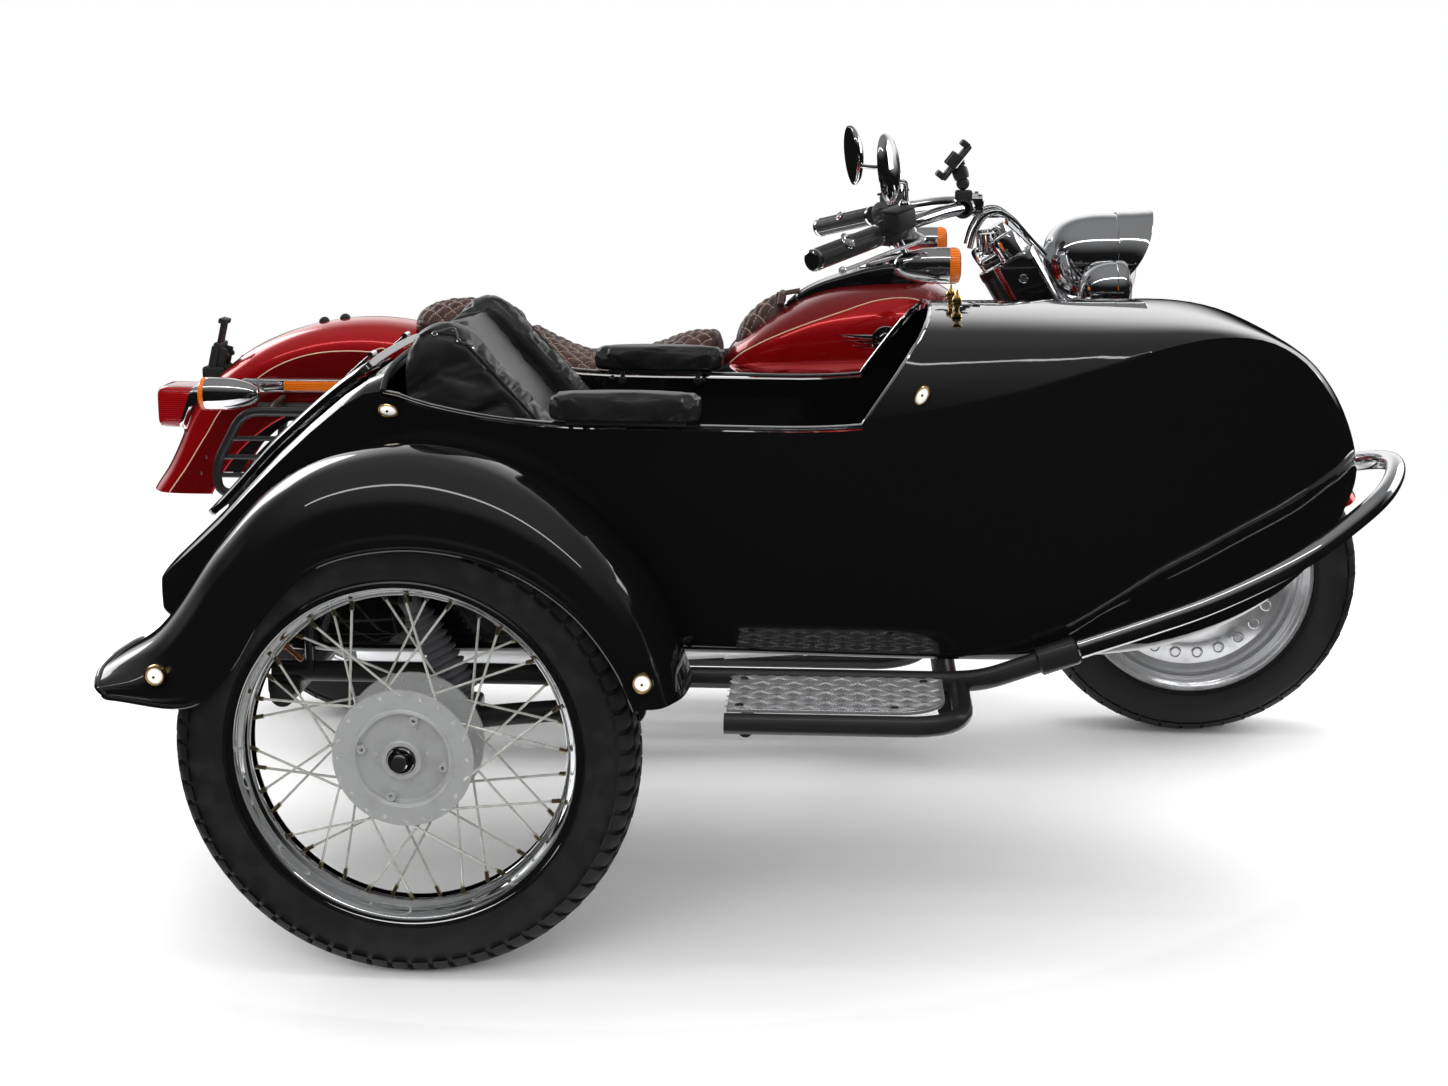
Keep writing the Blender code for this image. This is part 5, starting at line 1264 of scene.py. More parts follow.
# ---- the sidecar's spoked wheel ----
def spokedWheel():
    look = {"rim": 0.2525, "half": 0.043, "well": 0.2335, "flange": 0.102, "holes": 20, "lean": 36,
            "spoke": 0.0019,
            "outer": -0.047, "inner": 0.036}
    hub = sideHub
    rimLine = [(0.2555, 0.0425), (0.2575, 0.0415), (0.2575, 0.0385), (0.2520, 0.0365), (0.2475, 0.0345),
               (0.2450, 0.0290), (0.2435, 0.0215), (0.2400, 0.0165), (0.2350, 0.0145), (look["well"],
                       0.0105)]
    whole = rimLine + [(r, -y) for r, y in reversed(rimLine)]
    lip = [(0.2548, -0.0432), (0.2520, -0.0438), (0.2485, -0.0430), (0.2462, -0.0405), (0.2430, -0.0350),
           (0.2405, -0.0300), (0.2390, -0.0225), (0.2355, -0.0180), (0.2312, -0.0155), (0.2300, -0.0105)]
    whole += lip[::-1] + [(r, -y) for r, y in lip]
    form = Form()
    form.lathe(whole, hub, across, 160, closed=True)
    form.piece("spokedRim", "sidecar_wheel", chrome, "chrome", "sidecar_rim", angle=60)

    body = Form()
    outline = [(0.0115, 0.050), (0.030, 0.050), (0.034, 0.046), (0.078, 0.0445), (0.083, 0.040),
               (look["flange"], 0.0385),
               (look["flange"] + 0.0012, 0.036), (look["flange"], 0.0335), (0.088, 0.032), (0.074,
                       0.028), (0.070, 0.018),
               (0.070, -0.030), (0.074, -0.038), (0.084, -0.0425), (look["flange"] - 0.002, -0.0445),
               (look["flange"], -0.0465), (look["flange"] - 0.0012, -0.0495), (0.0735, -0.0505), (0.0715,
                       -0.0525),
               (0.0690, -0.0530), (0.0672, -0.0515), (0.0665, -0.0440), (0.0640, -0.0415), (0.031, -0.0415),
               (0.0285, -0.0430), (0.0283, -0.0560), (0.0270, -0.0575), (0.0215, -0.0575), (0.0205,
                       -0.0560),
               (0.0200, -0.0465), (0.0115, -0.0460)]
    body.lathe(outline, hub, across, 96, closed=True)
    for k in range(4):
        turn = math.radians(72 + 90 * k + (6 if k % 2 else 0))
        arm = Vector((math.cos(turn), 0, math.sin(turn)))
        foot = hub + arm * 0.0600 + across * -0.0415
        body.lathe([(0.0030, 0), (0.0030, -0.0100), (0.0062, -0.0105), (0.0066, -0.0095), (0.0066, 0)],
                   foot, across, 20,
                   closed=True)
        body.block((0.060, -0.0500, -0.0050), (0.0675, -0.0415, 0.0050),
                   Matrix.Translation(hub) @ Matrix.Rotation(-turn, 4, "Y"), 0.001, 2)
    for turn, reach, radius in ((178, 0.040, 0.0042), (8, 0.036, 0.0042), (62, 0.046, 0.0016), (300,
            0.047, 0.0016),
                                (240, 0.036, 0.0014)):
        a = math.radians(turn)
        body.bolt(hub + Vector((math.cos(a), 0, math.sin(a))) * reach + across * -0.0415, (0, -1, 0),
                  radius, 0.0016,
                  dome=True)
    body.piece("wheelHub", "sidecar_wheel", drum, "polished_alloy")

    axle = Form()
    axle.lathe([(0.0195, -0.040), (0.0195, -0.0600), (0.0180, -0.0620), (0.0150, -0.0625), (0.0142,
            -0.0590),
                (0.0142, -0.0500)], hub, across, 32)
    axle.lathe([(0.0120, -0.050), (0.0120, -0.0690), (0.0105, -0.0705), (0.0072, -0.0710), (0.0070,
            -0.0745),
                (0.0040, -0.0760), (0, -0.0762)], hub, across, 24)
    axle.lathe([(0.0135, -0.0580), (0.0155, -0.0585), (0.0155, -0.0665), (0.0135, -0.0670)], hub, across, 6)
    axle.piece("wheelAxleNut", "sidecar_wheel", chrome, "chrome")

    spokes, nipples, heads = Form(), Form(), Form()
    for y, first in ((look["outer"], 0.0), (look["inner"], 9.0)):
        edge = -1 if y < 0 else 1
        for k in range(look["holes"]):
            a = math.radians(18 * k + first)
            b = a + math.radians(look["lean"] if k % 2 else -look["lean"])
            side = y + edge * (0.0030 if k % 2 else -0.0030)
            hole = hub + Vector((math.cos(a), 0, math.sin(a))) * (look["flange"] - 0.009)
            foot = hole + across * (y + edge * (-0.003 if k % 2 else 0.003))
            tip = hub + Vector((math.cos(b), 0,
                                math.sin(b))) * (look["well"] + 0.002) + across * (0.008 * edge)
            start = hole + across * side
            along = (tip - start).normalized()
            spokes.tube([foot, start, start + along * 0.006, tip - along * 0.012], look["spoke"], 8)
            heads.bolt(hole + across * (y + edge * (-0.0042 if k % 2 else 0.0028)), (0,
                    -edge if k % 2 else edge, 0),
                       0.0034, 0.0018, dome=True)
            nipples.lathe([(0.0023, 0), (0.0034, 0.001), (0.0034, 0.016)], tip - along * 0.018, along, 8)
    spokes.piece("wheelSpokes", "sidecar_wheel", steelBright, "chrome")
    nipples.piece("spokeNipples", "sidecar_wheel", brassPale, "brass")
    heads.piece("spokeHeads", "sidecar_wheel", steelBright, "chrome")
    valve = Form()
    a = math.radians(139)
    arm = Vector((math.cos(a), 0, math.sin(a)))
    valve.lathe([(0.0052, 0.2310), (0.0052, 0.2270), (0.0036, 0.2262), (0.0036, 0.2080), (0.0044, 0.2075),
                 (0.0044, 0.1990), (0.0030, 0.1978), (0, 0.1976)], hub + across * -0.004, arm, 16)
    valve.piece("tyreValve", "sidecar_wheel", copper, "brass")


steelBright = Paint("zinc plated steel", (0.66, 0.67, 0.62), 0.2, 0.55)
steelBright.put("Base Color", steelBright.blend(steelBright.ramp(steelBright.cloud(90.0, 5.0), 0.4, 0.7),
                                                (0.70, 0.71, 0.68),
                                                (0.50, 0.52, 0.44)))
brassPale = Paint("worn nipple brass", (0.62, 0.52, 0.30), 0.3, 1.0)
brassPale.put("Base Color", brassPale.blend(brassPale.ramp(brassPale.cloud(70.0, 5.0), 0.4, 0.7), (0.66,
        0.62, 0.46),
                                            (0.55, 0.38, 0.16)))
copper = Paint("copper", (0.72, 0.30, 0.14), 0.3, 1.0)
copper.put("Roughness", copper.ramp(copper.cloud(90.0, 5.0), 0.3, 0.7, 0.22, 0.4))
spokedWheel()


# ---- the motorcycle's disc wheels ----
def discWheel(name, hub, look):
    body = look["body"]
    rimHalf, hubHalf = look["rimHalf"], look["hubHalf"]
    face = [(0.0135, hubHalf - 0.010), (0.026, hubHalf - 0.008), (0.036, hubHalf - 0.012), (0.044,
            0.034), (0.070, 0.024),
            (0.110, 0.018), (0.142, 0.015), (0.146, 0.0155), (0.184, 0.0155), (0.188, 0.0145), (0.196,
                    0.019),
            (0.2005, 0.030), (0.2045, 0.0325), (0.2085, 0.0335), (0.2115, rimHalf - 0.014), (0.2165,
                    rimHalf - 0.007),
            (0.2215, rimHalf - 0.004), (0.2265, rimHalf + 0.001), (0.2305, rimHalf + 0.0015), (0.2335,
                    rimHalf),
            (0.2345, rimHalf - 0.003), (0.2335, rimHalf - 0.007), (0.2240, rimHalf - 0.016)]
    whole = face + [(r, -y) for r, y in reversed(face)]
    form = Form()
    form.lathe(whole, hub, across, 128, closed=True)
    form.piece(name + "WheelDisc", body, alloy, "polished_alloy", name + "_wheel", angle=32)
    # round openings: shallow wells with a rolled edge
    shape = Form()
    shape.lathe([(0.0098, -0.0006), (0.0122, 0.0002), (0.0118, 0.0022), (0.0100, 0.0028), (0.0085,
            0.0018), (0.0078, -0.0008)],
                (0, 0, 0), upward, 24, closed=True)
    well = Form()
    well.lathe([(0.0080, 0.0003), (0.0076, 0.0010), (0, 0.0010)], (0, 0, 0), upward, 20)
    rings, holes = [], []
    for s in (-1, 1):
        for place, outwards in around(hub, 0.165, s * 0.0155, 24, 0.5):
            rings.append((place, outwards, Vector((0, s, 0)), 1.0))
            holes.append((place, outwards, Vector((0, s, 0)), 1.0))
    stamped(name + "WheelHoleRims", shape.object("holeRim"), rings, body, alloy)
    stamped(name + "WheelHoleFloors", well.object("holeFloor"), holes, body, alloy)
    dark = Form()
    for y0, y1, inner, radius in look["rotors"]:
        dark.lathe([(inner, y0), (radius, y0), (radius + 0.0005, (y0 + y1) / 2), (radius, y1), (inner,
                y1)], hub, across, 96,
                   closed=True)
    dark.piece(name + "WheelRotor", body, steel, "polished_alloy")
    # dark felt discs on the rotor faces stand for the drilled holes, which are not cut: their dark is painted shade
    holeShade = Form()
    holeShade.lathe([(0.0032, 0), (0.0032, 0.0004), (0, 0.0004)], (0, 0, 0), upward, 10)
    places = []
    for y0, y1, inner, radius in look["rotors"]:
        for ring in range(3):
            for place, outwards in around(hub, inner + (radius - inner) * (0.3 + 0.25 * ring), 0, 30,
                                          0.33 * ring):
                for y, s in ((y0, -1), (y1, 1)):
                    places.append((place + across * y, outwards, Vector((0, s, 0)), 1.0))
    stamped(name + "RotorDrillings", holeShade.object("drilling"), places, body, felt)
    cap = Form()
    for s in (-1, 1):
        cap.lathe([(0.026, hubHalf - 0.010), (0.026, hubHalf - 0.002), (0.022, hubHalf), (0, hubHalf)], hub,
                  (0, s, 0), 40)
        for k in range(5):
            a = math.tau * (k + 0.25) / 5
            cap.bolt(hub + Vector((math.cos(a), 0,
                                   math.sin(a))) * 0.033 + across * s * (hubHalf - 0.018), (0, s, 0),
                                   0.005, 0.006)
    cap.piece(name + "WheelCap", body, chrome, "polished_alloy")


discWheel("front", frontHub, {"body": "front_wheel", "rimHalf": 0.054, "hubHalf": 0.077,
                              "rotors": [(0.066, 0.071, 0.090, 0.146)]})
discWheel("rear", rearHub, {"body": "rear_wheel", "rimHalf": 0.060, "hubHalf": 0.087,
                            "rotors": [(-0.078, -0.072, 0.090, 0.146)]})
pulley = Form()
teeth = []
for k in range(140):
    a = math.tau * k / 140
    teeth.append((0.118 if k % 2 else 0.115, a))
pulley.loft([[rearHub + Vector((math.cos(a) * r, 0, math.sin(a) * r)) + across * y for r,
              a in teeth] for y in (0.066, 0.084)])
pulley.piece("rearPulley", "rear_wheel", steel, "polished_alloy")
print("wheels,", pieceCount, "pieces")


# ---- stuffed leather: a solid blown up as cloth ----
def stuffed(name, form, body, paint, replaces, voxel=0.005, pressure=4.0, cap=0.012,
            slack=0.05, held=None,
            soften=6):
    base = form.object(name + "Base")
    remesh = base.modifiers.new("remesh", "REMESH")
    remesh.mode = "VOXEL"
    remesh.voxel_size = voxel
    if soften:
        smooth = base.modifiers.new("smooth", "SMOOTH")
        smooth.factor, smooth.iterations = 0.5, soften
    plainMesh(base)
    start = [v.co.copy() for v in base.data.vertices]
    if held:
        group = base.vertex_groups.new(name="held")
        for v in base.data.vertices:
            weight = held(v.co - ground, v.normal)
            if weight > 0:
                group.add([v.index], weight, "REPLACE")
    cloth = base.modifiers.new("cloth", "CLOTH")
    settings = cloth.settings
    settings.quality = 5
    settings.use_pressure = True
    settings.uniform_pressure_force = pressure
    settings.effector_weights.gravity = 0.0
    settings.shrink_min = -slack
    settings.tension_stiffness = settings.compression_stiffness = 12
    settings.bending_stiffness = 0.25
    if held:
        settings.vertex_group_mass = "held"
    scene = bpy.context.scene
    for step in range(1, 21):
        scene.frame_set(step)
    moved = base.evaluated_get(bpy.context.evaluated_depsgraph_get()).data
    places = []
    for v, was in zip(moved.vertices, start):
        step = v.co - was
        if step.length > cap:
            step = step * (cap / step.length)
        places.append(was + step)
    scene.frame_set(1)
    base.modifiers.clear()
    for v, place in zip(base.data.vertices, places):
        v.co = place
    base.data.update()
    base.name = name
    finer = base.modifiers.new("finer", "SUBSURF")
    finer.levels = finer.render_levels = 1
    plainMesh(base)
    base.data.shade_smooth()
    settle(base, body, paint, replaces)
    print(name, "stuffed,", len(base.data.polygons), "faces")
    return base


def onTop(made, place, direction=(0, 0, -1), reach=0.2):
    # where a line meets a finished piece: the point and the way the surface faces
    hit, point, normal, _ = made.ray_cast(Vector(place) + ground, Vector(direction).normalized(),
                                          distance=reach)
    return (point - ground, normal) if hit else (None, None)


def seatSection(profile, y, bulge, steps=8):
    middle = sum((Vector(p) for p in profile), Vector()) / len(profile)
    return [middle + (Vector(p) - middle) * bulge + across * y for p in profile]


backLook = {"bolster": [(0.352, 0.930), (0.284, 0.893), (0.284, 0.800), (0.306, 0.640), (0.400, 0.510),
                        (0.592, 0.510),
                        (0.595, 0.664)],
            "panel": [(0.322, 0.916), (0.284, 0.885), (0.284, 0.800), (0.305, 0.640), (0.400, 0.512),
                      (0.545, 0.512),
                      (0.545, 0.645)],
            "inner": 0.148, "outer": 0.236, "fill": 0.85}


def backrest():
    look = backLook
    form = Form()
    panel = bentLine([(x, 0, z) for x, z in look["panel"]], 0.028, 5, closed=True)
    form.loft([seatSection(panel, sideY + y, 1.0) for y in (-0.170, 0.170)])
    for side in (-1, 1):
        outline = bentLine([(x, 0, z) for x, z in look["bolster"]], 0.045, 6, closed=True)
        inner, outer = look["inner"], look["outer"]
        rows = []
        for t, bulge in ((0, 0.93), (0.12, 0.975), (0.30, 1.0), (0.6, 1.0), (0.82, 0.985), (0.94, 0.955),
                         (1, 0.91)):
            rows.append(seatSection(outline, sideY + side * (inner + (outer - inner) * t), bulge))
        form.loft(rows)

    def held(place, normal):
        y = abs(place.y - sideY)
        seam = 1.0 if abs(y - look["inner"]) < 0.006 and normal.x > 0.1 else 0.0
        back = 1.0 if normal.x < -0.75 or normal.z < -0.75 else 0.0
        edge = 0.9 if abs(y - 0.226) < 0.004 and normal.x > 0.2 else 0.0
        return max(seam, back, edge)
    made = stuffed("sidecarBackrest", form, "chassis", blackHide, "sidecar_backrest",
                   voxel=0.0055, cap=0.014, slack=0.09, held=held)
    piping, eyelets, lace = Form(), Form(), Form()
    front = smoothLine([(x, 0, z) for x, z in ((0.330, 0.935), (0.356, 0.930), (0.385, 0.897), (0.440,
            0.830),
                                               (0.520, 0.738), (0.585, 0.672))], 10)
    for side in (-1, 1):
        line = []
        for p in front:
            place, normal = onTop(made, (p.x + 0.10, sideY + side * 0.226, p.z + 0.10), (-1, 0, -1), 0.4)
            if place is not None:
                line.append(place + normal * 0.0008)
        if len(line) > 3:
            piping.tube(smoothLine(line, 3), 0.0026, 8)
        tops = evenly(line, 0.019)[1:5]
        laced = []
        for k, (place, _) in enumerate(tops):
            eye = place + across * -side * (0.010 if k % 2 else -0.006)
            spot, normal = onTop(made, eye + Vector((0.08, 0, 0.08)), (-1, 0, -1), 0.3)
            if spot is None:
                continue
            eyelets.lathe([(0.0022, 0.0002), (0.0048, 0.0002), (0.0046, 0.0018), (0.0030, 0.0022),
                           (0.0022, 0.0012)], spot,
                          normal, 18, closed=True)
            laced.append(spot + normal * 0.0030)
        if len(laced) > 1:
            lace.tube(smoothLine(laced, 6), 0.0016, 8)
    seam = []
    for side in (-1, 1):
        line = []
        for k in range(24):
            z = 0.905 - 0.245 * k / 23
            place, normal = onTop(made, (0.75, sideY + side * look["inner"] * 0.985, z), (-1, 0, 0), 0.6)
            if place is not None:
                line.append(place + normal * 0.0004)
        if len(line) > 3:
            piping.tube(smoothLine(line, 2), 0.0022, 8)
    piping.piece("backrestPiping", "chassis", blackHide, "black_leather")
    eyelets.piece("backrestEyelets", "chassis", chrome, "chrome")
    lace.piece("backrestLace", "chassis", darkThread, "black_leather")


def cushion():
    form = Form()
    low, high = Vector((0.612, sideY - 0.216, 0.508)), Vector((0.897, sideY + 0.216, 0.628))
    form.block(low, high, None, 0.030, 5)
    form.ball((0.74, sideY, 0.585), 0.11, (1.15, 1.65, 0.48), 24)

    def held(place, normal):
        rim = 1.0 if abs(place.z - 0.600) < 0.0035 and abs(normal.z) < 0.6 else 0.0
        return max(rim, 1.0 if normal.z < -0.7 else 0.0)
    made = stuffed("sidecarCushion", form, "chassis", blackHide, "sidecar_cushion",
                   voxel=0.006,
                   cap=0.012, slack=0.06, held=held)
    welt = Form()
    edge = bentLine([(low.x, low.y, 0.602), (high.x, low.y, 0.602), (high.x, high.y, 0.602), (low.x,
            high.y, 0.602)], 0.03, 6,
                    closed=True)
    line = []
    middle = (low + high) / 2
    for p in edge:
        inward = Vector((middle.x - p.x, middle.y - p.y, 0)).normalized()
        spot, normal = onTop(made, p - inward * 0.06, inward, 0.12)
        if spot is not None:
            line.append(spot)
    welt.tube(line, 0.003, 8, closed=True)
    welt.piece("cushionWelt", "chassis", blackHide, "black_leather")


def armrests():
    for tag, side in sides:
        middle = sideY + side * 0.268
        form = Form()
        low, high = Vector((0.512, middle - 0.034, 0.7905)), Vector((0.732, middle + 0.034, 0.825))
        rows = []
        for k in range(15):
            t = k / 14
            x = low.x + (high.x - low.x) * t
            end = max(0.0, 1 - min(t, 1 - t) / 0.10)
            pinch = 1 - 0.16 * end ** 2
            ring = []
            for j in range(28):
                a = math.tau * j / 28
                y = abs(math.cos(a)) ** 0.55 * math.copysign(1, math.cos(a)) * 0.034 * pinch
                z = abs(math.sin(a)) ** 0.65 * math.copysign(1, math.sin(a)) * 0.0185 * pinch
                ring.append(Vector((x, middle + y, 0.808 + z)))
            rows.append(ring)
        form.loft(rows)

        def held(place, normal):
            end = min(abs(place.x - low.x), abs(place.x - high.x))
            return max(1.0 if normal.z < -0.8 else 0.0, 1.0 if end < 0.012 and normal.z < 0.25 else 0.0)
        stuffed("armrestPad" + tag.capitalize(), form, "chassis", blackHide,
                "armrest_" + tag,
                voxel=0.0045, cap=0.006, slack=0.10, held=held, soften=2)
        plate = Form()
        plate.block((0.535, middle - 0.020, 0.7855), (0.712, middle + 0.020, 0.7925), None, 0.002, 2)
        for x in (0.560, 0.690):
            plate.rod((x, middle - side * 0.024, 0.7700), (x, middle - side * 0.024, 0.7900), 0.004, 12)
            plate.bolt((x, middle - side * 0.028, 0.774), (0, -side, 0), 0.006, 0.005)
        plate.piece("armrestPlate" + tag.capitalize(), "chassis", steel, "satin_black")


backrest()
cushion()
armrests()
box = Form()
box.block((0.432, sideY - 0.203, 0.447), (0.878, sideY + 0.203, 0.499), None, 0.006, 2)
for x in (0.50, 0.80):
    for s in (-1, 1):
        box.bolt((x, sideY + s * 0.195, 0.447 + 0.026), (0, s, 0), 0.006, 0.004)
box.piece("seatBase", "chassis", satin, "satin_black", "sidecar_seat_box")


# ---- quilted hide on the motorcycle ----
quiltLook = {"pitch": 0.036, "puff": 0.0058, "stitch": 0.0062, "thread": 0.00075}


def quilted(name, stations, low, replaces, spread, edge=0.80, power=2.6, band=None):
    # stations: (x, half width, height); low: the height of its underside there; spread: where the quilting starts and ends
    halfAt = heightCurve([(s[0], s[1]) for s in stations])
    topAt = heightCurve([(s[0], s[2]) for s in stations])
    first, last = stations[0][0], stations[-1][0]

    def skin(x, a):
        # a runs from -1 at one lower edge over the top to 1
        half, top, foot = halfAt(x), topAt(x), low(x)
        turn = a * math.pi / 2
        y = half * math.copysign(abs(math.sin(turn)) ** (2 / power), a)
        z = foot + (top - foot) * abs(math.cos(turn)) ** (2 / power)
        return Vector((x, y, z))

    columns = 150
    span = 0.0
    line = [first + (last - first) * (1 - math.cos(math.pi * k / columns)) / 2 for k in range(columns + 1)]
    lengths = [0.0]
    for a, b in zip(line, line[1:]):
        span += (skin(b, 0) - skin(a, 0)).length
        lengths.append(span)
    around_ = 110
    table = [[skin(x, -1 + 2 * k / around_) for k in range(around_ + 1)] for x in line]
    pitch, puff = quiltLook["pitch"], quiltLook["puff"]

    def quiltAt(along, over):
        p, q = (along + over * 0.72) / pitch, (along - over * 0.72) / pitch
        return abs(math.sin(math.pi * p)) ** 0.55 * abs(math.sin(math.pi * q)) ** 0.55

    form = Form()
    rings = []
    marks = []
    for i, row in enumerate(table):
        reach = [0.0]
        for a, b in zip(row, row[1:]):
            reach.append(reach[-1] + (b - a).length)
        middle = reach[-1] / 2
        ring = []
        for k, place in enumerate(row):
            over = reach[k] - middle
            before, after = table[max(i - 1, 0)][k], table[min(i + 1, columns)][k]
            left, right = row[max(k - 1, 0)], row[min(k + 1, around_)]
            normal = (right - left).cross(after - before)
            normal = normal.normalized() * -1 if normal.length > 1e-9 else upward
            if normal.z < 0:
                normal = -normal
            if (place - Vector((place.x, 0, low(line[i])))).dot(normal) < 0:
                normal = -normal
            inside = min(1.0, max(0.0, (edge * middle - abs(over)) / 0.008))
            inside *= min(1.0, max(0.0, (line[i] - spread[0]) / 0.008)) * min(1.0, max(0.0,
                    (spread[1] - line[i]) / 0.008))
            lift = puff * (quiltAt(lengths[i], over) - 1) * inside
            if inside == 0 and abs(over) > edge * middle and abs(over) < edge * middle + 0.006:
                lift = -0.002
            ring.append(place + normal * lift)
        rings.append(ring)
        marks.append(reach)
    rows = form.loft(rings, caps=False, openRing=True)
    floor = []
    for x, row in zip(line, rows):
        floor.append([row[0], row[-1]])
    for (a, b), (c, d) in zip(floor, floor[1:]):
        form.mesh.faces.new((a, b, d, c))
    for row in (rows[0], rows[-1]):
        form.mesh.faces.new(row)
    made = form.piece(name, "chassis", brownHide, "brown_leather", replaces, angle=50)

    # stitches along the grooves
    places = []
    step = quiltLook["stitch"]
    for lean in (-1, 1):
        for n in range(-30, 60):
            for m in range(200):
                over = -0.24 + 0.48 * m / 200
                along = n * pitch - lean * over * 0.72
                count = int(over / step * 1.23)
                if m and count == int((over - 0.0024) / step * 1.23):
                    continue
                if along < 0.004 or along > span - 0.004:
                    continue
                i = next((j for j in range(columns) if lengths[j + 1] >= along), columns - 1)
                x = line[i] + (line[i + 1] - line[i]) * (along - lengths[i]) / max(lengths[i + 1] - lengths[i], 1e-9)
                if not spread[0] + 0.004 < x < spread[1] - 0.004:
                    continue
                reach = marks[i]
                middle = reach[-1] / 2
                if abs(over) > edge * middle - 0.004:
                    continue
                k = next((j for j in range(around_) if reach[j + 1] >= over + middle), around_ - 1)
                t = (over + middle - reach[k]) / max(reach[k + 1] - reach[k], 1e-9)
                place = rings[i][k].lerp(rings[i][k + 1], t)
                side = (rings[i][k + 1] - rings[i][k]).normalized()
                ahead = (rings[min(i + 1, columns)][k] - rings[max(i - 1, 0)][k]).normalized()
                normal = ahead.cross(side).normalized()
                if normal.z < 0:
                    normal = -normal
                places.append((place + normal * 0.0004, (side - ahead * lean * 0.72).normalized(),
                               normal, 1.0))
    shape = Form()
    shape.tube([(-0.0021, 0, -0.0006), (-0.0014, 0, 0.0002), (0.0014, 0, 0.0002), (0.0021, 0, -0.0006)],
               [quiltLook["thread"] * 0.6, quiltLook["thread"], quiltLook["thread"],
                quiltLook["thread"] * 0.6], 6)
    stamped(name + "Stitches", shape.object("stitch"), places, "chassis", paleThread)
    welt = Form()
    for side in (0, 1):
        edgeLine = []
        for i in range(4, columns - 3, 2):
            reach = marks[i]
            middle = reach[-1] / 2
            target = middle * (1 - edge) if side == 0 else reach[-1] - middle * (1 - edge)
            k = next((j for j in range(around_) if reach[j + 1] >= target), around_ - 1)
            edgeLine.append(rings[i][k])
        welt.tube(edgeLine, 0.0024, 8)
    welt.piece(name + "Welt", "chassis", brownHide, "brown_leather")
    return made


seatLow = heightCurve([(0.300, 0.690), (0.350, 0.684), (0.420, 0.680), (0.500, 0.682), (0.570, 0.690),
                       (0.630, 0.700),
                       (0.675, 0.716), (0.700, 0.735)])
quilted("riderSeatQuilting", [(0.308, 0.100, 0.796), (0.325, 0.124, 0.804), (0.350, 0.140, 0.790),
                              (0.420, 0.156, 0.758),
                              (0.500, 0.160, 0.752), (0.570, 0.150, 0.772), (0.630, 0.124, 0.794),
                              (0.675, 0.092, 0.799),
                              (0.690, 0.074, 0.795), (0.699, 0.050, 0.776)],
        lambda x: seatLow(x), "rider_seat", (0.318, 0.690))


def fenderTop(x):
    # the crown of the rear fender at that place, where the pillion pad lies
    return rearHub.z + math.sqrt(max(0.0, 0.4935 ** 2 - x * x))


quilted("pillionQuilting", [(0.098, 0.050, 0.8235), (0.104, 0.070, 0.834), (0.118, 0.088, 0.845), (0.160,
        0.104, 0.856),
                            (0.230, 0.108, 0.856), (0.280, 0.106, 0.842), (0.296, 0.098, 0.831), (0.303,
                                    0.080, 0.818)],
        lambda x: fenderTop(x) - 0.006, "pillion_seat", (0.106, 0.298), edge=0.84)
padLow = heightCurve([(0.726, 0.750), (0.742, 0.760), (0.772, 0.775), (0.800, 0.790), (0.820, 0.810)])
quilted("tankPadQuilting", [(0.728, 0.046, 0.790), (0.733, 0.058, 0.806), (0.742, 0.066, 0.822), (0.772,
        0.070, 0.852),
                            (0.800, 0.064, 0.868), (0.812, 0.056, 0.871), (0.819, 0.044, 0.864)],
        lambda x: padLow(x), "tank_pad", (0.734, 0.806), edge=0.86)
roll = Form()
roll.tube([(0.815, -0.046, 0.852), (0.817, -0.030, 0.868), (0.818, 0, 0.871), (0.817, 0.030, 0.868),
           (0.815, 0.046, 0.852)],
          0.0075, 14)
roll.piece("tankPadRoll", "chassis", brownHide, "brown_leather")
print("seats,", pieceCount, "pieces")


# ---- fuel tank ----
tankLook = {"half": [(0.706, 0.040), (0.722, 0.078), (0.760, 0.116), (0.820, 0.143), (0.890, 0.160),
                     (0.970, 0.168),
                     (1.050, 0.164), (1.105, 0.148), (1.140, 0.124), (1.162, 0.090), (1.172, 0.050)],
            "low": [(0.706, 0.735), (0.722, 0.722), (0.760, 0.708), (0.820, 0.698), (0.890, 0.694),
                    (0.970, 0.694),
                    (1.050, 0.698), (1.105, 0.706), (1.140, 0.720), (1.162, 0.740), (1.172, 0.765)],
            "high": [(0.706, 0.752), (0.722, 0.775), (0.760, 0.806), (0.820, 0.846), (0.890, 0.879),
                     (0.970, 0.896),
                     (1.050, 0.902), (1.105, 0.896), (1.140, 0.880), (1.162, 0.858), (1.172, 0.830)],
            "stripe": [(0.716, 0.741), (0.739, 0.763), (0.7786, 0.7876), (0.8231, 0.8092), (0.8783,
                    0.8317), (0.933, 0.851),
                       (0.995, 0.8705), (1.0424, 0.8765), (1.0727, 0.874), (1.102, 0.863), (1.130,
                               0.842), (1.150, 0.808)],
            "power": 2.5, "line": 0.0011}
tankHalf, tankLow, tankHigh = (heightCurve(tankLook[k], 12) for k in ("half", "low", "high"))
tankStripe = heightCurve(tankLook["stripe"], 12)


def tankSkin(x, z, side, lift=0.0):
    # the point of the tank's side at that height, and the way it faces
    half, low, high = tankHalf(x), tankLow(x), tankHigh(x)
    middle, rise, n = (low + high) / 2, (high - low) / 2, tankLook["power"]
    share = min(0.9999, abs((z - middle) / rise))
    y = half * (1 - share ** n) ** (1 / n)
    normal = Vector((0, side * (y / half) ** (n - 1) / half, math.copysign(share ** (n - 1) / rise,
            z - middle))).normalized()
    return Vector((x, side * y, z)) + normal * lift, normal


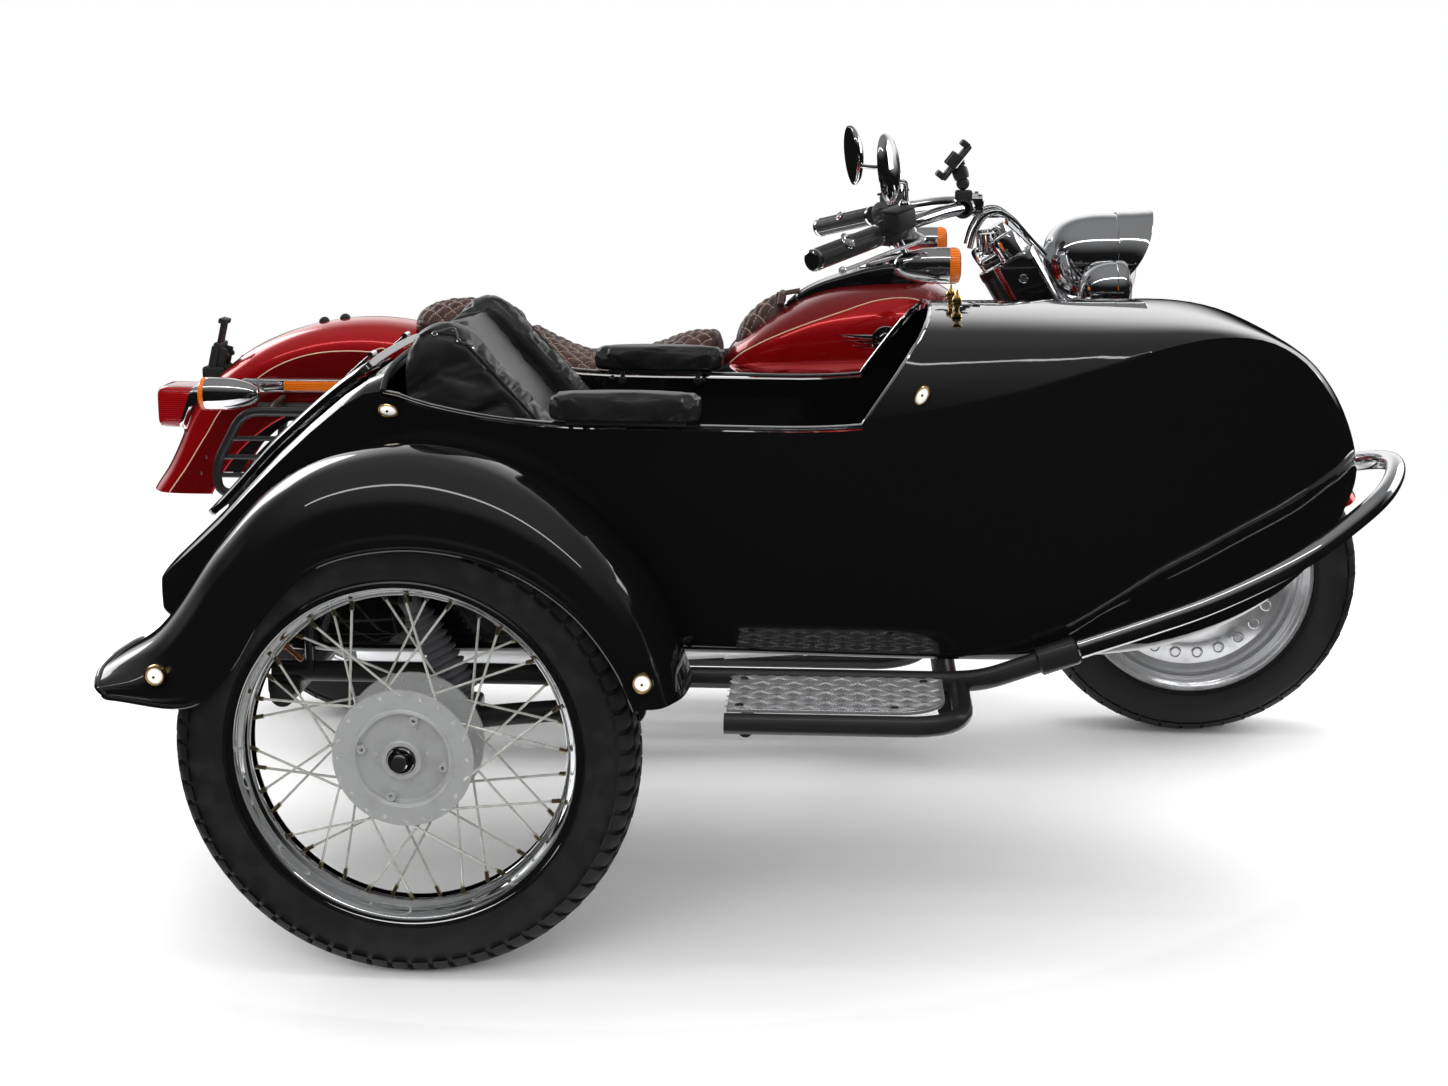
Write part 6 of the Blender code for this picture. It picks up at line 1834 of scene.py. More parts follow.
def tank():
    form = Form()
    start, end = tankLook["half"][0][0], tankLook["half"][-1][0]
    rings = []
    for k in range(73):
        x = start + (end - start) * (1 - math.cos(math.pi * k / 72)) / 2
        half, low, high = tankHalf(x), tankLow(x), tankHigh(x)
        ring = []
        for j in range(88):
            a = math.tau * j / 88
            y = half * math.copysign(abs(math.cos(a)) ** (2 / tankLook["power"]), math.cos(a))
            z = (low + high) / 2 + (high - low) / 2 * math.copysign(abs(math.sin(a)) ** (2 / tankLook["power"]), math.sin(a))
            ring.append(Vector((x, y, z)))
        rings.append(ring)
    form.loft(rings)
    made = form.object("fuelTankShell", angle=60)
    deep = made.data.attributes.new("deep", "FLOAT", "POINT").data
    for value, v in zip(deep, made.data.vertices):
        place = v.co - ground
        value.value = min(1.0, max(0.0, (place.z - tankStripe(place.x)) / 0.004 + 0.5)) * 0.8
    settle(made, "chassis", red, "fuel_tank")
    stripe = Form()
    for side in (-1, 1):
        line = [tankSkin(x, tankStripe(x), side,
                         0.0002)[0] for x in (0.718 + (1.150 - 0.718) * k / 90 for k in range(91))]
        stripe.tube(line, tankLook["line"], 8)
    stripe.piece("tankPinstripes", "chassis", creamLine, "red_paint")
    seam = Form()
    low = [tankSkin(x, tankLow(x) + 0.012, s,
                    0.0)[0] for s in (-1,) for x in (0.73 + 0.41 * k / 40 for k in range(41))]
    seam.tube(low, 0.0022, 8)
    seam.tube([Vector((p.x, -p.y, p.z)) for p in low], 0.0022, 8)
    seam.piece("tankSeam", "chassis", red, "red_paint")


def badge():
    # a winged disc with a plain ring of ticks and no lettering
    for side, tag in ((-1, "Right"), (1, "Left")):
        centre, normal = tankSkin(1.0185, 0.8010, side, 0.001)
        along = (Vector((1, 0, 0)) - normal * normal.x).normalized()
        up = normal.cross(along) if normal.cross(along).z > 0 else along.cross(normal)
        disc = Form()
        disc.lathe([(0.0275, -0.003), (0.0275, 0.0030), (0.0262, 0.0045), (0.0240, 0.0045), (0.0232,
                0.0030)], centre, normal, 64,
                   closed=True)
        disc.lathe([(0.0150, 0.002), (0.0150, 0.0040), (0.0138, 0.0050), (0.0125, 0.0040), (0.0125,
                0.002)], centre, normal, 48,
                   closed=True)
        disc.lathe([(0.0070, 0.002), (0.0066, 0.0052), (0.0040, 0.0062), (0, 0.0064)], centre, normal, 32)
        disc.piece("badgeRing" + tag, "chassis", chrome, "chrome")
        face = Form()
        face.lathe([(0.0236, -0.002), (0.0236, 0.0024), (0, 0.0024)], centre, normal, 64)
        face.piece("badgeFace" + tag, "chassis", black, "black_paint")
        ticks = []
        for k in range(20):
            a = math.tau * k / 20
            out = along * math.cos(a) + up * math.sin(a)
            ticks.append((centre + out * 0.0192 + normal * 0.0024, out, normal, 1.0 if k % 2 else 0.7))
        bar = Form()
        bar.block((-0.0027, -0.0007, -0.0002), (0.0027, 0.0007, 0.0008), None, 0.0002, 1)
        stamped("badgeTicks" + tag, bar.object("tick"), ticks, "chassis", chrome)
        wings = Form()
        for n, (top, low, reach) in enumerate(((0.0105, 0.0018, 0.098), (0.0005, -0.0065, 0.080),
                                               (-0.0078, -0.0135, 0.062))):
            rings = []
            for k in range(12):
                t = k / 11
                x = centre.x - 0.024 - (reach - 0.024) * t
                height = (top - low) * (1 - 0.86 * t ** 1.5)
                z0 = centre.z + top - 0.001 * n
                ring = []
                for dz, lift in ((0, 0.0002), (-0.25, 0.0030), (-0.75, 0.0026), (-1, 0.0002), (-1,
                        -0.003), (0, -0.003)):
                    place, out = tankSkin(x, z0 + height * dz, side)
                    ring.append(place + out * lift * (1 - 0.5 * t))
                rings.append(ring)
            wings.loft(rings)
        wings.piece("badgeWing" + tag, "chassis", chrome, "chrome", angle=25)


def console():
    look = [(0.826, 0.026, 0.004), (0.850, 0.034, 0.012), (0.930, 0.046, 0.020), (0.990, 0.062, 0.030),
            (1.050, 0.064, 0.032),
            (1.085, 0.050, 0.018), (1.100, 0.034, 0.004)]
    halfAt, riseAt = heightCurve([(a, b) for a, b, c in look]), heightCurve([(a, c) for a, b, c in look])

    def section(x, grow=1.0, lift=0.0):
        half, rise = halfAt(x) * grow, riseAt(x) + lift
        ring = []
        for k in range(23):
            t = -1 + 2 * k / 22
            y = half * math.copysign(abs(math.sin(t * math.pi / 2)) ** 0.7, t)
            high = tankHigh(x) + rise * max(0.0, 1 - abs(t) ** 5.0) ** 0.5
            edge = tankSkin(x, tankHigh(x) - 0.002, 1)[0]
            ring.append(Vector((x, y, high - 0.010 * abs(t) ** 6)))
        return ring
    form = Form()
    rings = []
    for k in range(41):
        x = 0.826 + (1.100 - 0.826) * k / 40
        top = section(x)
        rings.append(top + [Vector((p.x, p.y, p.z - 0.018)) for p in reversed(top)])
    form.loft(rings)
    form.piece("consoleShell", "chassis", black, "black_paint", "tank_console", angle=50)
    trim = Form()
    for index in (0, 22):
        line = []
        for k in range(40):
            x = 0.828 + (1.096 - 0.828) * k / 39
            p = section(x)[index]
            line.append(Vector((p.x, p.y * 1.02, p.z + 0.0005)))
        trim.tube(line, 0.0022, 8)
    trim.tube([p + Vector((-0.001, 0, 0.001)) for p in section(0.846)], 0.0034, 10)
    dial = Vector((1.012, 0, tankHigh(1.012) + riseAt(1.012)))
    lean = Vector((-0.28, 0, 1)).normalized()
    trim.lathe([(0.047, -0.012), (0.047, 0.004), (0.044, 0.008), (0.040, 0.007), (0.039, 0.003)], dial,
               lean, 64, closed=True)
    trim.piece("consoleTrim", "chassis", chrome, "chrome")
    glass = Form()
    glass.lathe([(0.0395, 0.0035), (0.030, 0.0052), (0.015, 0.0060), (0, 0.0062)], dial, lean, 48)
    glass.piece("consoleDialGlass", "chassis", black, "clear_glass")
    for side in (1,):
        cap = Form()
        top, out = tankSkin(0.930, tankHigh(0.930) - 0.012, side)
        cap.lathe([(0.031, -0.006), (0.031, 0.005), (0.028, 0.010), (0.018, 0.013), (0, 0.0138)], top,
                  out, 48)
        cap.lathe([(0.0075, 0.012), (0.0075, 0.0145), (0, 0.0148)], top, out, 20)
        cap.piece("fuelCap" + ("Right" if side < 0 else "Left"), "chassis", chrome, "chrome")
    strap = Form()
    rows = []
    for k in range(15):
        t = k / 14
        x = 0.806 + 0.045 * t
        z = 0.866 + (tankHigh(0.851) + riseAt(0.851) - 0.866) * t
        rows.append([Vector((x, y, z + d)) for y, d in ((-0.026, 0), (-0.026, 0.003), (0.026, 0.003),
                                                        (0.026, 0))])
    strap.loft(rows)
    for j in range(5):
        y = -0.020 + 0.010 * j
        strap.tube([(r[1].x, y, r[1].z) for r in rows], 0.0022, 8)
    strap.piece("consoleStrap", "chassis", brownHide, "brown_leather")


creamLine = Paint("cream pinstripe", (0.60, 0.42, 0.28), 0.3, coat=0.6, coatRough=0.05)
creamLine.put("Roughness", creamLine.ramp(creamLine.cloud(60.0), 0.3, 0.7, 0.25, 0.38))
tank()
badge()
console()
print("tank,", pieceCount, "pieces")


# ---- front end, all on the steering ----
forkBack = -(0.321 * math.sin(rakeAngle) - 0.147 * math.cos(rakeAngle))
barLine = [(0.882, 0.42, 0.970), (1.0715, 0.205, 1.0272), (1.125, 0.14, 1.040), (1.178, 0.08, 1.045)]


def barAt(y):
    table = sorted((p[1], p[0], p[2]) for p in barLine)
    reach = max(table[0][0], min(table[-1][0], abs(y)))
    for a, b in zip(table, table[1:]):
        if a[0] <= reach <= b[0]:
            t = (reach - a[0]) / (b[0] - a[0])
            return Vector((a[1] + (b[1] - a[1]) * t, y, a[2] + (b[2] - a[2]) * t))


def barTurn(place, side):
    along = (barAt(side * 0.28) - barAt(side * 0.24)).normalized() * side
    ahead = along.cross(upward).normalized()
    return Matrix.Translation(place) @ Matrix((ahead, along, ahead.cross(along))).transposed().to_4x4()


def forkTurn():
    turn = Matrix.Identity(4)
    for k, column in enumerate((forkAhead, across, forkUp)):
        for row in range(3):
            turn[row][k] = column[row]
    for row in range(3):
        turn[row][3] = frontHub[row]
    return turn


def fork():
    form = Form()
    for s in (-1, 1):
        base = onFork(0, s * 0.125)
        form.lathe([(0.0, -0.045), (0.012, -0.045), (0.020, -0.040), (0.029, -0.030), (0.031, -0.018),
                    (0.031, 0.320),
                    (0.0325, 0.323), (0.0325, 0.350), (0.030, 0.356), (0.024, 0.360), (0.024, 0.56)],
                    base, forkUp, 40)
        form.lathe([(0.024, 0.556), (0.0435, 0.558), (0.044, 0.562), (0.044, 0.736), (0.0425, 0.741),
                    (0.027, 0.742),
                    (0.027, 0.776), (0.024, 0.784), (0.0, 0.786)], base, forkUp, 48)
        form.lathe([(0.0, 0.0), (0.017, 0.0), (0.019, 0.002), (0.019, 0.010), (0.016, 0.013), (0.0, 0.014)],
                   frontHub + across * s * 0.124, (0, s, 0), 6)
        riser = onFork(0.750, s * 0.055, forkBack)
        form.lathe([(0.019, 0.0), (0.019, 0.012), (0.016, 0.016), (0.016, 0.050)], riser, Vector((-0.096,
                0, 1)), 28)
    half = 0.137
    for low, high in ((0.494, 0.534), (0.737, 0.765)):
        form.block((-0.062, -half, low), (0.027, half, high), forkTurn(), 0.010, 4)
    form.rod(frontHub - across * 0.132, frontHub + across * 0.132, 0.011, 24)
    form.piece("forkLegsAndClamps", "steering", chrome, "chrome", "front_fork", bevel=0.0006)
    ears, rims, bolts = Form(), Form(), Form()
    for s in (-1, 1):
        outline = [(-0.034, 0.548), (0.022, 0.548), (0.026, 0.560), (0.026, 0.728), (0.012, 0.742),
                   (-0.034, 0.742)]
        rings = []
        for grow, y in ((1.0, 0.150), (1.0, 0.1715), (0.96, 0.1745)):
            middle = Vector((-0.004, 0, 0.645))
            rings.append([forkTurn() @ Vector((middle.x + (a - middle.x) * grow, s * y,
                                               middle.z + (z - middle.z) * grow))
                          for a, z in ((p.x, p.z) for p in bentLine([(a, 0, z) for a, z in outline],
                                  0.012, 5, True))])
        ears.loft(rings)
        rims.tube([forkTurn() @ Vector((0.029, s * 0.172, z)) for z in (0.552, 0.60, 0.66, 0.726)],
                  0.0038, 10)
        for z in (0.592, 0.700):
            bolts.lathe([(0.0085, 0), (0.0085, 0.0016), (0.0068, 0.0034), (0.0040, 0.0036), (0.0034,
                    0.0020), (0, 0.0020)],
                        forkTurn() @ Vector((-0.004, s * 0.1742, z)), (0, s, 0), 24)
    ears.piece("forkCoverPanels", "steering", black, "satin_black", bevel=0.001)
    rims.piece("forkCoverEdges", "steering", chrome, "chrome")
    bolts.piece("forkCoverBolts", "steering", chrome, "chrome")
    caliper = Form()
    caliper.block((-0.095, 0.052, 0.092), (-0.026, 0.092, 0.150), forkTurn(), 0.010, 4)
    caliper.block((-0.040, 0.088, 0.100), (0.004, 0.106, 0.140), forkTurn(), 0.005, 3)
    for a, z in ((-0.078, 0.106), (-0.050, 0.136), (-0.020, 0.108), (-0.020, 0.132)):
        caliper.bolt(forkTurn() @ Vector((a, 0.092 if a < -0.04 else 0.106, z)), across, 0.0065, 0.006)
    caliper.piece("frontCaliper", "steering", chrome, "chrome", bevel=0.0006)
    sleeve = Form()
    for s in (-1, 1):
        sleeve.lathe([(0.0252, 0.360), (0.0270, 0.363), (0.0270, 0.372), (0.0250, 0.376)], onFork(0,
                s * 0.125), forkUp, 32)
    sleeve.piece("forkSeals", "steering", soft, "soft_rubber")


def headlampGroup():
    centre, r = Vector((1.322, 0, 0.940)), 0.088
    ahead = Vector((1, 0, 0))
    form = Form()
    profile = smoothLine([(0, 0, 0), (0.024, 0.0012, 0), (0.046, 0.0085, 0), (0.065, 0.026, 0), (0.078,
            0.050, 0),
                          (0.0855, 0.082, 0), (r, 0.112, 0), (r, 0.134, 0)], 6)
    outline = [(p.x, p.y) for p in profile] + [(0.0885, 0.1345), (0.0885, 0.1375), (0.0908, 0.138),
                                               (0.0915, 0.142),
                                               (0.0915, 0.148), (0.0895, 0.153), (0.0865, 0.157),
                                               (0.0835, 0.158),
                                               (0.0825, 0.155)]
    outline += [(0.078, 0.140), (0.060, 0.112), (0.036, 0.092), (0.012, 0.084), (0, 0.083)]
    form.lathe(outline, centre, ahead, 72)
    form.tube([(1.318, 0, 0.862), (1.330, 0, 0.845), (1.352, 0, 0.838), (1.400, 0, 0.850)], 0.010, 14)
    for s in (-1, 1):
        form.rod((1.352, 0, 0.925), (1.352, s * 0.0, 0.926), 0.004, 8)
    form.piece("headlampShell", "steering", chrome, "chrome", "headlamp", angle=40)
    peak = Form()
    rings = []
    for k in range(41):
        a = math.radians(-104 + 208 * k / 40)
        share = abs(a) / math.radians(104)
        reach = 0.204 - 0.030 * share ** 2 - 0.020 * share ** 5
        row = []
        for along, rise in ((0.136, 0.0025), (0.146, 0.0038), (0.165, 0.0042), (reach - 0.006, 0.0060),
                            (reach, 0.0075),
                            (reach + 0.0008, 0.0062), (reach - 0.006, 0.0040), (0.165, 0.0022), (0.140,
                                    0.0006)):
            along = min(along, reach + 0.0008)
            row.append(centre + Vector((along, math.sin(a) * (r + rise), math.cos(a) * (r + rise))))
        rings.append(row)
    peak.loft(rings)
    peak.piece("headlampPeak", "steering", chrome, "chrome", angle=40)
    glass = Form()
    glass.lathe([(0.0832, 0.1555), (0.0815, 0.160), (0.068, 0.168), (0.046, 0.1745), (0.022, 0.1775), (0,
            0.1785)], centre,
                ahead, 56)
    glass.piece("headlampGlass", "steering", clear, "clear_glass")
    inside = Form()
    inside.lathe([(0.0815, 0.152), (0.078, 0.141), (0.060, 0.1135), (0.036, 0.0935), (0.012, 0.0855), (0,
            0.0845)], centre,
                 ahead, 56)
    inside.lathe([(0.011, 0.086), (0.011, 0.104), (0.008, 0.112), (0, 0.114)], centre, ahead, 24)
    inside.piece("headlampReflector", "steering", silver, "chrome")
    arch = Form()
    for s in (-1, 1):
        y = s * 0.058
        arch.tube(smoothLine([(1.176, y, 0.965), (1.186, y, 1.000), (1.208, y, 1.030), (1.232, y, 1.034),
                              (1.256, y, 1.020),
                              (1.300, y, 0.975), (1.322, y, 0.952)], 8), 0.0065, 12)
    arch.block((1.196, -0.056, 1.0225), (1.246, 0.056, 1.0275), None, 0.002, 2)
    rings = []
    for k in range(12):
        t = k / 11
        x = 1.250 + 0.085 * t
        z = 1.024 - 0.074 * t
        rings.append([Vector((x, y, z - 6 * y * y)) for y in (-0.050 + 0.01 * j for j in range(11))]
                     + [Vector((x, y,
                                z - 0.003 - 6 * y * y)) for y in (0.050 - 0.01 * j for j in range(11))])
    arch.loft(rings)
    arch.piece("headlampArch", "steering", chrome, "chrome")
    shells, lenses, rimsLamp = Form(), Form(), Form()
    shells.rod((1.432, -0.170, 0.837), (1.432, 0.170, 0.837), 0.008, 16)
    shells.tube([(1.352, 0, 0.842), (1.400, 0, 0.838), (1.432, 0, 0.837)], 0.009, 12)
    for s in (-1, 1):
        lamp = Vector((1.374, s * 0.170, 0.896))
        curve = smoothLine([(0, 0, 0), (0.018, 0.001, 0), (0.034, 0.010, 0), (0.047, 0.028, 0), (0.0535,
                0.050, 0),
                            (0.0545, 0.062, 0)], 6)
        shells.lathe([(p.x, p.y) for p in curve] + [(0.0545, 0.0655), (0.0560, 0.0665), (0.0568, 0.072),
                                                    (0.0562, 0.080),
                                                    (0.0535, 0.0855), (0.0505, 0.0865), (0.0490, 0.084),
                                                    (0.030, 0.060),
                                                    (0, 0.052)], lamp, ahead, 56)
        shells.rod(lamp + Vector((0.056, 0, -0.059)), lamp + Vector((0.050, 0, -0.045)), 0.009, 16)
        lenses.lathe([(0.0500, 0.0855), (0.044, 0.090), (0.028, 0.0945), (0.012, 0.0962), (0, 0.0966)],
                     lamp, ahead, 48)
        rimsLamp.lathe([(0.0485, 0.083), (0.030, 0.0608), (0, 0.0530)], lamp, ahead, 40)
    shells.piece("passingLampShells", "steering", chrome, "chrome", "passing_lamps", angle=40)
    lenses.piece("passingLampGlass", "steering", clear, "clear_glass")
    rimsLamp.piece("passingLampReflectors", "steering", silver, "chrome")


def bars():
    form = Form()
    line = [barAt(y) for y in (-0.229, -0.207, -0.140, -0.080)]
    whole = line + [Vector((p.x, -p.y, p.z)) for p in reversed(line)]
    form.tube(bentLine(whole, 0.030, 8), 0.0127, 24)
    for s in (-1, 1):
        place = barAt(s * 0.08)
        form.block((-0.021, -0.016, -0.018), (0.021, 0.016, 0.019),
                   Matrix.Translation(Vector((place.x + 0.002, s * 0.055, place.z))),
                   0.006, 3)
        for dx in (-0.014, 0.014):
            form.bolt((place.x + 0.002 + dx, s * 0.055, place.z + 0.018), upward, 0.004, 0.004)
    form.piece("handlebarTube", "steering", chrome, "chrome", "handlebar")
    for tag, s in sides:
        inner, outer = barAt(s * 0.2295), barAt(s * 0.2895)
        middle, along = (inner + outer) / 2, (outer - inner).normalized()
        turn = barTurn(middle, s)
        case = Form()
        case.lathe([(0.0135, 0), (0.0195, 0.0005), (0.0225, 0.004), (0.0238, 0.014), (0.0240, 0.040),
                    (0.0246, 0.050),
                    (0.0246, 0.058), (0.0228, 0.0625), (0.0195, 0.0635), (0.0135, 0.0635)], inner, along,
                    40)
        case.block((-0.020, -0.020, -0.026), (0.010, 0.022, -0.006), turn, 0.006, 3)
        case.block((0.004, -0.030, 0.002), (0.042, 0.026, 0.040), turn, 0.007, 3)
        case.block((0.002, -0.031, 0.0385), (0.043, 0.027, 0.0435), turn, 0.002, 2)
        case.block((0.012, -0.026, -0.012), (0.034, 0.006, 0.006), turn, 0.004, 2)
        case.piece("controlHousing" + tag.capitalize(), "steering", crinkle, "satin_black",
                   "controls_" + tag, bevel=0.0006)
        buttons = Form()
        for dx, dz in ((-0.0215, -0.010), (-0.0215, -0.020), (-0.0225, 0.006)):
            buttons.block((dx - 0.003, -0.010, dz - 0.004), (dx + 0.002, 0.004, dz + 0.004), turn,
                          0.0015, 2)
        for dx, dy in ((0.008, -0.025), (0.038, -0.025), (0.008, 0.021), (0.038, 0.021)):
            buttons.bolt(turn @ Vector((dx, dy, 0.0430)), turn.to_3x3() @ upward, 0.0022, 0.0012, dome=True)
        buttons.piece("switchButtons" + tag.capitalize(), "steering", plastic, "satin_black")
        lever = Form()
        tip = [middle + Vector((0.020, s * -0.004, 0.002)), middle + Vector((0.044, s * 0.014, -0.006)),
               middle + Vector((0.054, s * 0.040, -0.013)), barAt(s * 0.33) + Vector((0.050, 0, -0.018)),
               barAt(s * 0.375) + Vector((0.044, 0, -0.021)), barAt(s * 0.408) + Vector((0.043, 0, -0.020))]
        curve = smoothLine(tip, 8)
        thick = [0.0085 - 0.0030 * min(1, k / 22) for k in range(len(curve))]
        lever.tube(curve, thick, 16, flat=0.62, up=(0, 0, 1))
        lever.ball(curve[-1], 0.0072, steps=16)
        lever.lathe([(0.0105, -0.010), (0.0112, -0.006), (0.0112, 0.006), (0.0095, 0.009), (0.0040,
                0.010), (0, 0.010)],
                    middle + Vector((0.034, s * 0.004, -0.004)), upward, 28)
        lever.piece("handLever" + tag.capitalize(), "steering", alloy, "polished_alloy")
        signal = middle + Vector((0.062, s * 0.012, -0.062))
        bullet = Form()
        shape = smoothLine([(0, -0.058, 0), (0.009, -0.056, 0), (0.018, -0.047, 0), (0.026, -0.028, 0),
                            (0.0310, -0.004, 0),
                            (0.0328, 0.020, 0), (0.0330, 0.040, 0)], 5)
        bullet.lathe([(p.x, p.y) for p in shape] + [(0.0325, 0.0435), (0.0300, 0.0440)], signal, (1, 0,
                0), 48)
        bullet.tube(smoothLine([middle + Vector((0.010, 0, -0.012)), middle + Vector((0.022, s * 0.003,
                -0.034)),
                                signal + Vector((-0.030, 0, 0.012))], 6), 0.0068, 14)
        bullet.piece("frontSignalShell" + tag.capitalize(), "steering", chrome, "chrome")
        lensForm = Form()
        lensForm.lathe([(0.0318, 0.041), (0.0330, 0.0445), (0.0328, 0.054), (0.0295, 0.0605), (0.0200,
                0.0635), (0, 0.0648)],
                       signal, (1, 0, 0), 48)
        lensForm.piece("frontSignalLens" + tag.capitalize(), "steering", amber, "amber_lens")
        gripLine = [barAt(s * y) for y in (0.290, 0.420)]
        axis = (gripLine[1] - gripLine[0]).normalized()
        length = (gripLine[1] - gripLine[0]).length
        handle = Form()
        handle.lathe([(0.0128, 0.0), (0.0185, 0.0005), (0.0190, 0.003), (0.0190, length - 0.003),
                      (0.0182, length - 0.0008),
                      (0, length - 0.0008)], gripLine[0], axis, 48)
        handle.piece("gripSleeve" + tag.capitalize(), "steering", soft, "soft_rubber", "grip_" + tag)
        trim = Form()
        side0 = axis.orthogonal().normalized()
        side1 = axis.cross(side0)
        for k in range(10):
            a = math.tau * k / 10
            out = side0 * math.cos(a) + side1 * math.sin(a)
            trim.tube([gripLine[0] + axis * 0.010 + out * 0.0188,
                       gripLine[1] - axis * 0.010 + out * 0.0188], 0.0008, 6)
        for at in (0.004, length - 0.008):
            trim.lathe([(0.0186, -0.003), (0.0197, -0.0025), (0.0197, 0.0025), (0.0186, 0.003)],
                       gripLine[0] + axis * at, axis,
                       48, closed=True)
        trim.lathe([(0.0188, -0.001), (0.0160, 0.0012), (0, 0.0016)], gripLine[1], axis, 40)
        seen = (Vector((-0.15, -1.0, 0.35)) - axis * Vector((-0.15, -1.0, 0.35)).dot(axis)).normalized()
        if s > 0:
            seen = (Vector((-0.6, -0.3, 0.8)) - axis * Vector((-0.6, -0.3, 0.8)).dot(axis)).normalized()
        medal = gripLine[0].lerp(gripLine[1], 0.52) + seen * 0.0185
        trim.lathe([(0.0125, -0.002), (0.0125, 0.0012), (0.0110, 0.0026), (0.0095, 0.0018), (0.0085,
                0.0012), (0.0045, 0.0020),
                    (0, 0.0030)], medal, seen, 36)
        trim.piece("gripTrim" + tag.capitalize(), "steering", chrome, "chrome")


def mirrors():
    for tag, s in sides:
        foot = barAt(s * 0.262) + Vector((0.024, 0, 0.046))
        centre = Vector((0.985 - s * 0.030, s * 0.372, 1.126))
        facing = Vector((1.0, s * 0.30, 0.10)).normalized()
        side = upward.cross(facing).normalized()
        up = facing.cross(side)
        back = Form()
        glass = Form()

        def ring(scale, depth):
            made = []
            for k in range(56):
                a = math.tau * k / 56
                w = math.cos(a) * 0.0485 * (1 + 0.10 * math.sin(a))
                h = math.sin(a) * 0.0625
                made.append(centre + side * w * scale + up * h * scale + facing * depth)
            return made
        back.loft([ring(0.985, -0.0075), ring(1.0, -0.0060), ring(1.0, -0.0035), ring(0.965, 0.0005),
                   ring(0.86, 0.0060),
                   ring(0.66, 0.0105), ring(0.36, 0.0130), ring(0.06, 0.0136)])
        back.tube(smoothLine([foot, foot + Vector((0.002, s * 0.006, 0.020)), foot + Vector((0.000,
                s * 0.020, 0.040)),
                              centre + Vector((0.014, -s * 0.040, -0.020)),
                              centre + facing * 0.010 - side * 0.004], 8),
                  0.0046, 14)
        back.lathe([(0.0105, -0.004), (0.0105, 0.003), (0.0075, 0.008), (0.0055, 0.010)], foot, upward, 24)
        back.piece("mirrorShell" + tag.capitalize(), "steering", chrome, "chrome", "mirror_" + tag,
                   angle=50)
        glass.loft([ring(0.95, -0.0076), ring(0.94, -0.0086), ring(0.5, -0.0090), ring(0.05, -0.0091)])
        glass.piece("mirrorGlass" + tag.capitalize(), "steering", silver, "mirror_glass")


def phoneHolder():
    foot = barAt(-0.10)
    form = Form()
    form.lathe([(0.0132, -0.013), (0.0185, -0.012), (0.0190, 0.012), (0.0132, 0.013)], foot, Vector((1,
            -0.1, 0)).cross(upward),
               32, closed=True)
    form.block((-0.016, -0.012, 0.014), (0.016, 0.012, 0.034), Matrix.Translation(foot), 0.004, 3)
    form.ball(foot + Vector((-0.002, 0, 0.046)), 0.0125, steps=20)
    form.rod(foot + Vector((-0.002, 0, 0.046)), foot + Vector((-0.008, 0, 0.072)), 0.0075, 16)
    form.lathe([(0.0135, -0.008), (0.0150, 0.0), (0.0150, 0.010), (0.0120, 0.014)],
               foot + Vector((-0.006, 0, 0.062)),
               Vector((-0.35, 0, 1)), 28)
    tilt = Matrix.Translation(foot + Vector((-0.012, 0, 0.082))) @ Matrix.Rotation(math.radians(-52), 4,
            "Y")
    form.block((-0.040, -0.031, 0.0), (0.040, 0.031, 0.0075), tilt, 0.004, 3)
    form.block((-0.030, -0.022, 0.007), (0.030, 0.022, 0.0105), tilt, 0.002, 2)
    for sx in (-1, 1):
        form.block((sx * 0.036 - 0.006, -0.026, 0.004), (sx * 0.036 + 0.006, 0.026, 0.022), tilt, 0.003, 2)
    for sy in (-1, 1):
        form.block((-0.014, sy * 0.030 - 0.004, 0.004), (0.014, sy * 0.030 + 0.004, 0.022), tilt, 0.003, 2)
    form.bolt(tilt @ Vector((0, 0, -0.004)), tilt.to_3x3() @ Vector((0, 0, -1)), 0.011, 0.006)
    form.piece("phoneCradle", "steering", plastic, "black_plastic", "phone_holder", bevel=0.0006)


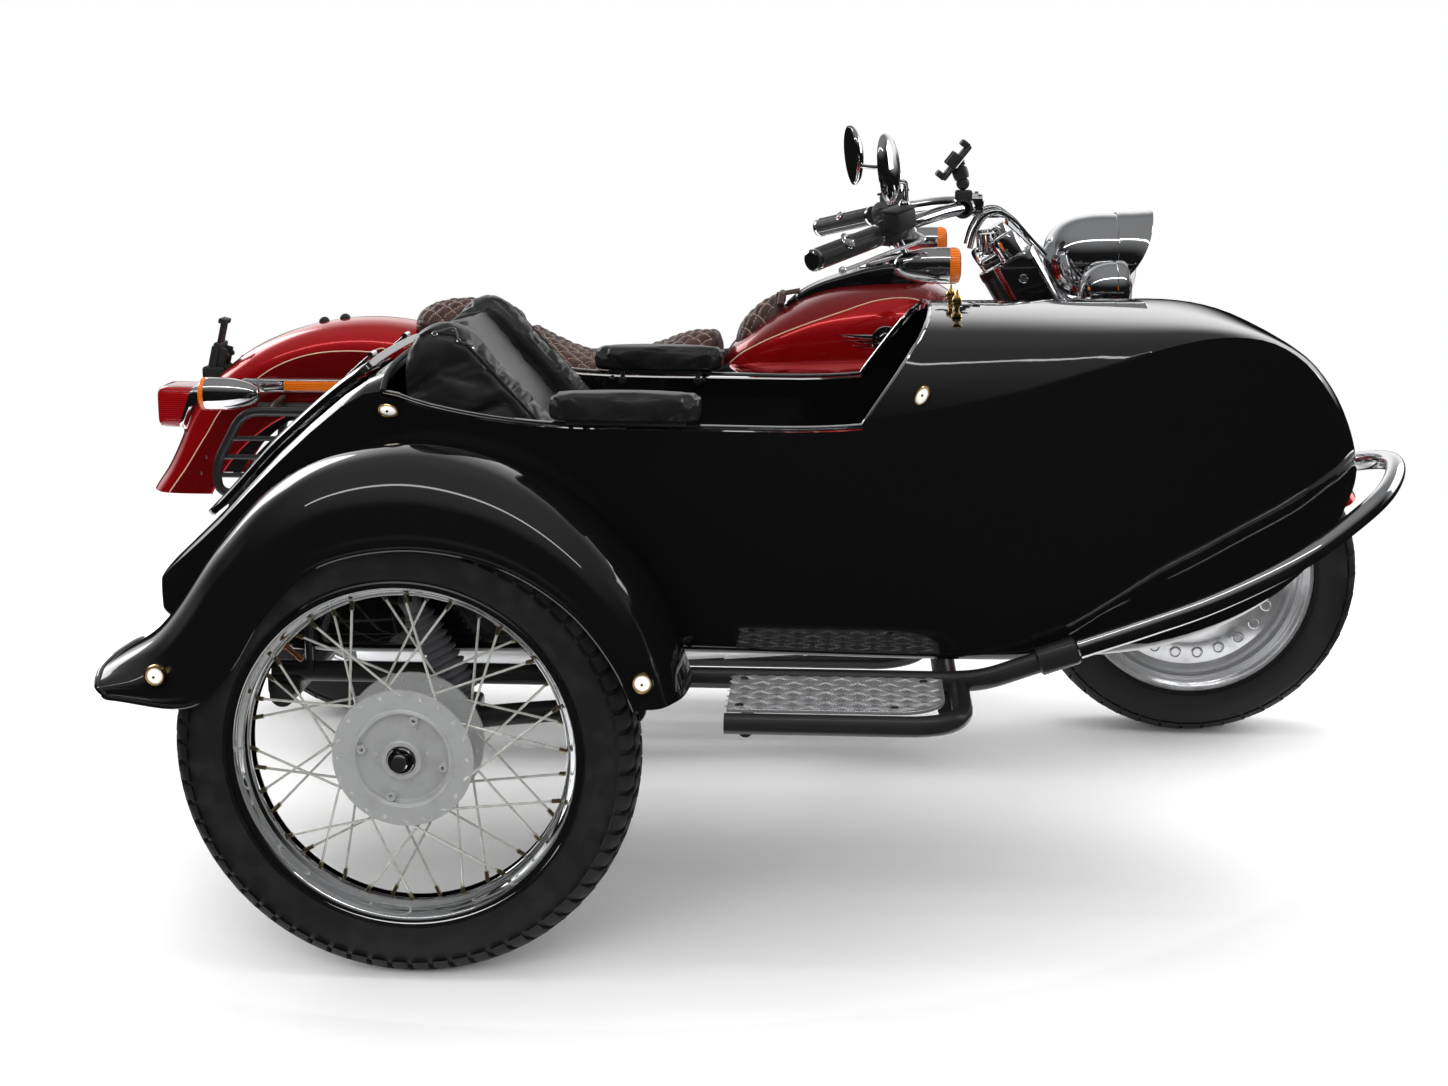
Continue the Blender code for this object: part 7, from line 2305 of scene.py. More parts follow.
def frontFender():
    crown = 0.351
    profile = smoothLine([(crown, 0, 0), (crown - 0.0035, 0.038, 0), (crown - 0.0150, 0.069, 0),
                          (crown - 0.036, 0.0855, 0),
                          (0.305, 0.087, 0), (0.272, 0.087, 0)], 6)
    rows = [(p.x, p.y) for p in reversed(profile)] + [(p.x, -p.y) for p in profile[1:]]
    form = Form()
    rings = []
    for k in range(91):
        degrees = 29 + 137 * k / 90
        a = math.radians(degrees)
        shrink = min(1.0, (degrees - 29 + 3) / 9, (166 - degrees + 3) / 9)
        rings.append([frontHub + Vector((math.cos(a) * r, y, math.sin(a) * r))
                      for r, y in ((crown - (crown - r) * min(1.0, 0.45 + 0.55 * shrink), y) for r,
                                   y in rows)])
    form.loft(rings, caps=False, openRing=True)
    bmesh.ops.recalc_face_normals(form.mesh, faces=form.mesh.faces[:])
    top = max(form.mesh.faces, key=lambda face: face.calc_center_median().z)
    if top.normal.z < 0:
        bmesh.ops.reverse_faces(form.mesh, faces=form.mesh.faces[:])
    made = form.object("frontFenderShell", angle=60, turnOut=False)
    wall = made.modifiers.new("wall", "SOLIDIFY")
    wall.thickness, wall.offset = 0.0025, -1
    plainMesh(made)
    made.data.set_sharp_from_angle(angle=math.radians(60))
    deep = made.data.attributes.new("deep", "FLOAT", "POINT").data
    for value, v in zip(deep, made.data.vertices):
        value.value = min(1.0, max(0.0, (0.060 - abs(v.co.y - ground.y)) / 0.003 + 0.5)) * 0.55
    settle(made, "steering", red, "front_fender")
    stripe = Form()
    for s in (-1, 1):
        line = []
        for k in range(60):
            a = math.radians(31 + 133 * k / 59)
            line.append(frontHub + Vector((math.cos(a) * (crown - 0.0098), s * 0.0602,
                                           math.sin(a) * (crown - 0.0098))))
        stripe.tube(line, 0.0011, 6)
    stripe.piece("frontFenderPinstripes", "steering", creamLine, "red_paint")
    stays = Form()
    for s in (-1, 1):
        for degrees in (60, 118):
            a = math.radians(degrees)
            stays.rod(frontHub + Vector((math.cos(a) * 0.285, s * 0.0885, math.sin(a) * 0.285)),
                      onFork(0.24 if degrees == 118 else 0.20, s * 0.112), 0.006, 12)
    stays.piece("frontFenderStays", "steering", chrome, "chrome")


fork()
headlampGroup()
bars()
mirrors()
phoneHolder()
frontFender()
print("front end,", pieceCount, "pieces")


# ---- rear fender and what it carries ----
rearLook = {"radii": [(38, 0.4895), (60, 0.491), (81, 0.493), (110, 0.4935), (122, 0.493), (137, 0.483),
                      (148, 0.466),
                      (155, 0.4655), (161, 0.4765), (167, 0.490), (172, 0.500)],
            "half": 0.115, "low": 0.348, "cut": 0.478,
            "stripe": [(60, 0.0), (82, 0.4343), (88, 0.4378), (94.5, 0.4400), (101.2, 0.4425), (106.6,
                    0.4430), (113.1, 0.4406),
                       (118.8, 0.4352), (125, 0.4300), (132.1, 0.4262), (138.7, 0.4161), (148.5, 0.4129),
                       (154, 0.418),
                       (159.4, 0.4274)]}
rearCrown = heightCurve(rearLook["radii"])


def rearFender():
    look = rearLook
    form = Form()
    rings = []
    steps = 132
    for k in range(steps + 1):
        degrees = 40 + 131.5 * k / steps
        a = math.radians(degrees)
        crown = rearCrown(degrees)
        half = look["half"]
        points = smoothLine([(crown, 0, 0), (crown - 0.0035, 0.34 * half, 0), (crown - 0.013,
                0.64 * half, 0),
                             (crown - 0.030, 0.865 * half, 0), (crown - 0.052, 0.965 * half, 0),
                             (crown - 0.085, half, 0),
                             (crown - 0.110, half, 0), (look["low"], half, 0)], 5)
        ring = [(p.x, p.y) for p in reversed(points)] + [(p.x, -p.y) for p in points[1:]]
        rings.append([Vector((math.cos(a) * r, y, rearHub.z + math.sin(a) * r)) for r, y in ring])
    form.loft(rings, caps=False, openRing=True)
    bmesh.ops.bisect_plane(form.mesh, geom=form.mesh.verts[:] + form.mesh.edges[:] + form.mesh.faces[:],
                           plane_co=(-0.35, 0, look["cut"]), plane_no=(0, 0, 1), dist=1e-6)
    gone = [v for v in form.mesh.verts if v.co.z < look["cut"] - 1e-5 and v.co.x < -0.15]
    bmesh.ops.delete(form.mesh, geom=gone, context="VERTS")
    bmesh.ops.recalc_face_normals(form.mesh, faces=form.mesh.faces[:])
    top = max(form.mesh.faces, key=lambda face: face.calc_center_median().z)
    if top.normal.z < 0:
        bmesh.ops.reverse_faces(form.mesh, faces=form.mesh.faces[:])
    made = form.object("rearFenderShell", angle=60, turnOut=False)
    wall = made.modifiers.new("wall", "SOLIDIFY")
    wall.thickness, wall.offset = 0.003, -1
    plainMesh(made)
    made.data.set_sharp_from_angle(angle=math.radians(60))
    line = heightCurve(look["stripe"])
    deep = made.data.attributes.new("deep", "FLOAT", "POINT").data
    for value, v in zip(deep, made.data.vertices):
        place = v.co - ground - rearHub
        degrees = math.degrees(math.atan2(place.z, place.x))
        reach = math.hypot(place.x, place.z)
        bounded = min(1.0, max(0.0, (degrees - 62) / 2))
        value.value = 0.75 * min(1.0, max(0.0, (line(degrees) - reach) / 0.003 + 0.5)) * bounded
    settle(made, "chassis", red, "rear_fender")
    stripe = Form()
    for s in (-1, 1):
        path = []
        for k in range(130):
            degrees = 66 + (159.6 - 66) * k / 129
            a = math.radians(degrees)
            r = line(degrees) if degrees > 82 else 0.4343 + (degrees - 82) * 0.0006
            depth = rearCrown(degrees) - r
            share = heightCurve([(0.0, 0.0), (0.0035, 0.34), (0.013, 0.64), (0.030, 0.865), (0.052,
                    0.965), (0.085, 1.0)])(depth)
            place = Vector((math.cos(a) * r, s * (look["half"] * share + 0.0002),
                            rearHub.z + math.sin(a) * r))
            if place.z > look["cut"]:
                path.append(place)
        stripe.tube(path, 0.0011, 6)
    stripe.piece("rearFenderPinstripes", "chassis", creamLine, "red_paint")
    lip = Form()
    for s in (-1, 1):
        path = [Vector((math.cos(a) * 0.3475, s * (look["half"] - 0.0015),
                        rearHub.z + math.sin(a) * 0.3475))
                for a in (math.radians(41 + 113 * k / 80) for k in range(81))]
        lip.tube([p for p in path if p.z > look["cut"] or p.x > 0], 0.0028, 8)
    lip.piece("rearFenderLip", "chassis", red, "red_paint")
    # painted shade: a flat dark felt sheet in the wheel's middle plane fills the gap between the tyre and the fender
    shadeSheet = Form()
    arcs = []
    for d in (-0.0015, 0.0015):
        outline = [(r, math.radians(44 + 106 * k / 40)) for r, span in ((0.3335, range(41)), (0.450,
                range(40, -1, -1))) for k in span]
        arcs.append([Vector((math.cos(a) * r, d, rearHub.z + math.sin(a) * r)) for r, a in outline])
    shadeSheet.loft(arcs)
    shadeSheet.piece("rearFenderLiner", "chassis", felt, "red_paint")
    knobs = Form()
    for degrees in (101.5, 96.5):
        a = math.radians(degrees)
        out = Vector((math.cos(a), 0, math.sin(a)))
        knobs.lathe([(0.0105, -0.003), (0.0105, 0.002), (0.0085, 0.0055), (0.0040, 0.0085), (0, 0.009)],
                    rearHub + out * rearCrown(degrees), out, 24)
    knobs.piece("fenderTopKnobs", "chassis", soft, "soft_rubber")
    rivets = Form()
    for x, z in ((-0.318, 0.552), (-0.330, 0.520)):
        for s in (-1, 1):
            rivets.bolt((x, s * 0.1148, z), (0, s, 0), 0.0032, 0.0022, dome=True)
    rivets.piece("fenderRivets", "chassis", chrome, "chrome")


def strutsAndSignals():
    for tag, s in sides:
        inner = 0.1158
        form = Form()
        low, high = min(s * inner, s * (inner + 0.0135)), max(s * inner, s * (inner + 0.0135))
        form.block((-0.234, low, 0.6845), (0.099, high, 0.7115), None, 0.0055, 4)
        out = s * (inner + 0.0135)
        for x in (-0.196, 0.070):
            form.lathe([(0.0085, 0), (0.0085, 0.002), (0.0065, 0.0045), (0.0030, 0.0048), (0.0026,
                    0.0030), (0, 0.0030)],
                       (x, out, 0.698), (0, s, 0), 24)
        signal = Vector((-0.232, s * 0.200, 0.692))
        form.tube(smoothLine([(-0.213, s * (inner + 0.006), 0.698), (-0.218, s * 0.150, 0.697),
                              signal + Vector((0.012, -s * 0.014, 0.001))],
                             6), 0.0078, 14)
        shape = smoothLine([(0, -0.056, 0), (0.009, -0.054, 0), (0.0175, -0.045, 0), (0.025, -0.027, 0),
                            (0.0300, -0.004, 0),
                            (0.0318, 0.020, 0), (0.0320, 0.044, 0)], 5)
        form.lathe([(p.x, p.y) for p in shape] + [(0.0316, 0.0472), (0.0290, 0.0478)], signal, (-1, 0,
                0), 48)
        form.piece("fenderStrut" + tag.capitalize(), "chassis", chrome, "chrome", "fender_strut_" + tag,
                   bevel=0.0004)
        glass = Form()
        glass.lathe([(0.0308, 0.0455), (0.0320, 0.0485), (0.0316, 0.0540), (0.0280, 0.0578), (0.0180,
                0.0596), (0, 0.0605)],
                    signal, (-1, 0, 0), 48)
        glass.piece("rearSignalLens" + tag.capitalize(), "chassis", amber, "amber_lens")
        reflector = Form()
        a, b = min(out, out + s * 0.0045), max(out, out + s * 0.0045)
        reflector.block((-0.150, a, 0.6885), (0.020, b, 0.7075), None, 0.0035, 3)
        reflector.piece("sideReflector" + tag.capitalize(), "chassis", amber, "amber_lens")


def tailLamp():
    form = Form()
    rings = []
    for t, grow in ((0, 0.78), (0.03, 0.90), (0.10, 0.97), (0.30, 1.0), (0.65, 1.0), (1.0, 1.0)):
        x = -0.4335
        ring = []
        for k in range(48):
            a = math.tau * k / 48
            y = 0.054 * grow * math.copysign(abs(math.cos(a)) ** 0.38, math.cos(a))
            z = 0.641 + 0.0415 * grow * math.copysign(abs(math.sin(a)) ** 0.38, math.sin(a)) - 0.002 * t
            ring.append(Vector((x + t * (0.058 + 0.38 * (z - 0.641)), y, z)))
        rings.append(ring)
    form.loft(rings)
    form.piece("tailLampLens", "chassis", redLens, "red_lens", "tail_lamp", angle=40)
    base = Form()
    rings = []
    for x, grow in ((-0.3770, 0.97), (-0.3760, 1.03), (-0.3710, 1.04), (-0.3680, 1.02)):
        rings.append([Vector((x + 0.38 * 0.0415 * math.copysign(abs(math.sin(a)) ** 0.38, math.sin(a)),
                              0.054 * grow * math.copysign(abs(math.cos(a)) ** 0.38, math.cos(a)),
                              0.639 + 0.0415 * grow * math.copysign(abs(math.sin(a)) ** 0.38, math.sin(a))))
                      for a in (math.tau * k / 48 for k in range(48))])
    foot = []
    for a in (math.tau * k / 48 for k in range(48)):
        y = 0.050 * math.copysign(abs(math.cos(a)) ** 0.38, math.cos(a))
        z = 0.634 + 0.048 * math.copysign(abs(math.sin(a)) ** 0.38, math.sin(a))
        r = rearCrown(math.degrees(math.atan2(z - rearHub.z, -0.35))) - 0.004 - 2.2 * y * y
        foot.append(Vector((-math.sqrt(max(0.0, r * r - (z - rearHub.z) ** 2)), y, z)))
    rings.append(foot)
    base.loft(rings)
    base.piece("tailLampBase", "chassis", chrome, "chrome", angle=40)
    bracket = Form()
    bracket.block((-0.345, -0.030, 0.684), (-0.300, 0.030, 0.720), Matrix.Translation((0, 0, 0)), 0.006, 3)
    plate = Matrix.Translation((-0.322, 0, 0.735)) @ Matrix.Rotation(math.radians(14), 4, "Y")
    bracket.block((-0.004, -0.028, -0.026), (0.010, 0.028, 0.034), plate, 0.003, 2)
    bracket.block((-0.001, -0.016, 0.030), (0.006, 0.016, 0.080), plate, 0.002, 2)
    bracket.block((-0.006, -0.018, 0.072), (0.010, 0.018, 0.082), plate, 0.002, 2)
    bracket.block((-0.008, -0.024, -0.020), (0.024, -0.014, 0.026), plate, 0.003, 2)
    bracket.block((-0.008, 0.014, -0.020), (0.024, 0.024, 0.026), plate, 0.003, 2)
    for y in (-0.018, 0.018):
        for z in (-0.012, 0.014):
            bracket.bolt(plate @ Vector((0.024, y, z)), (1, 0, 0.2), 0.005, 0.004)
    bracket.tube(smoothLine([(-0.300, 0, 0.712), (-0.280, 0, 0.716), (-0.262, 0, 0.734)], 6), 0.010, 14)
    bracket.piece("latchBracket", "chassis", crinkle, "satin_black", bevel=0.0005)


def guards():
    for tag, s in sides:
        y = s * 0.222
        form = Form()
        loop = [(-0.262, y, 0.502), (-0.262, y, 0.560), (-0.205, y, 0.662), (0.040, y, 0.662), (0.040, y,
                0.502)]
        form.tube(bentLine(loop, 0.034, 8, closed=True), 0.009, 18, closed=True)
        for z in (0.538, 0.574, 0.610):
            x = -0.262 + (0.057 * (z - 0.560) / 0.102 if z > 0.560 else 0)
            form.rod((x, y, z), (0.040, y, z), 0.005, 14)
        for x in (-0.150, 0.000):
            form.tube(smoothLine([(x, y, 0.662), (x, s * 0.190, 0.672), (x, s * 0.1365, 0.676)], 5),
                      0.006, 12)
            form.ball((x, y, 0.662), 0.0095, steps=14)
        form.piece("wheelGuard" + tag.capitalize(), "chassis", satin, "satin_black", "guard_" + tag)


rearFender()
strutsAndSignals()
tailLamp()
guards()
print("rear end,", pieceCount, "pieces")


# ---- engine ----
engineLook = {"crank": (0.84, 0.33), "bank": 22.5, "base": 0.170, "bore": 0.062, "head": (0.285, 0.352),
              "fins": 11}
bankAngle = math.radians(engineLook["bank"])


def bankPoint(bank, along, out=0.0, side=0.0):
    # a place on a cylinder: along it, out from its middle towards the outside of the vee, and across
    up = Vector((bank * math.sin(bankAngle), 0, math.cos(bankAngle)))
    away = Vector((math.cos(bankAngle) * bank, 0, -math.sin(bankAngle)))
    return Vector((engineLook["crank"][0], 0,
                   engineLook["crank"][1])) + up * along + away * out + across * side


def bankTurn(bank):
    up = (bankPoint(bank, 1) - bankPoint(bank, 0))
    away = (bankPoint(bank, 0, 1) - bankPoint(bank, 0))
    turn = Matrix.Identity(4)
    origin = bankPoint(bank, 0)
    for k, column in enumerate((away, across if away.cross(across).dot(up) > 0 else -across, up)):
        for row in range(3):
            turn[row][k] = column[row]
    for row in range(3):
        turn[row][3] = origin[row]
    return turn


def cylinders():
    look = engineLook
    for bank, name in ((1, "front"), (-1, "rear")):
        turn = bankTurn(bank)
        form = Form()
        form.lathe([(0.054, look["base"] + 0.001), (0.054, look["head"][0])], bankPoint(bank, 0),
                   turn.to_3x3() @ upward, 48)
        form.lathe([(0.0615, look["base"]), (0.0615, look["base"] + 0.008), (0.056,
                look["base"] + 0.010)], bankPoint(bank, 0),
                   turn.to_3x3() @ upward, 48)
        count = look["fins"]
        for k in range(count):
            along = look["base"] + 0.016 + (look["head"][0] - look["base"] - 0.020) * k / (count - 1)
            size = 0.0615 + 0.0008 * k / count
            outline = [(x, y, 0) for x, y in ((-size, -0.058), (size, -0.058), (size, 0.058), (-size,
                    0.058))]
            ring = bentLine(outline, 0.040, 6, closed=True)
            form.loft([[turn @ Vector((p.x, p.y, along + d)) for p in ring] for d in (0, 0.0026)])
        form.piece(name + "CylinderFins", "chassis", cast, "cast_alloy", name + "_cylinder", bevel=0.0005)
        head = Form()
        head.block((-0.052, -0.064, look["head"][0] - 0.001), (0.052, 0.064, look["head"][1] - 0.014),
                   turn, 0.008, 3)
        for k in range(5):
            along = look["head"][0] + 0.004 + 0.0095 * k
            outline = [(x, y, 0) for x, y in ((-0.0655, -0.0775), (0.0655, -0.0775), (0.0655, 0.0775),
                                              (-0.0655, 0.0775))]
            ring = bentLine(outline, 0.030, 6, closed=True)
            head.loft([[turn @ Vector((p.x, p.y, along + d)) for p in ring] for d in (0, 0.0030)])
        head.piece(name + "HeadFins", "chassis", cast, "cast_alloy", bevel=0.0005)
        cover = Form()
        cover.block((-0.050, -0.070, look["head"][1] - 0.016), (0.050, 0.070, look["head"][1] - 0.005),
                    turn, 0.005, 3)
        cover.block((-0.042, -0.064, look["head"][1] - 0.008), (0.042, 0.064, look["head"][1] - 0.0005),
                    turn, 0.0045, 3)
        cover.piece(name + "RockerBox", "chassis", chrome, "cast_alloy", bevel=0.0006)
        bolts = Form()
        for x in (-0.040, 0.040):
            for y in (-0.060, 0.0, 0.060):
                bolts.bolt(turn @ Vector((x, y * 0.96, look["head"][1] - 0.002)), turn.to_3x3() @ upward,
                           0.0048, 0.005)
        for k in range(2):
            foot = Vector((0.855 + bank * (0.030 + 0.016 * k), -0.094, 0.402))
            top = turn @ Vector((0.004 * k - 0.010, 0, look["head"][0] + 0.004))
            top = Vector((top.x - bank * (0.018 - 0.014 * k), -0.0765, top.z))
            length = (top - foot).length
            bolts.lathe([(0.0105, 0), (0.0105, 0.012), (0.0080, 0.016), (0.0080, length - 0.012),
                         (0.0100, length - 0.008),
                         (0.0100, length)], foot, top - foot, 20)
        plug = turn @ Vector((0.030, 0, look["head"][0] + 0.030))
        bolts.lathe([(0.0095, 0), (0.0095, 0.006), (0.0055, 0.008), (0.0050, 0.024), (0.0070, 0.026),
                     (0.0070, 0.040), (0, 0.042)],
                    Vector((plug.x, -0.064, plug.z)), (0.3 * bank, -1, 0.2), 20)
        bolts.piece(name + "PushrodTubes", "chassis", chrome, "chrome")


def crankcase():
    form = Form()
    c, base = engineLook["crank"], engineLook["base"] - 0.0005
    rise, level = math.sin(bankAngle), math.cos(bankAngle)
    front = (c[0] + base * rise + 0.078 * level, c[1] + base * level - 0.078 * rise)
    outline = [(1.02, 0.215), (1.04, 0.30), (1.01, 0.40), front, (c[0], c[1] + base / level),
               (2 * c[0] - front[0], front[1]),
               (0.63, 0.44), (0.46, 0.455), (0.445, 0.40), (0.455, 0.30), (0.60, 0.205), (0.94, 0.198)]
    ring = []
    points = [Vector((x, 0, z)) for x, z in outline]
    for index, here in enumerate(points):
        if index in (3, 4, 5):
            ring.append(here)
            continue
        before, after = points[index - 1], points[(index + 1) % len(points)]
        reach = min(0.022, (before - here).length * 0.4, (after - here).length * 0.4)
        a, b = here + (before - here).normalized() * reach, here + (after - here).normalized() * reach
        ring += [a * (1 - t) ** 2 + here * 2 * t * (1 - t) + b * t * t for t in (0, 0.25, 0.5, 0.75, 1)]
    middle = Vector((0.75, 0, 0.32))
    rows = []
    for y, grow in ((-0.0975, 0.965), (-0.094, 0.985), (-0.088, 1.0), (0.088, 1.0), (0.094, 0.985),
                    (0.0975, 0.965)):
        rows.append([Vector((middle.x + (p.x - middle.x) * grow, y,
                             middle.z + (p.z - middle.z) * grow)) for p in ring])
    form.loft(rows)
    form.piece("crankcaseHalves", "chassis", cast, "cast_alloy", "crankcase", bevel=0.001)
    covers = Form()
    covers.lathe([(0.086, 0.088), (0.088, 0.100), (0.087, 0.112), (0.082, 0.119), (0.070, 0.123), (0.030,
            0.1245), (0, 0.1248)],
                 (0.90, 0, 0.315), (0, -1, 0), 72)
    covers.lathe([(0.064, 0.090), (0.066, 0.104), (0.064, 0.113), (0.056, 0.1175), (0, 0.1182)], (0.70,
            0, 0.330), (0, -1, 0), 64)
    covers.block((0.70, -0.1120, 0.270), (0.90, -0.088, 0.372), None, 0.010, 3)
    covers.lathe([(0.034, 0.088), (0.034, 0.108), (0.030, 0.113), (0, 0.114)], (0.545, 0, 0.345), (0, -1,
            0), 48)
    covers.piece("engineCovers", "chassis", alloy, "cast_alloy", bevel=0.001)
    bolts = Form()
    for centre, radius, count, y in (((0.90, 0.315), 0.078, 10, -0.1205), ((0.70, 0.330), 0.057, 5,
            -0.1172)):
        for k in range(count):
            a = math.tau * (k + 0.5) / count
            bolts.bolt((centre[0] + math.cos(a) * radius, y, centre[1] + math.sin(a) * radius), (0, -1,
                    0), 0.0042, 0.0045, dome=True)
    for x, z in ((0.50, 0.43), (0.47, 0.30), (0.62, 0.225), (0.99, 0.24), (1.01, 0.36)):
        for s in (-1, 1):
            bolts.bolt((x, s * 0.0965, z), (0, s, 0), 0.0058, 0.006)
    bolts.lathe([(0.036, 0), (0.0385, 0.004), (0.0385, 0.075), (0.036, 0.082), (0.018, 0.086), (0,
            0.087)], (1.030, 0.0, 0.330),
                (1, 0, -0.15), 36)
    bolts.piece("engineBoltsAndFilter", "chassis", chrome, "chrome")


def primaryCase():
    ends = ((0.92, 0.325, 0.085), (0.58, 0.315, 0.098))
    form = Form()

    def outline(grow, y):
        ring = []
        for (x, z, r), start in ((ends[0], -90), (ends[1], 90)):
            for k in range(25):
                a = math.radians(start + 180 * k / 24)
                ring.append(Vector((x + math.cos(a) * (r - grow), y, z + math.sin(a) * (r - grow))))
        return ring
    form.loft([outline(0.002, 0.099), outline(0, 0.101), outline(0, 0.128), outline(0.003, 0.132),
               outline(0.003, 0.136),
               outline(0, 0.139), outline(0.001, 0.160), outline(0.006, 0.174), outline(0.016, 0.1815),
               outline(0.030, 0.1845),
               outline(0.040, 0.1848)])
    form.lathe([(0.058, 0.180), (0.058, 0.1865), (0.054, 0.1895), (0.020, 0.1905), (0, 0.1906)], (0.58,
            0, 0.315), across, 64)
    form.piece("primaryCase", "chassis", chrome, "chrome", "primary_cover", angle=30)
    bolts = Form()
    for p in evenly(outline(0.010, 0.178) + outline(0.010, 0.178)[:1], 0.092):
        bolts.bolt(p[0], across, 0.0044, 0.0042, dome=True)
    for k in range(5):
        a = math.tau * k / 5
        bolts.bolt((0.58 + math.cos(a) * 0.048, 0.1895, 0.315 + math.sin(a) * 0.048), across, 0.0036,
                   0.003, dome=True)
    bolts.piece("primaryBolts", "chassis", steel, "chrome")


def breathing():
    centre = (0.84, -0.0985, 0.568)
    form = Form()
    form.lathe([(0.060, 0.002), (0.086, 0.003), (0.089, 0.008), (0.0895, 0.020), (0.0860, 0.024),
                (0.0860, 0.030), (0.0895, 0.034),
                (0.0895, 0.058), (0.0870, 0.068), (0.0800, 0.076), (0.0640, 0.0812), (0.0400, 0.0832),
                (0, 0.0838)], centre,
               (0, -1, 0), 96)
    form.lathe([(0.0300, 0.082), (0.0300, 0.0850), (0.0270, 0.0865), (0.0230, 0.0855), (0.0225, 0.0840)],
               centre, (0, -1, 0), 48,
               closed=True)
    form.piece("airCleanerCover", "chassis", chrome, "chrome", "air_cleaner", angle=30)
    filt = Form()
    rings = []
    for along in (0.0225, 0.0315):
        rings.append([Vector((centre[0] + math.cos(a) * r, centre[1] - along, centre[2] + math.sin(a) * r))
                      for a, r in ((math.tau * k / 160, 0.0880 if k % 2 else 0.0850) for k in range(160))])
    filt.loft(rings)
    filt.piece("airFilterPleats", "chassis", felt, "black_felt")
    front = [(1.055, -0.040, 0.555), (1.095, -0.100, 0.520), (1.075, -0.150, 0.330), (1.000, -0.185,
            0.222), (0.620, -0.250, 0.212),
             (0.560, -0.250, 0.212)]
    rear = [(0.640, -0.060, 0.560), (0.606, -0.110, 0.545), (0.606, -0.175, 0.400), (0.585, -0.250,
            0.306), (0.520, -0.250, 0.306)]
    pipes = Form()
    for line, start in ((front, (0.600, -0.250, 0.212)), (rear, (0.560, -0.250, 0.306))):
        pipes.tube(bentLine(line, 0.055, 9), 0.0205, 28)
        first, second = Vector(line[0]), Vector(line[1])
        pipes.lathe([(0.021, 0), (0.0270, 0.001), (0.0270, 0.010), (0.0225, 0.013), (0.021, 0.020)],
                    first, second - first, 32)
        curve = smoothLine([(0.0215, -0.010, 0), (0.0225, 0.004, 0), (0.034, 0.040, 0), (0.0425, 0.075,
                0), (0.043, 0.110, 0)], 6)
        outline = [(p.x, p.y) for p in curve] + [(0.043, 0.540), (0.0424, 0.560), (0.0395, 0.580),
                                                 (0.0350, 0.5895),
                                                 (0.0310, 0.590), (0.0300, 0.584), (0.0290, 0.500), (0,
                                                         0.498)]
        pipes.lathe(outline, start, (-1, 0, 0), 64)
        for at in (0.120, 0.400):
            pipes.lathe([(0.0432, 0), (0.0442, 0.001), (0.0442, 0.013), (0.0432, 0.014)],
                        Vector(start) - Vector((at, 0, 0)),
                        (-1, 0, 0), 56, closed=True)
    pipes.piece("exhaustPipes", "chassis", chrome, "chrome", "exhaust", angle=40)
    shields = Form()
    for line in (front[2:5], rear[1:4]):
        a, b = Vector(line[0]).lerp(Vector(line[1]), 0.15), Vector(line[-2]).lerp(Vector(line[-1]), 0.75)
        path = bentLine([a] + [Vector(p) for p in line[1:-1]] + [b], 0.050, 8)
        shields.tube(path, 0.0245, 24, flat=0.92)
        for p, d in evenly(path, 0.16):
            shields.tube([p - d * 0.004, p + d * 0.004], 0.0262, 24)
    shields.piece("exhaustHeatShields", "chassis", chrome, "chrome", angle=40)
    tank = Form()
    tank.block((0.441, -0.117, 0.461), (0.564, 0.117, 0.559), None, 0.018, 5)
    tank.piece("oilTankShell", "chassis", black, "black_paint", "oil_tank", bevel=0)
    cap = Form()
    cap.lathe([(0.022, 0.115), (0.022, 0.121), (0.018, 0.125), (0, 0.126)], (0.500, 0, 0.520), (0, -1,
            0), 36)
    for z in (0.475, 0.545):
        cap.bolt((0.460, -0.116, z), (0, -1, 0), 0.005, 0.004)
    cap.piece("oilTankCap", "chassis", chrome, "chrome")


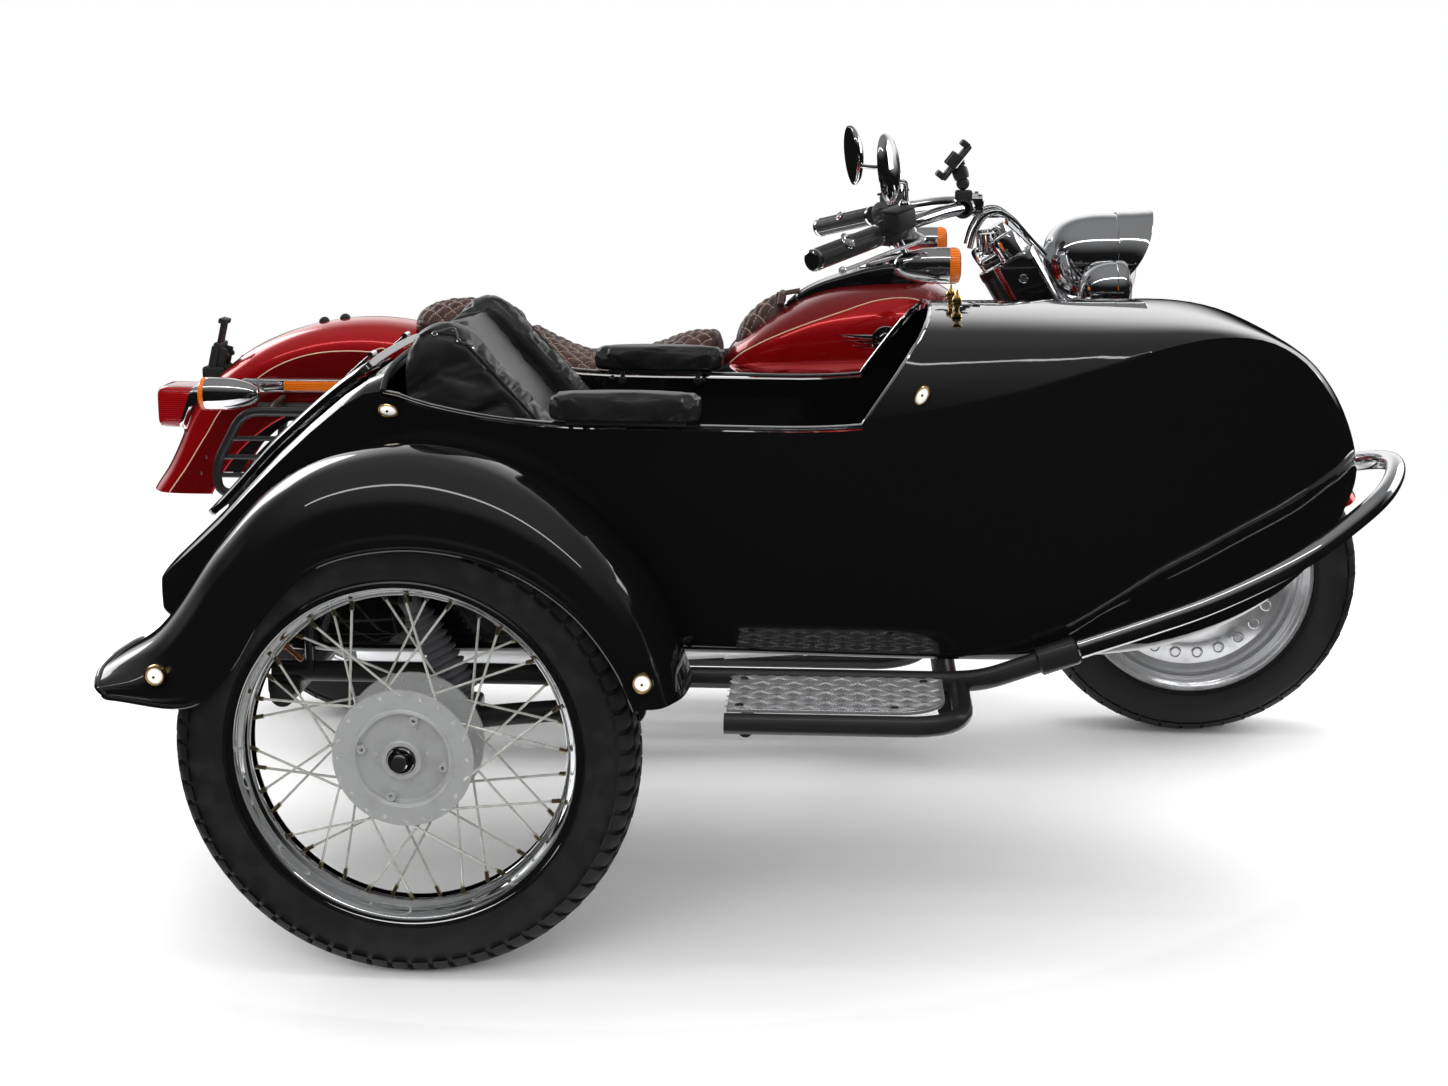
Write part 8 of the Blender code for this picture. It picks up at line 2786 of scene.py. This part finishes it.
def footboards():
    for tag, s in sides:
        form = Form()
        outline = [(0.902, s * 0.207, 0), (1.178, s * 0.207, 0), (1.178, s * 0.293, 0), (0.902,
                s * 0.293, 0)]
        ring = bentLine(outline, 0.034, 8, closed=True)
        form.loft([[Vector((p.x, p.y, z)) for p in ring] for z in (0.2625, 0.2700)])
        form.tube([(0.96, s * 0.207, 0.262), (0.96, s * 0.170, 0.230), (0.96, s * 0.146, 0.190)], 0.009, 14)
        form.tube([(1.12, s * 0.207, 0.262), (1.12, s * 0.170, 0.230), (1.10, s * 0.146, 0.190)], 0.009, 14)
        form.piece("footboardPan" + tag.capitalize(), "chassis", satin, "satin_black",
                   "footboard_" + tag, bevel=0.001)
        pad = Form()
        middle = Vector((1.04, s * 0.25, 0))
        small = [middle + (p - middle) * 0.93 for p in ring]
        pad.loft([[Vector((p.x, p.y, z)) for p in small] for z in (0.2700, 0.2732)])
        for k in range(11):
            x = 0.925 + 0.023 * k
            pad.block((x - 0.004, s * 0.25 - 0.033, 0.273), (x + 0.004, s * 0.25 + 0.033, 0.2758), None,
                      0.001, 1)
        pad.piece("footboardPad" + tag.capitalize(), "chassis", soft, "soft_rubber")
        pedal = Form()
        if s > 0:
            pedal.tube(smoothLine([(0.970, 0.192, 0.300), (1.060, 0.196, 0.335), (1.150, 0.204, 0.345),
                                   (1.176, 0.222, 0.346)], 6),
                       0.0065, 12)
            pedal.lathe([(0.0105, 0), (0.0105, 0.040), (0.008, 0.043), (0, 0.043)], (1.176, 0.214,
                    0.346), across, 20)
        else:
            pedal.tube(smoothLine([(0.990, -0.190, 0.285), (1.080, -0.200, 0.320), (1.140, -0.224,
                    0.336)], 6), 0.0075, 12)
            pedal.block((1.115, -0.265, 0.334), (1.168, -0.212, 0.342), None, 0.003, 2)
        pedal.rod((0.972, s * 0.150, 0.296), (0.972, s * 0.200, 0.296), 0.011, 18)
        pedal.piece("footPedal" + tag.capitalize(), "chassis", chrome, "chrome")


def frameTubes():
    form = Form()
    w = 0.145
    form.tube(bentLine([(1.262, 0, 0.808), (0.640, 0, 0.728), (0.500, 0, 0.660)], 0.06, 8), 0.025, 24)
    form.lathe([(0.030, 0.5415), (0.0315, 0.545), (0.0315, 0.556), (0.030, 0.560), (0.030, 0.708),
                (0.0315, 0.712), (0.0315, 0.724),
                (0.030, 0.728)], onFork(0, 0, forkBack), forkUp, 40)
    for s in (-1, 1):
        cradle = [(1.300, s * 0.012, 0.800), (1.230, s * 0.065, 0.725), (1.165, s * w, 0.470), (1.105,
                s * w, 0.185),
                  (1.040, s * w, 0.165), (0.480, s * w, 0.165), (0.420, s * w, 0.225), (0.420, s * w,
                          0.590), (0.490, s * 0.012, 0.655)]
        form.tube(bentLine(cradle, 0.06, 8), 0.016, 20)
        form.tube(bentLine([(0.420, s * w, 0.590), (0.300, s * 0.136, 0.655), (-0.200, s * 0.136,
                0.655)], 0.05, 8), 0.012, 18)
        form.block((0.392, s * w - 0.010, 0.300), (0.448, s * w + 0.010, 0.392), None, 0.006, 2)
        form.block((1.150, s * w - 0.008, 0.372), (1.186, s * w + 0.010, 0.424), None, 0.005, 2)
    for x, z in ((1.045, 0.165), (0.475, 0.165), (0.420, 0.430)):
        form.rod((x, -w, z), (x, w, z), 0.013, 18)
    form.piece("frameTubing", "chassis", satin, "satin_black", "frame", bevel=0.0008)
    arm = Form()
    arm.rod((0.392, -0.108, 0.345), (0.392, 0.108, 0.345), 0.020, 24)
    for s in (-1, 1):
        y = s * 0.109
        arm.tube([(0.392, y, 0.345), (0.340, y, 0.3435), (0.040, y, 0.3275), (0.0, y, 0.326)], [0.018,
                0.0145, 0.0145, 0.016], 20)
        arm.lathe([(0.024, -0.012), (0.026, -0.009), (0.026, 0.009), (0.024, 0.012)], (-0.008, y, 0.326),
                  across, 32)
    arm.rod((0, -0.130, 0.326), (0, 0.130, 0.326), 0.011, 20)
    arm.piece("rearSwingarm", "chassis", satin, "satin_black", "swingarm", bevel=0.0006)
    nuts = Form()
    for s in (-1, 1):
        nuts.bolt((0, s * 0.122, 0.326), (0, s, 0), 0.0165, 0.010)
        nuts.bolt((0.392, s * 0.108, 0.345), (0, s, 0), 0.0145, 0.010)
    nuts.piece("axleNuts", "chassis", chrome, "chrome")
    belt = Form()
    front, frontR, rearR, y0, y1 = Vector((0.58, 0, 0.318)), 0.052, 0.1205, 0.068, 0.083
    line = front - rearHub
    tilt = math.atan2(line.z, line.x)
    split = math.acos((rearR - frontR) / line.length)
    path = []
    for hub, r, start, end in ((rearHub, rearR, tilt + split, tilt + math.tau - split), (front, frontR,
            tilt - split, tilt + split)):
        for k in range(33):
            a = start + (end - start) * k / 32
            path.append((hub + Vector((math.cos(a) * r, 0, math.sin(a) * r)), Vector((math.cos(a), 0,
                    math.sin(a)))))
    rings = [[p + across * y + out * d for y, d in ((y0, 0), (y1, 0), (y1, 0.0045), (y0, 0.0045))] for p,
             out in path]
    belt.loft(rings, caps=False, loop=True)
    belt.piece("driveBelt", "chassis", rubber, "soft_rubber")


def sidecarSuspension():
    form = Form()
    pivot = Vector((0.632, -1.104, 0.372))
    form.tube(bentLine([pivot, (0.420, -1.104, 0.352), (sideHub.x, -1.110, sideHub.z)], 0.05, 6), 0.0165,
              20)
    form.lathe([(0.024, -0.020), (0.0255, -0.017), (0.0255, 0.017), (0.024, 0.020)], pivot, across, 32)
    form.lathe([(0.026, -0.012), (0.028, -0.009), (0.028, 0.030), (0.024, 0.034)], (sideHub.x, -1.112,
            sideHub.z), across, 36)
    form.rod((sideHub.x, -1.290, sideHub.z), (sideHub.x, -1.085, sideHub.z), 0.0105, 20)
    form.block((0.376, -1.118, 0.350), (0.408, -1.070, 0.380), None, 0.006, 2)
    form.piece("sidecarSwingarm", "chassis", satin, "satin_black", "sidecar_swingarm", bevel=0.0008)
    top, foot = Vector((0.300, -1.094, 0.530)), Vector((0.392, -1.094, 0.366))
    line = (foot - top).normalized()
    length = (foot - top).length
    profile = [(0, 0), (0.0155, 0), (0.0165, 0.003), (0.0165, 0.024), (0.0200, 0.026), (0.0215, 0.030)]
    folds = 11
    for k in range(folds):
        along = 0.030 + (length - 0.056) * k / folds
        gap = (length - 0.056) / folds
        profile += [(0.0195, along + 0.06 * gap), (0.0248, along + 0.30 * gap), (0.0268,
                along + 0.50 * gap),
                    (0.0248, along + 0.72 * gap), (0.0195, along + 0.94 * gap)]
    profile += [(0.0200, length - 0.024), (0.0120, length - 0.020), (0.0120, length - 0.001), (0, length)]
    shock = Form()
    shock.lathe(profile, top, line, 44)
    shock.piece("shockGaiter", "chassis", gaiter, "soft_rubber", "sidecar_shock", angle=50)
    ends = Form()
    ends.rod((top.x, -1.108, top.z), (top.x, -1.0560, top.z), 0.0098, 18)
    for place, s in ((top, -1), (foot, -1)):
        ends.bolt((place.x, -1.1085 if place is top else -1.108, place.z), (0, s, 0), 0.0085, 0.006)
    ends.piece("shockBolts", "chassis", steel, "chrome")


cylinders()
crankcase()
primaryCase()
breathing()
footboards()
frameTubes()
sidecarSuspension()
print("engine and frame,", pieceCount, "pieces")


# ---- floor, light and camera ----
def studio():
    look = {"floor": 0.93, "floorRough": 0.55, "back": 1.0, "wall": 1.0, "ceiling": 0.22, "melt": (1.9,
            3.6), "key": 90.0, "fill": 34.0, "rim": 40.0, "strip": 16.0}
    paint = Paint("studio floor", (look["floor"],) * 3, look["floorRough"])
    paint.put("Base Color", paint.blend(paint.ramp(paint.cloud(1.3, 3.0), 0.3, 0.7), (0.92,) * 3,
                                        (0.94,) * 3))
    # the floor melts into the white behind it
    reach = paint.node("ShaderNodeVectorMath", {"operation": "LENGTH"}, {0: paint.where()}, out=1)
    paint.put("Alpha", paint.ramp(reach, look["melt"][0], look["melt"][1], 1.0, 0.0))
    form = Form()
    form.mesh.faces.new([form.mesh.verts.new(p) for p in ((-30, -30, -0.0006), (30, -30, -0.0006), (30,
            30, -0.0006),
                                                         (-30, 30, -0.0006))])
    floor = form.object("studioFloor", turnOut=False)
    floor.data.materials.append(paint.material)
    floor.visible_glossy = False
    near = Form()
    near.lathe([(0, -0.0003), (1.55, -0.0003), (1.56, -0.0004)], (0.5, 0.15, 0), upward, 64)
    mat = near.object("studioFloorNear", turnOut=False)
    mat.data.materials.append(paint.material)
    mat.visible_camera = False
    mat.visible_diffuse = False
    mat.visible_shadow = False

    world = bpy.data.worlds.new("studio")
    bpy.context.scene.world = world
    world.use_nodes = True
    tree = world.node_tree
    add, link = tree.nodes.new, tree.links.new
    for old in list(tree.nodes):
        tree.nodes.remove(old)
    out, mix, seen = add("ShaderNodeOutputWorld"), add("ShaderNodeMixShader"), add("ShaderNodeBackground")
    lit, path, place, parts = (add("ShaderNodeBackground"), add("ShaderNodeLightPath"),
                               add("ShaderNodeTexCoord"),
                               add("ShaderNodeSeparateXYZ"))
    seen.inputs["Color"].default_value = (1, 1, 1, 1)
    seen.inputs["Strength"].default_value = look["back"]
    link(place.outputs["Generated"], parts.inputs[0])

    def sum(operation, a, b):
        node = add("ShaderNodeMath")
        node.operation = operation
        for index, value in enumerate((a, b)):
            if isinstance(value, (int, float)):
                node.inputs[index].default_value = value
            else:
                link(value, node.inputs[index])
        return node.outputs[0]

    # a pale wall low behind, a dim ceiling, and dark in front, as the gloss paint shows them
    def slope(value, low, high):
        node = add("ShaderNodeMapRange")
        node.interpolation_type = "SMOOTHSTEP"
        node.inputs["From Min"].default_value, node.inputs["From Max"].default_value = low, high
        link(value, node.inputs["Value"])
        return node.outputs[0]

    behind = sum("MULTIPLY", slope(parts.outputs["Y"], 0.10, 0.80), slope(parts.outputs["Z"], 0.78, 0.25))
    behind = sum("MULTIPLY", behind, slope(parts.outputs["Z"], -0.02, 0.12))
    ceiling = sum("MULTIPLY", slope(parts.outputs["Z"], 0.30, 0.95), look["ceiling"])
    glow = sum("ADD", sum("MULTIPLY", behind, look["wall"]), sum("ADD", ceiling, 0.006))
    link(glow, lit.inputs["Strength"])
    lit.inputs["Color"].default_value = (1, 1, 1, 1)
    # reflections see the cove; the eye and the soft light see plain white
    link(path.outputs["Is Glossy Ray"], mix.inputs[0])
    link(seen.outputs[0], mix.inputs[1])
    link(lit.outputs[0], mix.inputs[2])
    link(mix.outputs[0], out.inputs[0])

    def softbox(name, place, aim, size, power, glossy=True):
        data = bpy.data.lights.new(name, "AREA")
        data.shape = "RECTANGLE"
        data.size, data.size_y = size
        data.energy = power
        lamp = bpy.data.objects.new(name, data)
        bpy.context.scene.collection.objects.link(lamp)
        lamp.location = Vector(place) + ground
        lamp.rotation_euler = (Vector(aim) - Vector(place)).to_track_quat("-Z", "Y").to_euler()
        lamp.visible_glossy = glossy
        lamp.visible_camera = False
        return lamp

    softbox("overhead", (0.6, 0.4, 3.6), (0.5, -0.4, 0), (4.5, 2.2), look["key"], glossy=False)
    softbox("frontFill", (0.2, -4.6, 2.6), (0.5, -0.6, 0.5), (3.5, 2.5), look["fill"] * 2.2, glossy=False)
    softbox("stripLight", (0.5, -1.9, 3.6), (0.5, -0.6, 0.6), (6.5, 0.16), look["strip"])
    softbox("rearFill", (-3.0, 3.0, 2.4), (0.4, 0, 0.5), (2.5, 2.0), look["rim"])
    softbox("noseFill", (4.4, 1.4, 2.2), (0.9, 0, 0.5), (2.2, 2.0), look["rim"])


def camera():
    shot = {"place": (0.9454, -3.899, 1.2685), "turn": 3.57, "down": 13.01, "lens": 49.21}
    data = bpy.data.cameras.new("camera")
    data.lens = shot["lens"]
    data.sensor_width = 36.0
    data.clip_start, data.clip_end = 0.05, 200
    made = bpy.data.objects.new("camera", data)
    bpy.context.scene.collection.objects.link(made)
    made.location = Vector(shot["place"]) + ground
    made.rotation_euler = (math.radians(90 - shot["down"]), 0, math.radians(shot["turn"]))
    bpy.context.scene.camera = made
    bpy.context.scene.view_settings.view_transform = "Standard"


studio()
camera()
print("stage set,", pieceCount, "pieces")
